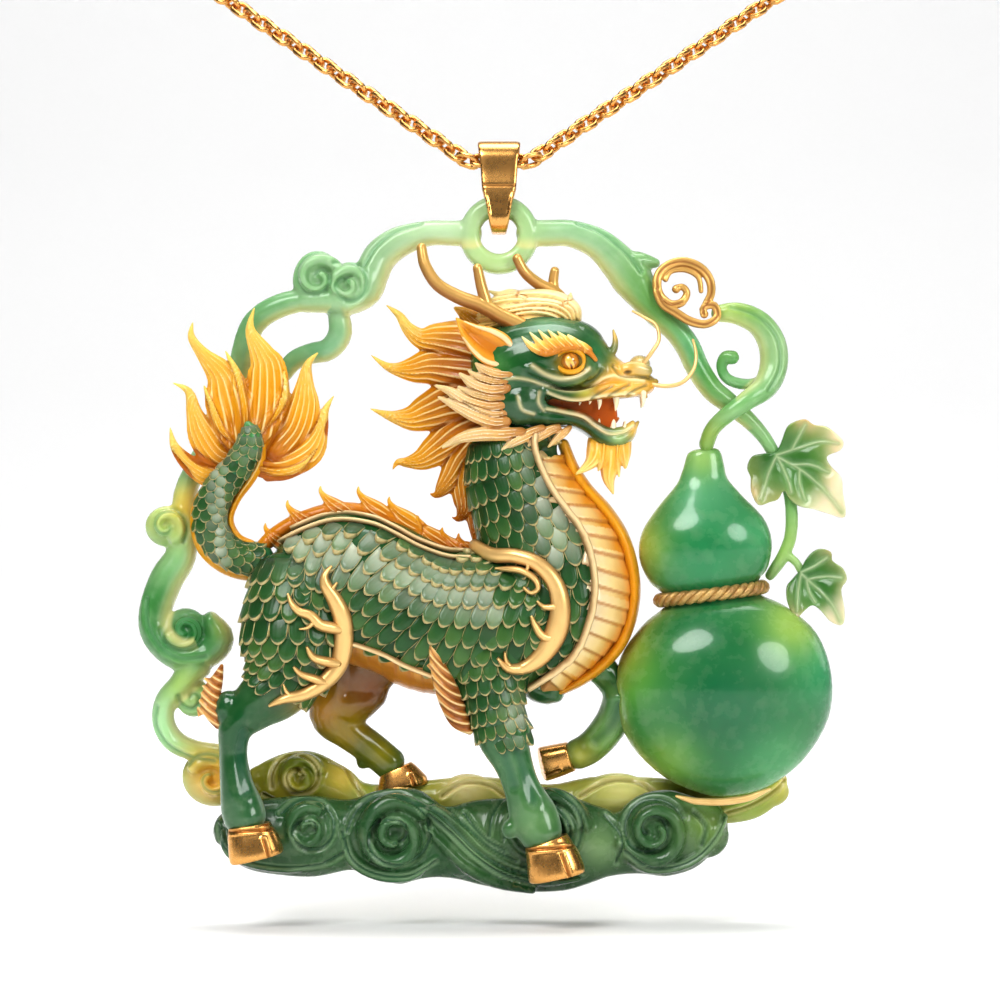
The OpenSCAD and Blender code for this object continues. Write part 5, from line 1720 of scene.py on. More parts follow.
@dataclass
class Clouds:
    """Rolled clouds that the beast stands on, dark in front and honey coloured behind."""

    base: tuple = (
        (-18.9, -41.6, 0.3, 1.4, 1.6), (-17.4, -42, 0.3, 2.4, 2.1), (-15.2, -42.1, 0.3, 2.75, 2.3),
        (-12.9, -42.1, 0.3, 2.85, 2.2), (-10.4, -42, 0.3, 2.5, 1.8), (-8.6, -42, 0.3, 3.1, 1.9),
        (-6.4, -42.1, 0.3, 3.4, 1.9), (-4, -42.5, 0.3, 2.5, 1.8), (-1.3, -42.5, 0.3, 3.0, 1.9),
        (1.7, -42.7, 0.3, 3.3, 1.9), (4.7, -42.6, 0.3, 3.3, 1.9), (7, -42.6, 0.3, 2.6, 1.8),
        (8.6, -42.6, 0.3, 2.2, 1.7), (10.8, -42, 0.3, 3.0, 1.9), (13, -41.7, 0.3, 2.8, 1.8),
        (14.9, -41.2, 0.3, 1.7, 1.4),
    )
    behind: tuple = (
        (-17, -38.5, 2.7, 1.2, 1.1), (-15.4, -38.4, 2.9, 1.85, 1.3), (-13.6, -38.4, 3, 2.1, 1.4),
        (-11.6, -38.9, 2.9, 1.65, 1.3), (-9, -39.9, 2.8, 1.25, 1.2), (-1.8, -39.6, 2.9, 1.5, 1.3),
        (3.5, -40, 2.8, 1.35, 1.3), (7.6, -39.6, 2.8, 1.55, 1.3), (15.5, -39.9, 2.4, 1.55, 1.2),
        (18.3, -39.2, 2.2, 1.55, 1.1), (19.8, -38.3, 2, 0.65, 0.9),
    )

    def front(self) -> None:
        """Carve the dark clouds in front."""
        blank = Blank().stroke(self.base, steps=5, sides=24)
        blank.curls([
            (-13.3, -41.4, -1.3, 1.55, 0.5, 1.0, 60, 480), (-7.3, -41.9, -1.5, 2.55, 0.62, 1.0, 40, 600),
            (2.8, -41.8, -0.9, 3.3, 0.62, 1.0, 10, 330), (2.8, -41.8, -1.2, 2.2, 0.5, 0.9, 10, 300),
            (10.8, -41.6, -1.2, 2.3, 0.58, 1.0, 200, 560),
        ])
        for y, line in (
            (-1.6,
             ((-6.8, -39.6, 0.3), (-5.0, -40.2, 0.42), (-3.3, -41.6, 0.48), (-1.7, -43.2, 0.5),
              (0.4, -44.5, 0.48), (3.2, -45.1, 0.4), (5.6, -44.9, 0.2))),
            (-1.3,
             ((-4.6, -40.0, 0.25), (-3.0, -41.0, 0.4), (-1.5, -42.5, 0.42), (0.2, -43.8, 0.4),
              (2.2, -44.4, 0.2))),
            (-1.6,
             ((-5.2, -41.2, 0.2), (-3.9, -42.6, 0.4), (-2.3, -44.1, 0.46), (-0.2, -45.2, 0.42),
              (2.4, -45.8, 0.2))),
            (-1.2,
             ((-10.6, -42, 0.3), (-10.2, -43.6, 0.5), (-8.4, -44.6, 0.55), (-6.2, -44.7, 0.45),
              (-4.3, -43.5, 0.15))),
            (-1.2,
             ((-19.3, -41.6, 0.2), (-18.8, -43.0, 0.45), (-17, -43.8, 0.5), (-14.6, -44.1, 0.5),
              (-12.2, -43.8, 0.3))),
            (-1.1,
             ((8.3, -43.2, 0.25), (10.4, -44.2, 0.45), (13.2, -43.8, 0.45), (15, -42.2, 0.4),
              (15.8, -40.6, 0.2))),
        ):
            blank.stroke([(x, z, y + 0.5, half, 0.9) for x, z, half in line], steps=4, sides=14)
        blank.balls([
            (-17.3, -42.3, -0.6, 2.2, 1.9, 1.4), (-2.2, -43.0, -0.4, 2.6, 1.9, 1.3),
            (14.4, -42.0, -0.3, 1.7, 1.6, 1.1),
        ])
        skin = blank.fused(voxel=0.14, soften=3)
        skin.groove([
            spiral(-13.2, -41.5, 2.3, 150, -520),
            [(-19.6, -41.3), (-19.2, -42.8), (-17.6, -43.7), (-15, -44.1), (-12.5, -44), (-10.9, -43.2)],
            spiral(-7.3, -41.9, 3.3, 175, -620, 0.12),
            [(-10.9, -41.6), (-10.3, -43.5), (-8.6, -44.6), (-6.2, -44.7), (-4.4, -43.7)],
            [(-6.8, -39.2), (-4.6, -40), (-3, -41.4), (-1.5, -42.9), (0.5, -44.1), (3, -44.7), (5.8, -44.6)],
            [(-4.9, -40.5), (-3.2, -41.9), (-1.6, -43.4), (0.2, -44.6), (2.4, -45.3)],
            [(-3.9, -39.8), (-2.2, -41.3), (-0.7, -42.7), (1.2, -43.7)],
            [(-2.4, -40.4), (-1.2, -41.9), (0.4, -43)], spiral(2.8, -41.6, 3.5, 185, -300, 0.75),
            spiral(2.8, -41.7, 2.5, 190, -260, 0.8), [(7.4, -40.5), (8.5, -42), (8.2, -43.8)],
            spiral(10.6, -41.5, 2.4, 20, 560),
            [(8.7, -43), (10.8, -44.3), (13.4, -43.7), (15.1, -42.1), (15.7, -40.5)],
            [(13.6, -40.3), (14.4, -41.3), (14.1, -42.6)],
        ], width=0.15, depth=0.26, rim=0.08)
        at = skin.spots
        # Painted highlight: the lips beside the grooves on the front pale to the lip colour.
        lip_highlight = ramp(skin.marks["line"], 0.02, 0.3) * (1 - ramp(skin.marks["line"], 0.4, 0.9))
        skin.mark("lip", lip_highlight * ramp(-at[:, 1], -1.0, 0.8))
        skin.stain((0.04, 0.13, 0.045), [
            (-13, -40.6, 2.0, (0.10, 0.22, 0.10)), (-18.6, -42.4, 2.4, (0.02, 0.09, 0.03)),
            (-7, -41.2, 1.8, (0.14, 0.26, 0.13)), (-6.5, -44.6, 1.8, (0.10, 0.23, 0.11)),
            (-1.5, -42.3, 2.0, (0.17, 0.29, 0.13)), (2.4, -45.4, 2.6, (0.02, 0.09, 0.03)),
            (7, -42.6, 1.6, (0.24, 0.36, 0.18)), (11, -41.3, 2.0, (0.09, 0.21, 0.09)),
            (14.4, -41, 1.8, (0.20, 0.31, 0.08)), (-11, -44.4, 1.5, (0.09, 0.20, 0.08)),
        ])
        skin.place(
            "clouds_front",
            Jade(
                "cloud_jade", cut=(0.008, 0.08, 0.035), lip=(0.40, 0.56, 0.32), lip_share=0.4, glow=0.15,
                depth=0.8, gloss=0.2, milk=0.05,
            ),
            "jade_dark", ["cloud_base"],
        )

    def back(self) -> None:
        """Carve the honey coloured clouds behind."""
        blank = Blank().stroke(self.behind, steps=5, sides=20)
        blank.curls([(-14, -38.1, 2.1, 1.4, 0.55, 0.9, 20, 440)])
        blank.balls([
            (-2.2, -39.2, 2.8, 1.9, 1.3, 1.2), (8.3, -39.2, 2.8, 2.4, 1.35, 1.2),
            (18.8, -39.1, 2.2, 1.7, 1.2, 1.1),
        ])
        skin = blank.fused(voxel=0.12, soften=3)
        skin.groove([
            spiral(-14.1, -38.1, 2.0, 200, -540),
            [(-11.9, -36.9), (-10.9, -37.4), (-10.2, -38.5), (-9.6, -39.4)],
            [(-16.6, -39.3), (-15.4, -39.9), (-13.8, -40)],
            [(-4, -39.4), (-2.6, -38.5), (-0.8, -38.6), (0.4, -39.4)],
            [(5.7, -39.4), (7.6, -38.4), (9.6, -38.4), (11, -39.3)],
            [(16, -40.6), (17.8, -40), (19.4, -39), (20.2, -38.2)],
            [(-8.6, -38.9), (-7.4, -39.2), (-6.4, -39.9)],
        ], width=0.16, depth=0.2, rim=0.08)
        # Painted highlight: the lips beside the grooves pale to the lip colour.
        skin.mark("lip", ramp(skin.marks["line"], 0.02, 0.3) * (1 - ramp(skin.marks["line"], 0.4, 0.9)))
        skin.stain((0.36, 0.36, 0.05), [
            (-14.2, -37.6, 2.2, (0.17, 0.25, 0.03)), (-15, -39, 1.4, (0.50, 0.44, 0.07)),
            (-10.8, -38, 1.4, (0.78, 0.62, 0.15)), (-8, -39.2, 2.0, (0.46, 0.56, 0.16)),
            (-2.2, -38.4, 1.8, (0.88, 0.78, 0.42)), (3, -39.2, 2.0, (0.62, 0.66, 0.26)),
            (8.8, -38.4, 2.2, (0.78, 0.74, 0.34)), (17.5, -39.6, 2.0, (0.40, 0.50, 0.10)),
            (19.8, -38.4, 1.2, (0.70, 0.66, 0.20)),
        ])
        skin.place(
            "clouds_back",
            Jade(
                "honey_jade", cut=(0.26, 0.20, 0.02), lip=(0.96, 0.86, 0.46), lip_share=0.6, glow=0.35,
                depth=1.1,
            ),
            "jade_olive", ["back_clouds"],
        )

    def build(self) -> None:
        """Make both banks of cloud."""
        self.front()
        self.back()


# Beast


TORSO = (
    (-15.6, -25.2, -0.6, 2.4, 2.6), (-13.9, -24.9, -0.6, 4.3, 3.6), (-11.8, -24.6, -0.6, 5, 4),
    (-9.4, -24.7, -0.6, 5.15, 4.2), (-7, -25.8, -0.6, 5.1, 4.2), (-4.2, -26.9, -0.6, 5, 4.2),
    (-1.2, -27.1, -0.6, 5.1, 4.3), (1.8, -26.9, -0.6, 4.9, 4.1), (4.2, -26.5, -0.6, 4, 3.5),
)
NECK = (
    (0.9, -14.6, -0.8, 3.2, 2.4), (1.4, -16.6, -0.8, 3.9, 2.7), (2.4, -18.8, -0.8, 4.4, 3),
    (3.4, -21, -0.7, 5, 3.4), (4.1, -23.4, -0.7, 5.4, 3.7), (4.4, -25.8, -0.6, 5.2, 3.9),
    (4.2, -28, -0.6, 4.5, 3.7), (3.6, -29.9, -0.6, 3.3, 3.1), (3.1, -31.2, -0.6, 2, 2.2),
)
HIND_NEAR = (
    (-13.7, -24, -1.8, 3.3, 2.6), (-14.1, -27, -2.4, 3.7, 2.7), (-14.3, -29.4, -2.6, 3.3, 2.4),
    (-15.4, -31.5, -2.8, 2.4, 1.9), (-17, -32.9, -2.9, 1.75, 1.5), (-18.2, -34.3, -2.9, 1.25, 1.2),
    (-18.4, -36, -2.9, 1, 1), (-18.2, -38, -3, 1.15, 1.1), (-17.8, -39.7, -3.1, 1.5, 1.2),
    (-17.5, -40.7, -3.2, 1.5, 1.2),
)
HIND_FAR = (
    (-9.2, -30, 1.4, 2.9, 1.8), (-10.7, -32.2, 1.9, 2.4, 1.6), (-11.7, -33.7, 2.2, 1.75, 1.3),
    (-10.5, -35, 2.4, 1.3, 1.1), (-8.9, -36.2, 2.5, 1.2, 1), (-7.6, -37.3, 2.5, 1.2, 1),
)
FORE_NEAR = (
    (-0.5, -28, -2, 3, 2.5), (-0.6, -30.6, -2.4, 2.6, 2.1), (-0.2, -33, -2.7, 1.95, 1.7),
    (0.3, -35, -2.9, 1.8, 1.4), (1, -36.8, -3, 1.35, 1.2), (1.6, -38.5, -3.1, 1.3, 1.1),
    (2.4, -40.4, -3.2, 1.7, 1.2), (3, -41.8, -3.3, 1.5, 1.2),
)
FORE_FAR = (
    (5.6, -29, 1, 2.4, 1.8), (7.6, -30.6, 0.4, 1.7, 1.6), (8.5, -32, 0.2, 1.35, 1.4),
    (8.2, -33.6, 0.7, 1.25, 1.2), (7.3, -35.1, 1.5, 1.2, 1.1), (6.3, -36.1, 2.1, 1.15, 1),
    (5.4, -36.55, 2.3, 1.1, 1),
)
CHEST_EDGE = (
    (2.5, -14.2), (2.6, -15.4), (3.8, -18), (5.5, -20.3), (6.4, -22.6), (6.6, -25), (6.1, -27.3),
    (5.2, -29.2), (3.6, -30.6), (2.2, -31.5),
)
BELLY_EDGE = ((-10.6, -28.3), (-8.2, -29.1), (-6.4, -30), (-4.6, -30.7), (-3.0, -31.3))
RIDGE = (
    (-17.3, -22.8, -0.6, 0.45, 0.7), (-15.9, -21.2, -0.6, 0.55, 0.7), (-14, -20.0, -0.6, 0.55, 0.7),
    (-11.5, -19.2, -0.6, 0.5, 0.7), (-9, -19.4, -0.6, 0.5, 0.7), (-7.3, -20.1, -0.6, 0.55, 0.7),
    (-5.6, -21, -0.6, 0.6, 0.7), (-3.6, -21.7, -0.6, 0.5, 0.6), (-2, -21.8, -0.6, 0.35, 0.5),
)


class Way(Enum):
    """The way that the free edges of scales point along a limb."""

    ALONG = "along"
    DOWN = "down"


@dataclass(frozen=True)
class ScaleField:
    """Rows of scales round one limb."""

    rows: Sequence[Row]
    way: Way
    long: float
    wide: float
    start: float = 0.0
    end: float = 1.0
    reach: float = 0.45


@dataclass
class Scales:
    """Small overlapping tiles of jade with gilded free edges."""

    lift: float = 0.16
    sink: float = 0.10

    def tile(self) -> bpy.types.Mesh:
        """Shape one tile: a domed tongue, closed below, long in y and one unit each way.

        Returns:
            The tile.
        """
        bm = bmesh.new()
        bmesh.ops.create_grid(bm, x_segments=6, y_segments=4, size=1.0)
        rim = [e for e in bm.edges if e.is_boundary]
        skirt = bmesh.ops.extrude_edge_only(bm, edges=rim)["geom"]
        low = {g for g in skirt if isinstance(g, bmesh.types.BMVert)}
        under = [g for g in skirt if isinstance(g, bmesh.types.BMEdge) and all(v in low for v in g.verts)]
        bmesh.ops.contextual_create(bm, geom=under)
        for v in bm.verts:
            a, t = v.co.x, (v.co.y + 1) / 2
            v.co = Vector((
                a * (1 - 0.14 * t**4), 1.2 * t * (1 - 0.28 * a * a) - 0.5,
                0.42 * (1 - a * a) * t * (1.5 - t) + 0.50 * t - 0.30 - (0.8 if v in low else 0.0),
            ))
        bmesh.ops.recalc_face_normals(bm, faces=bm.faces)
        return as_mesh(bm, "tile")

    def places(self, field: ScaleField) -> Iterable[tuple[Vector, Vector, Vector, float]]:
        """Walk round a limb, row by row.

        Args:
            field: The limb and its scales' size.

        Yields:
            A spot on the limb, its outward direction, the way its scale points and the share of its
            full size that it has.
        """
        path = Stroke(field.rows, steps=6).path()
        spots = path[:, [0, 2, 1]]
        length = lengths(spots)
        ways = np.gradient(spots, axis=0)
        girth = math.pi * (path[:, 3] + path[:, 4]).max() / 2
        if field.way is Way.ALONG:
            downs = np.arange(field.start * length[-1], field.end * length[-1], field.long)
            turns = max(6, int(round(2 * girth / field.wide)))
            grid = [
                (s, 2 * math.pi * (k + 0.5 * (i % 2)) / turns)
                for i, s in enumerate(downs)
                for k in range(turns)
            ]
        else:
            turns = max(5, int(round(girth / field.long)))
            acrosses = np.arange(field.start * length[-1], field.end * length[-1], field.wide)
            grid = [
                (s + 0.5 * field.wide * (i % 2), face * math.pi * (i + 0.35) / turns)
                for face in (1, -1)
                for i in range(turns)
                for s in acrosses
            ]
        for s, angle in grid:
            k = min(int(np.searchsorted(length, s)), len(path) - 1)
            row = path[k]
            if k > 0:
                past = (s - length[k - 1]) / (length[k] - length[k - 1])
                row = path[k - 1] + (path[k] - path[k - 1]) * past
            frame_here = ring_frame(row[[0, 2, 1]], ways[k], np.array((0.0, 1.0, 0.0)), 1.0, 1.0).to_3x3()
            side, deep, along = frame_here.col[0], frame_here.col[1], frame_here.col[2]
            if field.way is Way.DOWN:
                up = side if side.z > 0 else -side
                near = -deep if deep.y > 0 else deep
                a = abs(angle)
                face = near if angle > 0 else -near
                spot = up * row[3] * math.cos(a) + face * row[4] * math.sin(a)
                out = up * math.cos(a) / row[3] + face * math.sin(a) / row[4]
                point = -up * math.sin(a) * row[3] + face * math.cos(a) * row[4]
                point = point.normalized() - 0.45 * along
                share = 1.0
            else:
                spot = side * row[3] * math.cos(angle) + deep * row[4] * math.sin(angle)
                out = side * math.cos(angle) / row[3] + deep * math.sin(angle) / row[4]
                point = along
                share = min(1.0, (row[3] + row[4]) * math.pi / 2 / girth + 0.06)
            yield Vector(row[[0, 2, 1]]) + spot, out.normalized(), point, share

    def lay(
        self, name: str, fields: Sequence[ScaleField], ground: BVHTree, bare: Callable[[Vector], bool],
        sheen: Callable[[Vector], float],
    ) -> None:
        """Lay the scales of some limbs on the skin.

        Args:
            name: The piece's name.
            fields: The limbs.
            ground: The skin that they lie on.
            bare: Says where no scale lies.
            sheen: How strongly a painted highlight pales a scale at a place.
        """
        tile, bm = self.tile(), bmesh.new()
        size = len(tile.vertices)
        # own holds each scale's random tint; pale holds its painted highlight.
        own, pale = [], []
        for field in fields:
            for spot, out, point, share in self.places(field):
                here, normal, _, gap = ground.find_nearest(spot)
                if here is None or gap > field.reach or bare(here) or normal.dot(out) < 0.2:
                    continue
                normal = (normal + out).normalized()
                side = point.cross(normal).normalized()
                down = normal.cross(side)
                tall = 0.5 * (field.long + field.wide) * share
                axes = (
                    side * field.wide * 0.56 * share, down * field.long * 1.5 * share, normal * tall * 0.5,
                )
                turn = Matrix(axes).transposed().to_4x4()
                turn.translation = here + normal * (self.lift - self.sink)
                bm.from_mesh(tile)
                bm.verts.ensure_lookup_table()
                bmesh.ops.transform(bm, matrix=turn, verts=bm.verts[-size:])
                key = math.sin(here.x * 12.9898 + here.z * 78.233 + here.y * 37.719) * 43758.5453
                own.append(key - math.floor(key))
                pale.append(sheen(here))
        grid = np.array([v.co[:] for v in tile.vertices])
        across = grid[:, 0]
        down = np.clip((grid[:, 1] + 0.5) / 1.2 / np.maximum(1 - 0.28 * across**2, 0.2), 0, 1)
        count = len(own)
        marks = {
            "across": np.tile(np.clip(across / (1 - 0.14 * down**4), -1, 1), count),
            "down": np.tile(down, count), "own": np.repeat(np.array(own), size),
            "sheen": np.repeat(np.array(pale), size),
        }
        bpy.data.meshes.remove(tile)
        LOG.info("%s: %d scales", name, count)
        as_piece(bm, name, ScaleJade("scale_jade"), "jade_dark", marks=marks)


@dataclass
class Beast:
    """The scaled body with its legs, plates, gold bands, hooves and crest."""

    voxel: float = 0.165
    ground: Optional[BVHTree] = None

    def skin(self) -> None:
        """Carve the body and legs as one skin, with the sinews of the lower legs."""
        blank = Blank().strokes([TORSO, NECK], steps=5, sides=28)
        blank.strokes([HIND_NEAR, HIND_FAR, FORE_NEAR, FORE_FAR], steps=5, sides=20)
        blank.balls([
            (-18.7, -33.0, -2.9, 1.0, 1.3, 1.0), (9.0, -31.7, 0.2, 1.1, 1.3, 1.2),
            (0.9, -34.6, -3.5, 1.3, 1.5, 0.9), (0.75, -41.3, -3.3, 0.6, 0.7, 0.6),
            (-9.6, -37.1, 2.5, 0.5, 0.5, 0.5),
        ])
        skin = blank.fused(self.voxel, soften=4)
        skin.groove([
            [(-17.6, -34.6), (-17.8, -36.5), (-17.5, -38.6)], [(1.2, -35.6), (1.8, -37.4), (2.3, -39.2)],
            [(-0.1, -34.4), (0.5, -36.4), (1.0, -38.2)], [(8.4, -33), (7.8, -34.4), (6.8, -35.4)],
        ], width=0.40, depth=0.10, rim=0.06)
        at = skin.spots
        chest, belly = np.array(CHEST_EDGE), np.array(BELLY_EDGE)
        front = at[:, 0] - np.interp(-at[:, 2], -chest[:, 1], chest[:, 0])
        under = np.interp(at[:, 0], belly[:, 0], belly[:, 1]) - at[:, 2]
        along_chest = ramp(at[:, 2], -32.6, -31.2) * ramp(-at[:, 2], 14.0, 15.0)
        skin.swell(-0.75 * ramp(front, -0.2, 0.8) * along_chest)
        along_belly = ramp(at[:, 0], -11.4, -10.6) * ramp(-at[:, 0], 2.4, 3.2)
        skin.swell(-0.5 * ramp(under, -0.2, 0.5) * along_belly * ramp(at[:, 2], -33.0, -32.0))
        at = skin.spots
        # Painted highlight: the sides of the near lower legs take the pale lip colour.
        near = ramp(-at[:, 1], -0.5, 1.5)
        painted_side_highlight = 1 - ramp(np.abs(skin.normals[:, 1]), 0.1, 0.8)
        skin.mark("lip", painted_side_highlight * ramp(-at[:, 2], 31.0, 34.0) * near)
        skin.stain((0.03, 0.15, 0.045), [
            (-9.5, -31.5, 3.2, (0.36, 0.13, 0.004)), (-12.3, -33.4, 1.8, (0.58, 0.30, 0.01)),
            (-10.6, -35.0, 1.6, (0.50, 0.36, 0.015)), (-8.4, -36.4, 1.6, (0.36, 0.33, 0.02)),
            (-18.3, -36, 2.6, (0.03, 0.15, 0.05)), (-17.6, -40, 1.6, (0.06, 0.19, 0.08)),
            (1.0, -37, 2.4, (0.13, 0.28, 0.12)), (2.4, -40.4, 1.8, (0.22, 0.38, 0.17)),
            (8.4, -32, 2.4, (0.10, 0.28, 0.10)), (7.2, -35.2, 1.8, (0.30, 0.52, 0.16)),
            (5.8, -36.6, 1.2, (0.56, 0.56, 0.14)), (6.0, -30, 1.8, (0.16, 0.34, 0.08)),
        ])
        self.ground = skin.tree()
        skin.place(
            "beast_skin",
            Jade(
                "skin_jade", cut=(0.01, 0.10, 0.05), lip=(0.74, 0.90, 0.78), lip_share=0.3, glow=0.12,
                depth=0.7, gloss=0.16, shine=0.55,
            ),
            "jade_dark", ["body"],
        )

    def scaled(self) -> None:
        """Lay the scales on the body, the neck, the near legs and the far shoulder."""
        chest, belly, ridge = np.array(CHEST_EDGE), np.array(BELLY_EDGE), np.array([row[:2] for row in RIDGE])

        def bare(p: Vector) -> bool:
            """Say whether plates or smooth skin lie there."""
            if -31.5 < p.z < -14 and p.x > np.interp(-p.z, -chest[:, 1], chest[:, 0]) - 0.25:
                return True
            if p.x < -2.6 and p.z > np.interp(p.x, ridge[:, 0], ridge[:, 1]) - 0.85:
                return True
            if -11.2 < p.x < -3 and p.z < np.interp(p.x, belly[:, 0], belly[:, 1]) + 0.1 and p.y > -2.2:
                return True
            if p.x < -12.4 and p.z < -31.6 - 0.25 * (p.x + 16):
                return True
            return p.z < -35.6 or (p.y > 1.2 and p.z < -30.2)

        def sheen(p: Vector) -> float:
            """Say how strong the painted highlight on the scales is on the back, the throat and the knee."""
            back = math.exp(-(((p.z - (-21.9 - 0.30 * (p.x + 12))) / 1.5) ** 2)) if p.x < 0 else 0.0
            throat = math.exp(-(((p.x - 3.2 - 0.15 * (-16 - p.z)) / 1.2) ** 2)) if p.z > -22.5 else 0.0
            knee = math.exp(-(((p.x - 1.2) / 0.8) ** 2 + ((p.z + 33.6) / 1.6) ** 2))
            return min(1.0, 0.85 * back + 0.8 * throat + 0.7 * knee)

        fields = (
            ScaleField(TORSO, Way.DOWN, long=1.25, wide=1.12, start=0.10, end=0.98, reach=0.5),
            ScaleField(NECK, Way.ALONG, long=1.18, wide=1.12, start=0.0, end=0.93, reach=0.5),
            ScaleField(HIND_NEAR[:6], Way.ALONG, long=1.2, wide=1.2, start=0.0, end=0.93, reach=0.6),
            ScaleField(FORE_NEAR[:5], Way.ALONG, long=1.05, wide=1.05, start=0.02, end=0.97, reach=0.45),
        )
        Scales().lay("beast_scales", fields, self.ground, bare, sheen)

    def plates(self) -> None:
        """Wrap the lapped plates round the throat and under the belly."""
        chest = (
            ((2.5, -15.1), (4.3, -14.6)), ((2.7, -16.1), (5.1, -16.5)), ((3.4, -17.5), (6.1, -17.9)),
            ((4.7, -18.9), (7.3, -19.1)), ((5.5, -20.2), (8.3, -20.6)), ((6.2, -21.7), (9.0, -22.3)),
            ((6.6, -23.3), (9.4, -24.2)), ((6.7, -24.9), (9.5, -25.7)), ((6.6, -26.3), (9.1, -27.1)),
            ((6.1, -27.7), (8.4, -28.7)), ((5.3, -29), (7.2, -30)), ((4.3, -30.1), (5.8, -31.1)),
            ((3.2, -30.9), (4.3, -31.9)),
        )
        neck = Stroke(NECK, steps=6).path()
        self.lapped(
            "chest_lames", chest, lambda p: float(np.interp(-p[1], -neck[:, 1], neck[:, 4])), middle=-0.7,
            node="chest_plates", count=16, step=0.18, finish=PlateIvory("throat_ivory"),
        )
        rim = [
            (4.6, -14.6, -0.7, 0.3, 0.9), (5.3, -16.4, -0.7, 0.34, 1.2), (6.3, -17.9, -0.7, 0.36, 1.5),
            (7.55, -19.3, -0.7, 0.38, 1.7), (8.6, -20.9, -0.7, 0.38, 1.8), (9.25, -22.8, -0.7, 0.38, 1.9),
            (9.5, -24.9, -0.7, 0.38, 1.9), (9.2, -26.9, -0.7, 0.38, 1.9), (8.45, -28.7, -0.7, 0.36, 1.8),
            (7.2, -30.1, -0.7, 0.34, 1.6), (5.7, -31.2, -0.7, 0.3, 1.4), (4.2, -32.0, -0.7, 0.2, 1.0),
        ]
        rim = [(x - 0.12, z, y, half * 1.35, deep * 1.05) for x, z, y, half, deep in rim]
        skin = Blank().stroke(rim, steps=5, sides=18).fused(voxel=0.12, soften=2)
        skin.mark("along", 0.25 + 0.2 * ramp(skin.spots[:, 2], -26.0, -16.0))
        skin.place("throat_rim", Flame("rim_flame"), "amber")
        belly = (
            ((-10.7, -28.2), (-10.9, -29.8)), ((-9.6, -28.6), (-9.7, -30.2)),
            ((-8.3, -29.1), (-8.4, -30.6)), ((-7.1, -29.7), (-7.1, -31.4)), ((-5.9, -30.3), (-5.7, -31.9)),
            ((-4.7, -30.8), (-4.5, -32.1)), ((-3.6, -31.1), (-3.3, -32.2)),
        )
        self.lapped(
            "belly_lames", belly, lambda p: 3.3, middle=-0.6, node="belly_plates", count=8, step=0.05,
            finish=PlateIvory(
                "belly_amber", inner=(0.74, 0.42, 0.10), middle=(0.66, 0.33, 0.06),
                outer=(0.52, 0.20, 0.02),
            ),
        )

    def lapped(
        self, name: str, edges: Sequence, depth: Callable, middle: float, node: str, count: int,
        step: float, finish: Finish,
    ) -> None:
        """Bend one band round the edge of the body, from the near side to the far one, and cut its plates.

        Args:
            name: The piece's name.
            edges: The inner and outer ends of the lines that guide the plates.
            depth: Half the body's depth at an inner end.
            middle: The body's middle, front to back.
            node: The CAD node that the plates stand for.
            count: How many plates there are.
            step: How far one plate stands over the next.
            finish: What the plates are made of.
        """
        share = 0.40
        starts, ends = (np.array([e[k] for e in edges], float) for k in (0, 1))
        hubs = (starts - share * ends) / (1 - share)
        outer = smoothed(ends, steps=8)
        rows = [
            (h[0], h[1], middle, float(np.linalg.norm(outer - h, axis=1).min()) + 0.12, depth(a))
            for h, a in zip(hubs, starts)
        ]
        skin = Blank().stroke(rows, steps=6, sides=40).fused(voxel=0.12, soften=2)
        spots = skin.spots[:, [0, 2]]
        ways = ends - starts
        gap = spots[:, None] - starts[None]
        turn = gap[:, :, 0] * ways[None, :, 1] - gap[:, :, 1] * ways[None, :, 0]
        over = turn / np.linalg.norm(ways, axis=1)
        if over[np.argmin(np.linalg.norm(spots - ends[-1], axis=1)), 0] < 0:
            over = -over
        first = np.clip((over > 0).sum(1) - 1, 0, len(edges) - 2)
        line = np.arange(len(spots))
        above, below = over[line, first], over[line, first + 1]
        part = np.clip(above / np.where(np.abs(above - below) < 1e-6, 1e-6, above - below), 0, 1)
        across = ((gap * ways[None]).sum(2) / (ways**2).sum(1))[line, first]
        place = (first + part) / (len(edges) - 1) * count
        lap = place - np.floor(place)
        skin.swell(step * lap * (1 - ramp(lap, 0.84, 1.0)) - 0.06 - 0.9 * ramp(-across, 0.0, 0.3))
        # The fold mark is painted shade where one plate meets the next.
        skin.mark("fold", np.maximum(ramp(lap, 0.80, 0.90), ramp(lap, 0.12, 0.0)))
        warm = 0.35 * ramp(-spots[:, 1], 25.5, 31.0) + 0.2 * ramp(spots[:, 1], -18.0, -15.0)
        skin.mark("round", np.clip(across, 0, 1.1) + warm)
        skin.place(name, finish, "plate_ivory", [node])

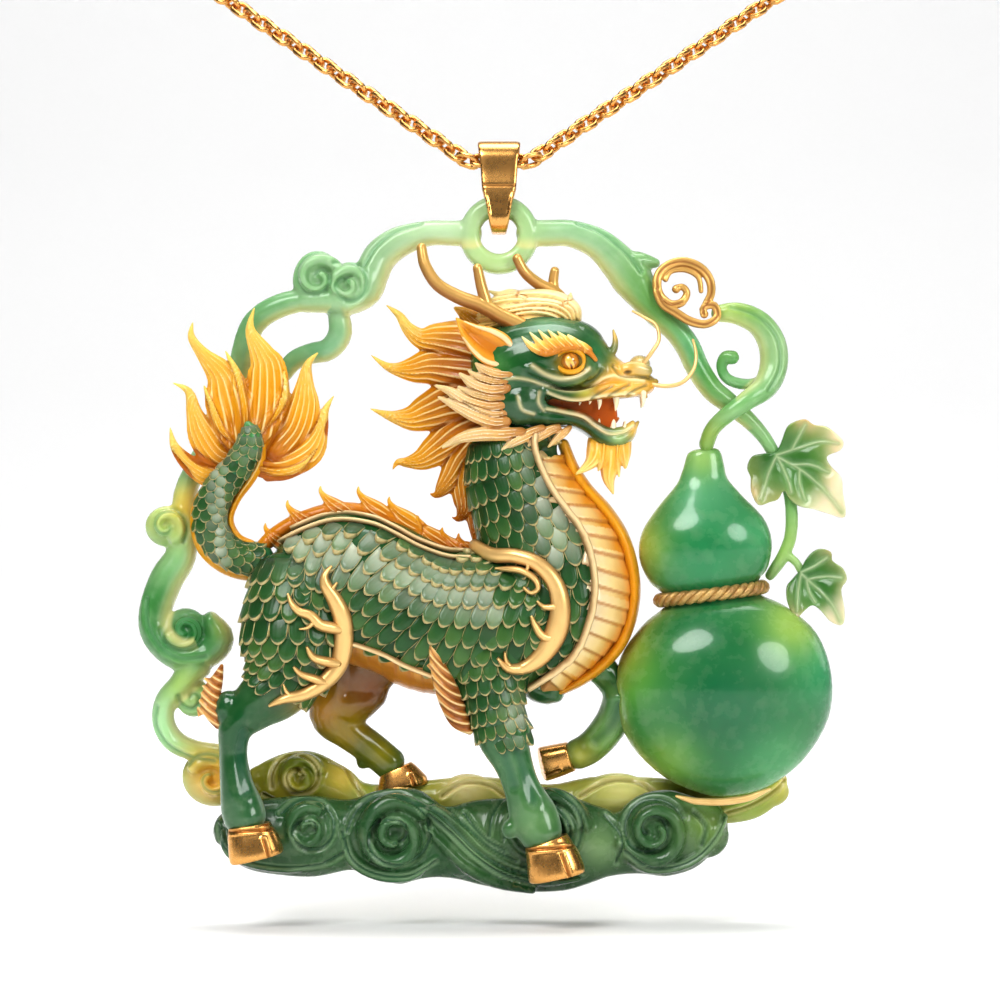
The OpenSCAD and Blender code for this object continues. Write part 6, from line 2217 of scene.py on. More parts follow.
    def trims(self) -> None:
        """Lay the double bead beside the plates, the cream line of the back and the gold bands."""
        chest = [(x - 0.02, z, 0.25) for x, z in smoothed(CHEST_EDGE, steps=5)[::3]]
        belly = [(x, z, 0.16) for x, z in BELLY_EDGE]
        self.bands("chest_cord", [chest], CORD_GOLD, [], proud=0.72, both=True, reach=0.2)
        self.bands("belly_cord", [belly], CORD_GOLD, [], proud=0.55, both=True, reach=0.2)
        hip = (
            ((-11.5, -23.1, 0.1), (-11.95, -23.7, 0.26), (-11.9, -24.4, 0.42), (-11.3, -25.4, 0.56),
             (-10.8, -26.6, 0.66), (-10.7, -28.2, 0.70), (-11.0, -29.8, 0.66), (-11.9, -31.0, 0.58),
             (-13.3, -31.9, 0.45), (-14.7, -32.2, 0.35), (-15.8, -32.7, 0.12)),
            ((-10.75, -27.5, 0.35), (-11.6, -27.3, 0.42), (-12.3, -27.1, 0.4), (-12.9, -26.5, 0.36),
             (-13.7, -26.2, 0.3), (-14.2, -25.7, 0.22), (-14.5, -25, 0.1)),
            ((-11.1, -29.8, 0.35), (-12.1, -29.6, 0.34), (-12.8, -29.3, 0.26), (-13.2, -28.6, 0.1)),
            ((-12, -31.1, 0.32), (-12.8, -30.8, 0.3), (-13.6, -30.5, 0.22), (-14.1, -30, 0.1)),
            ((-11.8, -24.9, 0.25), (-11.4, -24.6, 0.16), (-11.1, -24.2, 0.08)),
            ((-14.2, -32.1, 0.2), (-14.6, -31.7, 0.14), (-14.8, -31.2, 0.07)),
            ((-12.6, -26.8, 0.2), (-13.1, -27.3, 0.14), (-13.7, -27.4, 0.07)),
        )
        shoulder = (
            ((-2.4, -20.9, 0.25), (-1.5, -21.8, 0.45), (-0.4, -22.35, 0.52), (1.1, -22.4, 0.52),
             (2.6, -22.9, 0.54), (3.75, -24.1, 0.6), (4.2, -25.5, 0.68), (4.1, -27, 0.78),
             (3.6, -28.3, 0.78), (2.8, -29.4, 0.64), (1.7, -30.1, 0.48), (0.6, -30.1, 0.32),
             (-0.1, -29.4, 0.1)),
            ((-0.3, -23.3, 0.08), (0.6, -23.3, 0.22), (1.5, -23.4, 0.26), (2.4, -23.9, 0.24),
             (2.7, -24.6, 0.2), (2.2, -24.95, 0.16), (1.7, -24.6, 0.12)),
            ((3.9, -25.9, 0.3), (3.1, -25.9, 0.2), (2.6, -25.5, 0.08)),
            ((3.9, -28.1, 0.4), (3, -27.9, 0.32), (2.5, -27.2, 0.24), (2.2, -26.5, 0.1)),
            ((0.9, -30.2, 0.22), (0.5, -29.6, 0.16), (0.4, -29.0, 0.08)),
            ((1.8, -22.6, 0.2), (2.0, -23.2, 0.16), (1.5, -23.6, 0.08)),
        )
        self.bands("hip_flame_gold", hip, SATIN, ["hip_flame"], proud=0.46, reach=0.6)
        self.bands("shoulder_scroll_gold", shoulder, SATIN, ["shoulder_scroll"], proud=0.46, reach=0.5)

    def bands(
        self, name: str, lines: Sequence, finish: Finish, replaces: Sequence[str], proud: float,
        both: bool = False, reach: float = 0.25,
    ) -> None:
        """Lay bands of x, z and half width on the near side of the skin, or on both sides.

        Args:
            name: The piece's name.
            lines: The bands' rows.
            finish: What they are made of.
            replaces: The CAD nodes that they stand for.
            proud: How far they stand over the scales.
            both: Whether the far side has them too.
            reach: How far round them the skin's highest place is sought.
        """
        bm, edge, sides = bmesh.new(), [], 12
        around = ((0, 0), (-reach, 0), (reach, 0), (0, reach))
        for face in (-1.0, 1.0) if both else (-1.0,):
            inward = Vector((0.0, -face, 0.0))
            for line in lines:
                spots, outs, halves = [], [], []
                for x, z, half in smoothed(line, steps=5):
                    starts = [Vector((x + dx, CLEAR * face, z + dz)) for dx, dz in around]
                    found = [self.ground.ray_cast(start, inward) for start in starts]
                    hits = [h for h in found if h[0] is not None]
                    if not hits:
                        continue
                    hit, normal, _, _ = max(hits, key=lambda h: h[0].y * face)
                    normal = (normal + 2 * Vector((0.0, face, 0.0))).normalized()
                    spots.append(np.array((x, hit.y + face * proud * 0.55, z)))
                    outs.append(np.array(normal))
                    halves.append(max(half, 1.2 * HAIR))
                if len(spots) < 3:
                    continue
                ways = np.gradient(np.array(spots), axis=0)
                frames = [
                    ring_frame(s, w, o, h, proud * min(1.0, 0.4 + h * 2))
                    for s, w, o, h in zip(spots, ways, outs, halves)
                ]
                sweep(bm, frames, sides)
                bm.verts.ensure_lookup_table()
                # Painted shade: the edges of each band are marked dark, where they turn away.
                for ring in frames:
                    back = ring.inverted()
                    edge += [abs((back @ v.co).x) ** 4 for v in bm.verts[len(edge):len(edge) + sides]]
        as_piece(bm, name, finish, "gold", replaces, marks={"line": np.array(edge)})

    def hooves(self) -> None:
        """Shape the four cloven gold hooves with their pastern rings."""
        shapes = (
            (
                "hoof_hind_near_gold", "hoof_hind_near",
                ((-17.25, -41.0, -3.2, 1.45, 1.2), (-17.15, -41.6, -3.2, 1.65, 1.35),
                 (-16.95, -42.3, -3.25, 1.82, 1.45), (-16.75, -43.1, -3.3, 1.92, 1.5),
                 (-16.7, -43.3, -3.3, 1.8, 1.4)),
                ((-16.2, -41.9), (-15.7, -43.4)),
            ),
            (
                "hoof_fore_near_gold", "hoof_fore_near",
                ((3.25, -42.1, -3.3, 1.55, 1.2), (3.5, -42.8, -3.3, 1.72, 1.35),
                 (3.75, -43.5, -3.35, 1.9, 1.45), (4.0, -44.4, -3.4, 2.0, 1.5),
                 (4.05, -44.6, -3.4, 1.88, 1.4)),
                ((4.3, -42.9), (5.0, -44.7)),
            ),
            (
                "hoof_hind_far_gold", "hoof_hind_far",
                ((-7.3, -37.5, 2.6, 1.2, 1), (-7.1, -38, 2.6, 1.5, 1.15), (-6.85, -38.7, 2.6, 1.85, 1.3),
                 (-6.8, -38.9, 2.6, 1.75, 1.2)),
                ((-6.2, -37.9), (-5.8, -39)),
            ),
            (
                "hoof_fore_far_gold", "hoof_fore_far",
                ((5.1, -36.65, 2.35, 1.05, 1), (4.3, -36.9, 2.5, 1.15, 1.1), (3.2, -37.2, 2.6, 1.22, 1.1),
                 (3.0, -37.25, 2.6, 1.12, 1.0)),
                ((4.2, -37.6), (3.0, -38.1)),
            ),
        )
        for name, node, rows, cleft in shapes:
            blank = Blank()
            sweep(blank.bm, Stroke(rows, steps=4, sides=32, blunt=False).frames(), sides=32, square=2.6)
            skin = blank.fused(voxel=0.07, soften=2)
            x, z, _, half, _ = rows[1]
            band = [(x - half, z + 0.15), (x, z + 0.28), (x + half, z + 0.42)]
            skin.groove([cleft] if "far" in name else [cleft, band], width=0.09, depth=0.13, rim=0.05)
            skin.place(name, POLISHED, "gold", [node])

    def crest(self) -> None:
        """Carve the flame crest along the back."""
        tips = (
            (-16.3, -20.15), (-14.75, -18.55), (-12.45, -17.55), (-9.8, -17.6), (-7.65, -18.3),
            (-5.65, -19.6), (-3.95, -20.45), (-2.8, -20.85),
        )
        hook = (
            (2.3, -2.2, 0.4, 0.5), (1.5, -1.7, 0.55, 0.5), (0.8, -1.25, 0.48, 0.42),
            (0.25, -0.75, 0.26, 0.25), (-0.02, -0.35, 0.15, 0.18), (0.0, 0.0, 0.05, 0.08),
        )
        rows = [[(x + a, z + b, -0.6, half, deep) for a, b, half, deep in hook] for x, z in tips]
        blank = Blank().stroke(RIDGE, steps=4, sides=14).strokes(rows, steps=5, sides=12, blunt=False)
        skin = blank.fused(voxel=0.08, soften=1)
        skin.comb(paths(rows), strands=3.0, depth=0.10)
        line = np.array([row[:2] for row in RIDGE])
        over = skin.spots[:, 2] - np.interp(skin.spots[:, 0], line[:, 0], line[:, 1])
        skin.marks["along"] = ramp(over, -0.2, 2.6)
        skin.place(
            "back_crest_flame", Flame("crest_amber", root=(0.50, 0.15, 0.004), strand_share=0.6), "amber",
            ["back_crest"],
        )
        beads = [
            [(x + 0.05, z - down, half) for x, z, *_ in RIDGE]
            for down, half in ((0.30, 0.17), (0.72, 0.15))
        ]
        self.bands("back_line", beads, CORD_GOLD, [], proud=0.5, both=True, reach=0.1)

    def tufts(self) -> None:
        """Carve the ribbed tufts at the hock and the elbow."""
        hock = (
            (-19.2, -30.0, -2.6, 0.12, 0.25), (-19.5, -30.9, -2.65, 0.42, 0.5),
            (-19.85, -31.8, -2.75, 0.66, 0.7), (-19.95, -32.6, -2.8, 0.72, 0.75),
            (-19.75, -33.4, -2.8, 0.6, 0.65), (-19.4, -34.2, -2.8, 0.28, 0.4),
        )
        elbow = (
            (-4.75, -28.6, -4.5, 0.1, 0.25), (-4.4, -29.5, -4.3, 0.42, 0.6), (-4.0, -30.6, -3.9, 0.68, 0.9),
            (-3.6, -31.7, -3.5, 0.82, 0.95), (-3.2, -32.7, -3.1, 0.85, 0.9),
            (-2.7, -33.8, -2.9, 0.72, 0.75), (-2.0, -34.6, -2.9, 0.25, 0.45),
        )
        hock_barbs = [
            (
                (-19.6 - 0.25 * k, -31.2 - 0.55 * k, -2.8, 0.3, 0.4),
                (-20.4 - 0.12 * k, -30.9 - 0.5 * k, -2.9, 0.07, 0.12),
            )
            for k in range(5)
        ]
        elbow_barbs = [
            ((-4.3 + 0.3 * k, -30.2 - 0.8 * k, -4.2 + 0.2 * k, 0.4, 0.5), (
                -4.95 + 0.3 * k, -29.9 - 0.8 * k, -4.4 + 0.2 * k, 0.08, 0.12,
            ))
            for k in range(5)
        ]
        for name, rows, node, barbs in (
            ("hock_tuft_ribs", hock, "hock_tuft", hock_barbs),
            ("elbow_tuft_ribs", elbow, "elbow_tuft", elbow_barbs),
        ):
            blank = Blank().stroke(rows, steps=5, sides=16).strokes(barbs, steps=4, sides=10, blunt=False)
            skin = blank.fused(voxel=0.07, soften=1)
            at = skin.spots
            slope = at[:, 2] + 0.7 * at[:, 0] - 0.25 * (at[:, 0] - at[:, 0].mean()) ** 2
            ribs = 0.5 + 0.5 * np.cos(2 * math.pi * slope / 0.62)
            skin.swell(0.16 * (ribs - 0.6) * skin.facing)
            skin.mark("strand", ribs)
            skin.mark("along", 0.25 + 0.5 * ramp(at[:, 0] - at[:, 0].min(), 2.2, 0.0))
            # Painted shade in the valleys between the ribs.
            skin.mark("seam", 0.8 * (1 - ramp(ribs, 0.05, 0.35)))
            skin.place(
                name,
                Flame(
                    "tuft_horn", root=(0.20, 0.05, 0.01), middle=(0.50, 0.20, 0.04), tip=(0.82, 0.50, 0.18),
                    strand=(0.90, 0.68, 0.34), strand_share=0.8,
                ),
                "plate_ivory", [node],
            )

    def build(self) -> None:
        """Make the body with all that lies on it."""
        self.skin()
        self.scaled()
        self.plates()
        self.trims()
        self.hooves()
        self.crest()
        self.tufts()


# Head and tail


MANE = (
    ((0.3, -8.4, 0, 2.0, 2.1), (-2.4, -7.6, 0.2, 1.7, 1.8), (-4.3, -7.3, 0.3, 1.2, 1.2),
     (-5.5, -7.2, 0.3, 0.75, 0.8), (-6.4, -6.5, 0.3, 0.45, 0.5), (-7.0, -5.6, 0.3, 0.28, 0.3),
     (-7.9, -4.9, 0.3, 0.06, 0.1)),
    ((0, -9.8, 0, 2.1, 2.3), (-2.8, -9.4, 0.2, 1.8, 1.9), (-4.7, -9.2, 0.3, 1.35, 1.3),
     (-6.0, -9.4, 0.3, 0.95, 0.9), (-7.1, -9.4, 0.3, 0.5, 0.5), (-8.0, -9.1, 0.3, 0.25, 0.3),
     (-8.95, -8.4, 0.3, 0.06, 0.1)),
    ((0, -11.6, 0, 2.2, 2.4), (-3.0, -11.8, 0.2, 1.9, 1.9), (-4.9, -12.4, 0.3, 1.4, 1.3),
     (-6.1, -12.8, 0.3, 0.95, 0.9), (-7.2, -12.75, 0.3, 0.5, 0.5), (-8.1, -12.5, 0.3, 0.25, 0.3),
     (-9.0, -12.15, 0.3, 0.06, 0.1)),
    ((0, -13, 0, 2.1, 2.3), (-2.6, -13.9, 0.2, 1.7, 1.8), (-4.3, -15.0, 0.3, 1.2, 1.1),
     (-5.4, -15.7, 0.3, 0.8, 0.8), (-6.4, -15.9, 0.3, 0.4, 0.4), (-7.1, -15.9, 0.3, 0.22, 0.25),
     (-7.45, -16.4, 0.3, 0.06, 0.1)),
    ((-0.8, -14, 0.2, 1.8, 2.0), (-2.4, -15.6, 0.4, 1.4, 1.5), (-3.2, -16.8, 0.4, 1.0, 1.0),
     (-3.9, -17.7, 0.4, 0.6, 0.6), (-4.4, -18.2, 0.4, 0.25, 0.3), (-4.85, -18.1, 0.4, 0.06, 0.1)),
    ((-2.2, -15.6, 0.4, 1.2, 1.2), (-2.5, -17.2, 0.4, 1.0, 1.0), (-2.35, -18.9, 0.4, 0.8, 0.85),
     (-2.6, -19.6, 0.4, 0.45, 0.5), (-2.9, -19.9, 0.4, 0.2, 0.25), (-3.3, -19.75, 0.4, 0.06, 0.1)),
    ((-1.9, -18.0, 0.4, 0.7, 0.8), (-1.75, -19.8, 0.3, 0.55, 0.7), (-1.5, -21.6, 0.2, 0.3, 0.4)),
    ((1, -7.5, -0.3, 1.4, 1.6), (-0.8, -6.6, 0, 1.15, 1.3), (-2.2, -5.6, 0.1, 0.6, 0.7),
     (-3.1, -5.1, 0.1, 0.12, 0.2)),
)
HAIR_OUTER = ((5.5, -6.0), (5.35, -5.2), (4.5, -4.55), (3.2, -4.2), (1.6, -4.2), (0.2, -4.4), (-1.1, -4.75))
HAIR_INNER = ((4.3, -6.4), (3.6, -6.25), (2.8, -6.2), (1.8, -6.3), (0.8, -6.5), (-0.4, -6.9), (-1.6, -7.1))


@dataclass
class Head:
    """The horned head with its face, ears, mane, beard, antlers and whiskers."""

    middle: float = -1.25
    eye: tuple[float, float] = (4.9, -8.95)
    eye_radius: float = 0.66
    ground: Optional[BVHTree] = None

    def pair(self, rows: Sequence[Row]) -> list[Sequence[Row]]:
        """Give a stroke on the near side and the same on the far side."""
        return [list(rows), mirrored(rows, self.middle)]

    def skull(self) -> None:
        """Carve the head in one with the jaw, the cheeks, the snout and the lips."""
        skull = (
            (0.4, -9.8, -1, 3.1, 2.9), (1.6, -9.2, -1.1, 3.3, 3.05), (2.9, -8.85, -1.2, 3.2, 3.1),
            (4.4, -8.75, -1.25, 2.95, 2.95), (5.8, -9.05, -1.25, 2.45, 2.6), (7.0, -9.65, -1.25, 1.75, 2.2),
            (8.2, -10.1, -1.25, 1.3, 1.95), (9.4, -10.3, -1.25, 1.05, 1.75),
            (10.3, -10.5, -1.25, 0.75, 1.25),
        )
        jaw = (
            (0.8, -12, -1, 1.9, 2.4), (2.2, -12.5, -1.15, 1.3, 2.45), (3.6, -12.85, -1.25, 0.72, 2.3),
            (5.0, -12.95, -1.25, 0.56, 2.1), (6.2, -13.4, -1.25, 0.62, 1.85),
            (7.2, -14.1, -1.25, 0.68, 1.65), (8.2, -14.35, -1.25, 0.6, 1.45), (9.0, -14.0, -1.25, 0.5, 1.1),
            (9.5, -13.3, -1.25, 0.2, 0.6),
        )
        blank = Blank().strokes([skull, jaw], steps=5, sides=30)
        pairs = (
            ((1.2, -9.3, -3.55, 0.3, 0.4), (2.3, -9.55, -3.95, 0.42, 0.5), (3.5, -10.0, -3.95, 0.48, 0.5),
             (4.6, -10.3, -3.8, 0.48, 0.5), (5.7, -10.05, -3.5, 0.42, 0.45), (6.6, -9.4, -3.1, 0.3, 0.35)),
            ((3.0, -10.95, -3.5, 0.3, 0.4), (4.4, -11.35, -3.6, 0.38, 0.45), (5.6, -11.4, -3.5, 0.42, 0.5),
             (6.8, -11.15, -3.25, 0.5, 0.6), (8.0, -10.95, -2.95, 0.55, 0.65),
             (9.2, -10.9, -2.6, 0.52, 0.6), (10.2, -10.75, -2.1, 0.42, 0.5), (10.9, -10.3, -1.8, 0.22, 0.3)),
            ((8.6, -9.5, -2.75, 0.4, 0.4), (9.4, -9.4, -2.65, 0.5, 0.5), (10.3, -9.6, -2.4, 0.42, 0.5)),
            ((3.2, -12.2, -3.2, 0.28, 0.4), (4.6, -12.45, -3.2, 0.26, 0.4), (5.8, -12.7, -3.05, 0.26, 0.4),
             (6.7, -13.3, -2.8, 0.26, 0.4), (7.6, -13.75, -2.6, 0.26, 0.4), (8.6, -13.65, -2.3, 0.24, 0.35),
             (9.3, -13.2, -2.0, 0.2, 0.3)),
            ((3.3, -12.2, -3.2, 0.26, 0.4), (2.95, -11.75, -3.35, 0.28, 0.4),
             (3.0, -11.25, -3.45, 0.26, 0.4), (3.5, -11.05, -3.5, 0.24, 0.35)),
            ((7.3, -8.7, -1.9, 0.4, 0.6), (7.9, -8.2, -1.8, 0.3, 0.45), (8.1, -7.5, -1.7, 0.2, 0.3),
             (7.95, -6.7, -1.6, 0.07, 0.1)),
            ((9.9, -11.1, -2.1, 0.35, 0.4), (10.25, -11.4, -2.0, 0.12, 0.15)),
            ((9.3, -13.6, -1.6, 0.3, 0.5), (9.7, -13.1, -1.5, 0.1, 0.15)),
        )
        for rows in pairs:
            blank.strokes(self.pair(rows), steps=5, sides=14)
        for y in (-2.7, 0.2):
            blank.ball(1.6, -11.7, y, 1.85, 1.75, 1.3)
        blank.ball(9.8, -9.1, self.middle, 0.75, 0.65, 1.15).ball(5.6, -7.3, self.middle, 1.9, 1.2, 1.8, -25)
        skin = blank.fused(voxel=0.088, soften=3)
        at = skin.spots
        gap = np.hypot(at[:, 0] - self.eye[0], (at[:, 2] - self.eye[1]) * 1.1)
        skin.swell(-0.45 * np.exp(-((gap / 0.95) ** 4)) * skin.facing)
        snout = ramp(at[:, 0], 2.0, 9.0)
        skin.groove([
            [(-0.4, -10.5), (0.8, -10.15), (2, -10.25), (3.2, -10.65), (4.5, -11.0), (5.5, -11.0),
             (6.4, -10.7), (7.2, -10.15), (8.0, -9.95), (9, -10.15), (10, -10.25)],
            [(3.3, -12.25), (4.6, -12.5), (5.8, -12.8), (6.7, -13.45), (7.6, -13.95), (8.6, -13.85),
             (9.3, -13.4)],
            [(3.4, -11.15), (4.5, -11.55), (5.6, -11.65), (6.8, -11.4), (8.0, -11.25), (9.3, -11.15)],
            [(2.8, -11.1), (2.72, -11.8), (3.1, -12.35)], [(1.3, -11.4), (1.6, -12.3), (2.4, -12.6)],
        ], width=0.12, depth=-0.10, name="lip")
        # The pale bead along the cheek ridge under the eye is a painted highlight.
        skin.groove([
            [(2.3, -9.3), (3.2, -9.9), (4.3, -10.2), (5.4, -10.0), (6.2, -9.5)]
        ], width=0.16, depth=-0.08, name="lip")
        skin.groove([
            [(8.75, -9.75), (9.05, -9.7)], [(7.9, -9.3), (8.4, -9.95), (9.5, -10.0), (10.4, -10.1)],
            [(6.4, -11.6), (6.9, -11.2), (7.8, -10.7)], [(7.6, -11.4), (8.2, -11.0), (9.0, -10.6)],
            [(8.9, -11.3), (9.5, -10.9), (10.2, -10.6)], [(5.9, -10.5), (6.6, -10.2), (7.1, -9.6)],
        ], width=0.11, depth=0.13, rim=0.05)
        skin.marks["lip"] = skin.marks["lip"] * (0.55 + 0.35 * snout)
        gold, deep = (0.88, 0.50, 0.08), (0.46, 0.10, 0.01)
        skin.stain((0.02, 0.13, 0.04), [
            (3.2, -6.4, 1.6, (0.12, 0.30, 0.16)), (6.6, -8.6, 1.3, (0.06, 0.24, 0.10)),
            (1.4, -11.8, 1.6, (0.02, 0.12, 0.04)), (-0.6, -9.5, 1.6, (0.10, 0.30, 0.08)),
            (6.0, -11.15, 0.75, (0.62, 0.62, 0.16)), (7.3, -10.9, 0.95, gold), (8.6, -10.6, 1.1, gold),
            (9.8, -10.6, 1.1, (0.98, 0.66, 0.20)), (9.9, -9.1, 0.8, (0.93, 0.74, 0.40)),
            (8.7, -9.0, 0.9, (0.88, 0.62, 0.22)), (8.4, -9.9, 0.8, (0.88, 0.52, 0.10)),
            (8.0, -7.1, 0.65, (0.93, 0.66, 0.24)), (10.8, -11, 0.8, gold),
            (9.3, -13.6, 0.85, (0.92, 0.62, 0.20)), (8.3, -14.2, 0.7, (0.42, 0.56, 0.26)),
            (5.6, -12.15, 0.55, deep), (6.6, -12.35, 0.75, deep), (7.4, -12.6, 0.75, deep),
            (4.4, -12.0, 0.4, deep), (self.eye[0], self.eye[1], 0.95, (0.62, 0.36, 0.05)),
            (8.9, -9.72, 0.16, (0.35, 0.12, 0.02)),
        ])
        self.ground = skin.tree()
        skin.place(
            "head_skin",
            Jade(
                "head_jade", cut=(0.01, 0.09, 0.03), lip=(1.0, 0.84, 0.48), lip_share=0.9, glow=0.12,
                depth=0.6, gloss=0.14, shine=0.5,
            ),
            "jade_dark", ["head"],
        )

    def depth_at(self, x: float, z: float, far: bool) -> float:
        """Find how far back the head's surface is at a place on the near or the far side."""
        side = 1.0 if far else -1.0
        hit, _, _, _ = self.ground.ray_cast(Vector((x, CLEAR * side, z)), Vector((0.0, -side, 0.0)))
        return hit.y if hit else self.middle

    def eyes(self) -> None:
        """Set an amber ball between two lids on each side."""
        x, z = self.eye
        bm = bmesh.new()
        marks: list[float] = []
        lids = Blank()
        for far in (False, True):
            side = 1.0 if far else -1.0
            y = self.depth_at(x, z, far)
            made = bmesh.ops.create_uvsphere(
                bm, u_segments=40, v_segments=24, radius=self.eye_radius,
            )["verts"]
            for v in made:
                ring = math.hypot(v.co.x, v.co.z) / self.eye_radius
                marks.append(ring if v.co.y * side > 0 else 1.0)
            bmesh.ops.translate(bm, verts=made, vec=(x, y - side * 0.12, z))
            for low, high in ((-20, 200), (185, 355)):
                rows = []
                for k in range(9):
                    a = math.radians(low + (high - low) * k / 8)
                    part = math.sin(math.pi * k / 8)
                    place = (x + 0.98 * math.cos(a), z + 0.80 * math.sin(a), y + side * (0.12 + 0.12 * part))
                    rows.append((*place, 0.1 + 0.12 * part, 0.14 + 0.14 * part))
                lids.stroke(rows, steps=4, sides=12)
        as_piece(bm, "eyeballs", EyeAmber("eye_amber"), "amber", marks={"ring": np.array(marks)})
        skin = lids.fused(voxel=0.05, soften=1)
        skin.mark("along", np.full(len(skin.spots), 0.45))
        skin.place("eyelids", Flame("lid_amber"), "amber")

    def brows(self) -> None:
        """Comb a row of tufts up and back over each eye."""
        tufts = [
            ((2.9, -8.35), (2.2, -7.95), (1.6, -7.3)), ((3.5, -8.3), (2.8, -7.75), (2.15, -7.0)),
            ((4.05, -8.15), (3.4, -7.6), (2.75, -6.85)), ((4.6, -8.05), (4.0, -7.5), (3.4, -6.85)),
            ((5.15, -8.0), (4.6, -7.5), (4.05, -6.95)), ((5.7, -8.05), (5.2, -7.6), (4.75, -7.15)),
            ((6.2, -8.25), (5.8, -7.9), (5.4, -7.5)),
        ]
        band = ((2.3, -8.15), (3.2, -8.5), (4.3, -8.15), (5.3, -8.0), (6.2, -8.35), (6.7, -8.9))
        blank, locks = Blank(), []
        for far in (False, True):
            side = 1.0 if far else -1.0
            for line in [band] + tufts:
                rows = []
                for k, (x, z) in enumerate(line):
                    y = self.depth_at(x, z, far) + side * 0.12
                    swell = 0.14 + 0.12 * math.sin(math.pi * k / (len(line) - 1))
                    half = swell if line is band else (0.30, 0.26, 0.06)[k]
                    rows.append((x, z, y, half, half * 0.9 + 0.08))
                blank.stroke(rows, steps=5, sides=12)
                if line is not band and not far:
                    locks.append(rows)
        skin = blank.fused(voxel=0.05, soften=1)
        skin.comb(paths(locks), strands=2.0, depth=0.05, parting=0.05)
        skin.place(
            "brows",
            Flame("brow_amber", root=(0.58, 0.22, 0.02), middle=(0.86, 0.50, 0.09), tip=(0.95, 0.78, 0.38)),
            "amber",
        )

    def mouth(self) -> None:
        """Line the mouth in dark amber, with a tongue and teeth."""
        lining = (
            (3.3, -11.3), (4.5, -11.2), (6.5, -11.1), (8.0, -11.2), (8.15, -12.2), (8.2, -12.9),
            (7.9, -13.6), (7.0, -13.5), (6.1, -12.95), (5.0, -12.7), (3.6, -12.5),
        )
        skin = Blank().plate(lining, self.middle, half=1.35).fused(voxel=0.08, soften=2)
        skin.mark("along", np.full(len(skin.spots), 0.1))
        skin.place(
            "mouth_lining",
            Flame("mouth_amber", root=(0.42, 0.08, 0.005), middle=(0.55, 0.14, 0.01), tip=(0.7, 0.24, 0.02)),
            "amber",
        )
        tongue = (
            (3.8, -12.2, self.middle, 0.3, 1.2), (5.4, -12.25, self.middle, 0.32, 1.3),
            (6.8, -12.7, self.middle, 0.32, 1.2), (7.8, -13.1, self.middle, 0.26, 1.0),
            (8.3, -12.85, self.middle, 0.12, 0.6),
        )
        skin = Blank().stroke(tongue, steps=5, sides=18).fused(voxel=0.08, soften=2)
        skin.mark("along", np.full(len(skin.spots), 0.3))
        skin.place(
            "tongue",
            Flame("tongue_amber", root=(0.66, 0.16, 0.02), middle=(0.80, 0.25, 0.03), tip=(0.9, 0.4, 0.08)),
            "amber",
        )
        blank = Blank()
        upper = (
            (5.6, -11.6, -11.95, 0.12), (6.3, -11.55, -11.9, 0.12), (6.95, -11.5, -12.25, 0.19),
            (8.1, -11.3, -12.35, 0.24), (10.0, -11.1, -12.05, 0.2),
        )
        lower = ((6.9, -13.3, -12.95, 0.12), (7.9, -13.6, -12.8, 0.22), (8.7, -13.5, -13.1, 0.12))
        for teeth, front, narrowing, bow, lean in (
            (upper, -3.62, 0.08, 0.02, -0.04), (lower, -3.53, 0.12, 0.05, 0.05),
        ):
            for x, root, tip, half in teeth:
                y = front + narrowing * x
                tooth = (
                    (x, root, y, half, half), (x + bow, (root + tip) / 2, y + 0.05, half * 0.75, half * 0.75),
                    (x + lean, tip, y + 0.1, HAIR, HAIR),
                )
                blank.strokes(self.pair(tooth), steps=4, sides=12)
        blank.bare().place("teeth", Ivory("tooth_ivory"), "plate_ivory")

    def ears(self) -> None:
        """Cup an ear on each side, orange within and cream along its rim."""
        rows = (
            (1.0, -8.75, -3.1, 0.55, 0.5), (0.2, -8.4, -3.25, 0.95, 0.6), (-0.9, -7.8, -3.25, 1.1, 0.6),
            (-1.9, -7.1, -3.1, 0.75, 0.45), (-2.5, -6.5, -2.95, 0.4, 0.3),
            (-2.95, -5.95, -2.85, 0.08, 0.12),
        )
        fold = (
            (0.95, -8.1, -3.4, 0.3, 0.4), (0.4, -7.4, -3.5, 0.32, 0.4), (-0.5, -6.9, -3.45, 0.28, 0.35),
            (-1.5, -6.6, -3.3, 0.18, 0.25), (-2.4, -6.2, -3.05, 0.08, 0.12),
        )
        tuck = (
            (0.9, -9.0, -3.4, 0.3, 0.35), (0.1, -9.2, -3.45, 0.3, 0.4), (-0.9, -8.95, -3.4, 0.26, 0.35),
            (-1.8, -8.2, -3.2, 0.2, 0.3), (-2.5, -7.3, -3.0, 0.1, 0.15),
        )
        blank = Blank()
        for line in (rows, fold, tuck):
            blank.strokes(self.pair(line), steps=5, sides=16)
        skin = blank.fused(voxel=0.07, soften=2)
        spots = skin.spots[:, [0, 2]]
        side, share, _, _ = beside(spots, Stroke(rows, steps=6).path())
        inside = np.exp(-((np.abs(side) / 0.55) ** 4)) * ramp(share, 0.06, 0.2) * ramp(share, 0.97, 0.7)
        skin.swell(-0.42 * inside * skin.facing)
        skin.mark("along", 0.28 + 0.25 * share)
        rim = np.zeros(len(spots))
        for line in (fold, tuck):
            reach = beside(spots, Stroke(line, steps=5).path())[3]
            rim = np.maximum(rim, np.exp(-((reach / 0.9) ** 4)))
        skin.mark("strand", rim)
        # Painted shade in the ear's hollow.
        skin.mark("seam", 0.9 * inside)
        skin.place(
            "ear_leaves",
            Flame(
                "ear_amber", root=(0.50, 0.13, 0.005), middle=(0.78, 0.36, 0.03), strand=(0.93, 0.80, 0.54),
            ),
            "amber", ["ear_near", "ear_far"],
        )

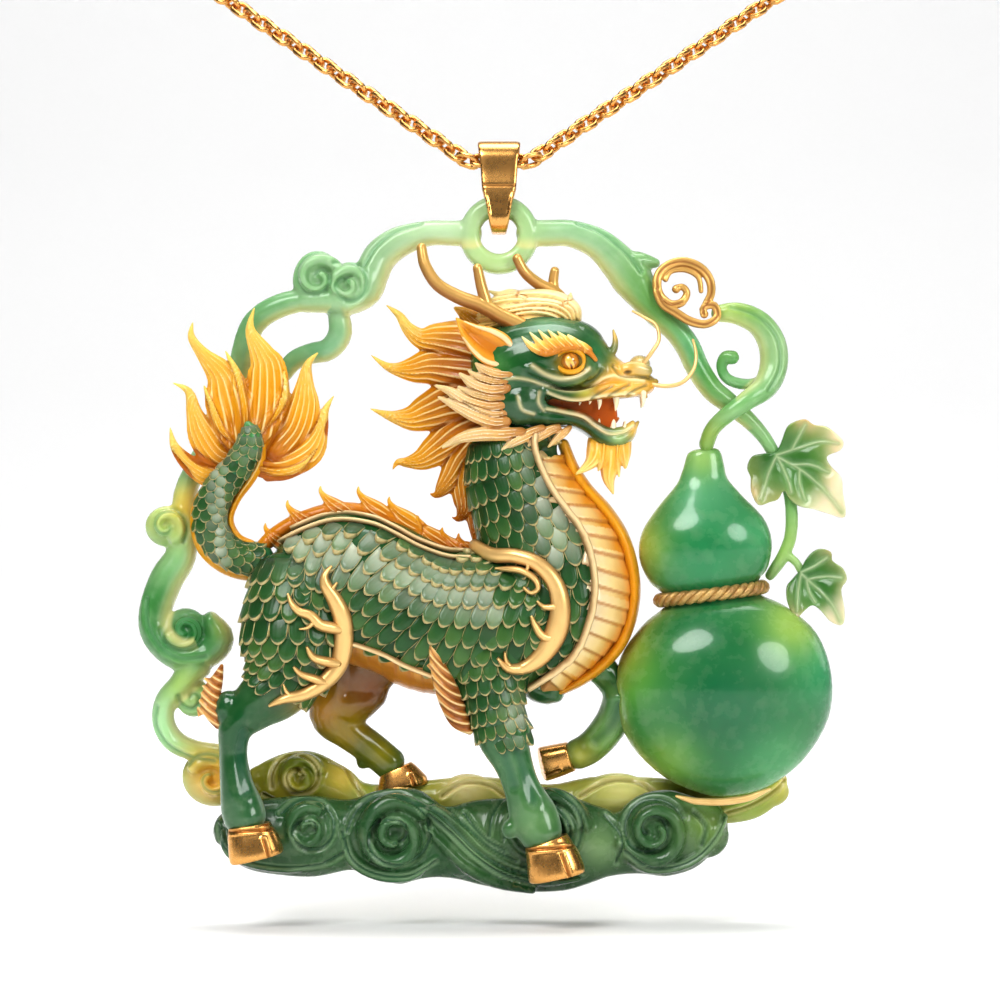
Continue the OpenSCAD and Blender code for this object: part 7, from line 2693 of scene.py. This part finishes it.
    def hair(self) -> None:
        """Comb the mane behind the head, and the hair that curls over the skull."""
        skin = Blank().strokes(MANE, steps=5, sides=20).fused(voxel=0.1, soften=2)
        skin.comb(paths(MANE), strands=6.0, depth=0.17, parting=0.26)
        at = skin.spots
        far = np.hypot(at[:, 0] - 1.5, (at[:, 2] + 10.5) * 0.9)
        pale = np.clip(0.8 * ramp(far, 4.0, 11.5) + 0.35 * ramp(at[:, 2], -8.0, -5.0), 0, 1)
        skin.marks["along"] = pale * ramp(at[:, 2], -21.0, -13.5)
        skin.place("mane_locks", Flame("mane_amber"), "amber", ["mane"])
        outer, inner = np.array(HAIR_OUTER), np.array(HAIR_INNER)
        locks = []
        for k in range(7):
            share = k / 6
            line = outer * (1 - share) + inner * share
            sway = 0.12 * math.sin(2.1 * k)
            front = -0.75 - 0.35 * math.sin(math.pi * share)
            lock = []
            for j, (x, z) in enumerate(line):
                half = 0.12 + 0.30 * math.sin(math.pi * min(1.0, (j + 1.2) / 7))
                deep = 0.5 + 1.2 * math.sin(math.pi * (j + 1) / 8)
                lock.append((x, z + sway * math.sin(j * 1.3 + k), front + 0.1 * j, half, deep))
            locks.append(lock)
        locks += [
            [(1.8, -4.5, -0.5, 0.4, 0.8), (0.9, -4.1, -0.4, 0.32, 0.6), (0.0, -4.15, -0.3, 0.2, 0.4),
             (-0.8, -3.9, -0.2, 0.06, 0.1)],
            [(4.4, -5.0, -0.6, 0.4, 0.8), (4.9, -4.6, -0.6, 0.3, 0.6), (5.0, -4.1, -0.6, 0.07, 0.1)],
        ]
        core = [
            (4.6, -5.9, -0.8, 0.6, 1.1), (3.2, -5.3, -0.7, 0.9, 1.4), (1.4, -5.3, -0.6, 1.0, 1.5),
            (-0.2, -5.7, -0.4, 0.9, 1.2), (-1.3, -6.0, -0.2, 0.6, 0.8),
        ]
        blank = Blank().stroke(core, steps=5, sides=18).strokes(locks, steps=5, sides=14)
        skin = blank.fused(voxel=0.08, soften=1)
        skin.comb(paths(locks), strands=2.0, depth=0.06, parting=0.14)
        skin.marks["along"] = 0.45 + 0.5 * ramp(skin.spots[:, 2], -6.6, -4.6)
        skin.place(
            "top_hair",
            Flame(
                "hair_amber", root=(0.55, 0.20, 0.01), middle=(0.86, 0.58, 0.16), tip=(0.93, 0.78, 0.40),
                strand=(0.96, 0.86, 0.56),
            ),
            "amber",
        )

    def temples(self) -> None:
        """Lay cream locks behind the cheeks and a collar of them under the jaw."""
        lines = (
            ((0.9, -9.9, -3.7, 0.3), (-0.2, -9.85, -3.65, 0.4), (-1.1, -9.5, -3.3, 0.34),
             (-1.6, -9.1, -3.0, 0.1)),
            ((0.6, -10.8, -3.6, 0.35), (-0.6, -10.9, -3.4, 0.48), (-1.8, -10.5, -3.0, 0.42),
             (-2.7, -9.8, -2.6, 0.12)),
            ((0.5, -10.4, -3.7, 0.25), (-0.4, -10.35, -3.5, 0.35), (-1.4, -10.05, -3.2, 0.28),
             (-2.1, -9.6, -2.9, 0.1)),
            ((0.4, -12.0, -3.3, 0.35), (-0.8, -12.1, -3.1, 0.5), (-2.2, -11.7, -2.7, 0.48),
             (-3.4, -11.0, -2.3, 0.32), (-4.4, -10.6, -1.9, 0.1)),
            ((0.4, -11.5, -3.4, 0.25), (-0.6, -11.5, -3.3, 0.34), (-1.8, -11.2, -2.9, 0.3),
             (-2.8, -10.7, -2.5, 0.1)),
            ((0.6, -13.1, -3.2, 0.35), (-0.4, -13.1, -3.1, 0.5), (-1.6, -12.7, -2.8, 0.5),
             (-3.0, -12.0, -2.3, 0.36), (-4.2, -11.4, -1.9, 0.1)),
            ((0.5, -12.5, -3.3, 0.25), (-0.5, -12.6, -3.2, 0.36), (-1.6, -12.2, -2.9, 0.3),
             (-2.6, -11.7, -2.5, 0.1)),
            ((1.6, -13.85, -3.2, 0.35), (0.3, -14.0, -3.3, 0.46), (-1.2, -14.0, -3.1, 0.5),
             (-2.6, -14.25, -2.7, 0.36), (-3.9, -14.9, -2.2, 0.1)),
            ((3.0, -13.6, -3.1, 0.3), (2.1, -14.0, -3.3, 0.42), (1.1, -14.5, -3.3, 0.36),
             (0.1, -15.15, -3.1, 0.08)),
            ((4.1, -13.5, -2.9, 0.26), (3.4, -13.8, -3.1, 0.36), (2.6, -14.3, -3.2, 0.3),
             (1.9, -14.95, -3.1, 0.08)),
            ((4.9, -13.5, -2.6, 0.2), (4.5, -13.9, -2.8, 0.28), (3.9, -14.4, -2.9, 0.24),
             (3.4, -14.9, -2.9, 0.07)),
        )
        rows = [[(x, z, y, half, half * 0.8 + 0.1) for x, z, y, half in line] for line in lines]
        blank = Blank()
        for line in rows:
            blank.strokes(self.pair(line), steps=5, sides=14)
        skin = blank.fused(voxel=0.08, soften=1)
        skin.comb(paths(rows), strands=4.0, depth=0.13, parting=0.2)
        skin.marks["along"] = 0.15 + 0.75 * skin.marks["along"]
        skin.place(
            "temple_locks",
            Flame(
                "temple_cream", root=(0.34, 0.11, 0.015), middle=(0.72, 0.42, 0.14), tip=(0.86, 0.66, 0.36),
                strand=(0.95, 0.84, 0.60), strand_share=0.85,
            ),
            "amber",
        )

    def beard(self) -> None:
        """Comb the beard under the chin."""
        locks = (
            ((6.8, -14.4, -1.2, 0.65, 1), (6.75, -15.3, -1.6, 0.7, 0.8), (6.3, -16.05, -2.3, 0.42, 0.5),
             (5.35, -16.75, -3, 0.08, 0.12)),
            ((7.8, -14.8, -1.3, 1.0, 1), (7.75, -16, -1.3, 0.8, 0.8), (7.65, -17.1, -1.3, 0.45, 0.5),
             (7.95, -18.1, -1.3, 0.08, 0.12)),
            ((8.6, -14.5, -1.3, 0.65, 0.85), (8.7, -15.4, -1.3, 0.5, 0.6), (8.8, -16.3, -1.3, 0.12, 0.2)),
            ((7.3, -14.6, -1.9, 0.4, 0.5), (7.2, -15.7, -2.0, 0.35, 0.45), (6.9, -16.5, -2.0, 0.08, 0.12)),
            ((8.2, -14.7, -1.9, 0.4, 0.5), (8.2, -15.8, -1.9, 0.3, 0.4), (8.35, -16.9, -1.7, 0.08, 0.12)),
        )
        skin = Blank().strokes(locks, steps=5, sides=16).fused(voxel=0.07, soften=1)
        skin.comb(paths(locks), strands=3.0, depth=0.10, parting=0.14)
        skin.place(
            "beard_locks",
            Flame(
                "beard_amber", root=(0.88, 0.48, 0.06), middle=(0.92, 0.52, 0.08), tip=(0.98, 0.70, 0.24),
                strand_share=0.4,
            ),
            "amber", ["beard"],
        )

    def antlers(self) -> None:
        """Grow the two forked gold antlers."""
        near = (
            ((2.2, -6.9, -2.2, 0.58, 0.6), (1.2, -6.35, -2.2, 0.56, 0.55), (0.2, -5.85, -2.2, 0.52, 0.5),
             (-1.2, -5.05, -2.1, 0.48, 0.45), (-2.8, -4.45, -2, 0.45, 0.42), (-4.3, -3.55, -1.9, 0.4, 0.4),
             (-5.15, -2.2, -1.7, 0.36, 0.36), (-5.4, -0.95, -1.5, 0.3, 0.3)),
            ((-0.8, -5.1, -2.1, 0.38, 0.36), (-1.2, -3.8, -2.1, 0.35, 0.35), (-1.5, -2.4, -2.1, 0.29, 0.3)),
        )
        far = (
            ((5.2, -6.6, 0.3, 0.48, 0.5), (4.75, -5.1, 0.1, 0.42, 0.42), (4, -4.1, -0.4, 0.39, 0.4),
             (2.8, -3.5, -1, 0.37, 0.38), (1.8, -2.7, -1.5, 0.34, 0.36), (1.25, -1.7, -1.6, 0.3, 0.32)),
            ((3.9, -4.1, -0.4, 0.33, 0.34), (3.8, -3.3, -0.4, 0.31, 0.32), (3.9, -2.5, -0.4, 0.27, 0.28)),
        )
        for name, lines, node in (
            ("antler_near_gold", near, "antler_near"), ("antler_far_gold", far, "antler_far"),
        ):
            skin = Blank().strokes(lines, steps=6, sides=18).fused(voxel=0.06, soften=3)
            skin.swell(np.full(len(skin.spots), 0.05))
            # Painted shade: the underside and the left of each antler are marked dark.
            skin.mark("line", ramp(-skin.normals[:, 2] - 0.3 * skin.normals[:, 0], -0.3, 0.6))
            skin.place(name, HORN_GOLD, "horn", [node])

    def whiskers(self) -> None:
        """Draw the two gold whiskers."""
        lines = (
            ((10, -9.1, -2.5, 0.15, 0.15), (10.6, -8.3, -2.6, 0.14, 0.14), (11.1, -7.4, -2.4, 0.13, 0.13),
             (10.9, -6.4, -2, 0.12, 0.12), (10.1, -5.85, -1.7, 0.11, 0.11), (9.3, -5.4, -1.5, 0.08, 0.08)),
            ((10.2, -10.4, -2, 0.16, 0.16), (11.5, -10.65, -2.5, 0.15, 0.15),
             (12.7, -10.4, -2.4, 0.14, 0.14), (13.5, -9.5, -2.1, 0.13, 0.13),
             (13.7, -8.4, -1.8, 0.12, 0.12), (13.5, -7.4, -1.5, 0.09, 0.09)),
        )
        skin = Blank().strokes(lines, steps=6, sides=12).bare()
        skin.place("whisker_wires", LIGHT_GOLD, "gold", ["whisker_upper", "whisker_lower"])

    def build(self) -> None:
        """Make the head."""
        self.skull()
        self.eyes()
        self.brows()
        self.mouth()
        self.ears()
        self.hair()
        self.temples()
        self.beard()
        self.antlers()
        self.whiskers()


@dataclass
class Tail:
    """The scaled tail and the flame of hair that rises from its end."""

    core: tuple = (
        (-17.4, -13.3, -2.7, 0.3, 0.4), (-17.25, -13.9, -2.7, 0.75, 0.75),
        (-17.35, -14.9, -2.6, 0.95, 0.85), (-18.1, -16.2, -2.4, 1.0, 0.95), (-19.2, -17.5, -2.0, 1.08, 1.0),
        (-19.95, -18.9, -1.6, 1.15, 1.1), (-20.1, -20.3, -1.35, 1.18, 1.15),
        (-19.4, -21.7, -1.1, 1.15, 1.2), (-18.2, -22.5, -0.9, 1.15, 1.25), (-16.6, -22.8, -0.8, 1.2, 1.3),
    )
    flame: tuple = (
        ((-18, -15.8, -1.3, 1.6, 0.6), (-18.3, -13.6, -1.4, 1.7, 0.6), (-18.8, -11.3, -1.5, 1.75, 0.55),
         (-19.35, -9.8, -1.6, 1.1, 0.5), (-20.6, -8.4, -1.6, 0.5, 0.35), (-21.4, -7.2, -1.6, 0.28, 0.25),
         (-21.3, -6.2, -1.6, 0.07, 0.1)),
        ((-16.8, -15.2, -1.4, 1.7, 0.6), (-16.2, -12.8, -1.6, 1.7, 0.6), (-16.1, -9.6, -1.8, 1.4, 0.5),
         (-16.5, -8.4, -1.8, 0.9, 0.45), (-17.3, -6.7, -1.85, 0.35, 0.3), (-17.0, -5.2, -1.9, 0.07, 0.1)),
        ((-15.6, -15.4, -1.3, 1.5, 0.6), (-14.2, -13.8, -1.4, 1.3, 0.55), (-13.6, -12.0, -1.5, 1.15, 0.5),
         (-13.5, -10.5, -1.5, 0.65, 0.4), (-13.3, -9.1, -1.5, 0.3, 0.3), (-12.6, -8.3, -1.5, 0.07, 0.1)),
        ((-16.2, -16.0, -1.3, 1.3, 0.6), (-14.8, -15.9, -1.4, 1.2, 0.6), (-13.2, -15.0, -1.5, 1.15, 0.5),
         (-12.4, -13.6, -1.5, 0.55, 0.4), (-12.1, -12.3, -1.5, 0.28, 0.25), (-11.5, -11.3, -1.5, 0.06, 0.1)),
        ((-18.2, -16.0, -1.3, 1.2, 0.6), (-19.6, -15.4, -1.35, 1.2, 0.55), (-20.6, -14.0, -1.4, 1.1, 0.5),
         (-21.2, -12.5, -1.5, 0.6, 0.4), (-21.6, -11.0, -1.5, 0.3, 0.25), (-22.7, -10.4, -1.5, 0.06, 0.1)),
        ((-18.2, -16.6, -1.1, 0.8, 0.5), (-19.2, -17.0, -1.15, 0.85, 0.5), (-20.5, -16.7, -1.2, 0.85, 0.5),
         (-21.7, -15.9, -1.3, 0.6, 0.4), (-22.6, -14.8, -1.35, 0.32, 0.25), (-22.9, -13.5, -1.4, 0.06, 0.1)),
        ((-16.8, -16.2, -1.9, 0.7, 0.5), (-15.2, -16.5, -1.9, 0.75, 0.5), (-13.6, -16.0, -1.8, 0.5, 0.4),
         (-12.6, -14.9, -1.7, 0.07, 0.1)),
        ((-17.6, -14.6, -2.2, 0.7, 0.5), (-17.7, -12.4, -2.2, 0.7, 0.45), (-18.0, -10.6, -2.2, 0.5, 0.4),
         (-18.4, -9.4, -2.1, 0.3, 0.3), (-19.0, -8.2, -2.0, 0.06, 0.1)),
        ((-16.9, -14.6, -2.2, 0.6, 0.5), (-15.6, -12.8, -2.2, 0.6, 0.45), (-14.9, -11.2, -2.1, 0.4, 0.35),
         (-14.9, -9.6, -2.0, 0.07, 0.1)),
        ((-18.0, -15.0, -2.1, 0.6, 0.5), (-19.2, -13.6, -2.0, 0.6, 0.45), (-19.9, -12.0, -2.0, 0.4, 0.35),
         (-20.5, -10.6, -1.9, 0.07, 0.1)),
    )

    def sheen(self, p: Vector) -> float:
        """Say how strong the painted highlight on the scales is along the tail's inner curve."""
        return 0.9 * math.exp(-(((p.x + 19.4) / 0.5) ** 2)) if p.z < -16 else 0.2

    def build(self) -> None:
        """Make the tail and its flame."""
        skin = Blank().stroke(self.core, steps=6, sides=26).fused(voxel=0.11, soften=3)
        skin.stain((0.03, 0.25, 0.11), [
            (-17.3, -14, 1.6, (0.10, 0.34, 0.12)), (-20, -20, 2.0, (0.05, 0.32, 0.16)),
        ])
        ground = skin.tree()
        skin.place("tail_core", Jade("tail_jade"), "jade_dark", ["tail"])
        field = ScaleField(self.core, Way.ALONG, long=0.66, wide=0.86, start=0.03, end=0.99, reach=0.3)
        Scales(lift=0.06, sink=0.05).lay("tail_scales", [field], ground, lambda p: False, self.sheen)
        rim = (
            (-16.4, -14.6, -2.0, 0.25, 0.4), (-16.6, -15.9, -2.0, 0.35, 0.5),
            (-17.3, -17.2, -1.8, 0.32, 0.5), (-18.2, -18.5, -1.5, 0.25, 0.5),
            (-18.7, -19.9, -1.2, 0.22, 0.5), (-18.2, -21.1, -0.9, 0.25, 0.5),
            (-17.2, -21.6, -0.8, 0.25, 0.5),
        )
        outer = (
            (-18.6, -15.7, -1.9, 0.3, 0.4), (-19.7, -17.0, -1.6, 0.4, 0.6), (-20.8, -18.6, -1.3, 0.45, 0.7),
            (-21.1, -20.3, -1.0, 0.45, 0.8), (-20.6, -22.0, -0.8, 0.45, 0.8),
            (-19.3, -23.2, -0.7, 0.45, 0.8), (-17.6, -23.8, -0.6, 0.4, 0.8),
            (-16.4, -23.6, -0.6, 0.25, 0.6),
        )
        edge = Blank().strokes([rim, outer], steps=5, sides=14).fused(voxel=0.09, soften=2)
        edge.comb(paths((rim, outer)), strands=1.5, depth=0.05)
        edge.marks["along"] = np.full(len(edge.spots), 0.35)
        edge.place("tail_rim", Flame("rim_amber", strand_share=0.5), "amber")
        hair = Blank().strokes(self.flame, steps=5, sides=18).fused(voxel=0.1, soften=2)
        hair.comb(paths(self.flame, steps=6), strands=6.0, depth=0.15, parting=0.22)
        hair.marks["along"] = hair.marks["along"] ** 0.8
        hair.place("tail_flame_locks", Flame("tail_amber"), "amber", ["tail_flame"])


# Making


def main() -> None:
    """Make every piece in turn."""
    logging.basicConfig(level=logging.INFO, format="%(message)s")
    for maker in (
        Studio(), Chain(), Bail(), JadeRing(), Leaves(), Clouds(), Gourd(), Beast(), Head(), Tail(),
    ):
        LOG.info("making the %s", type(maker).__name__)
        maker.build()


if __name__ == "__main__":
    main()
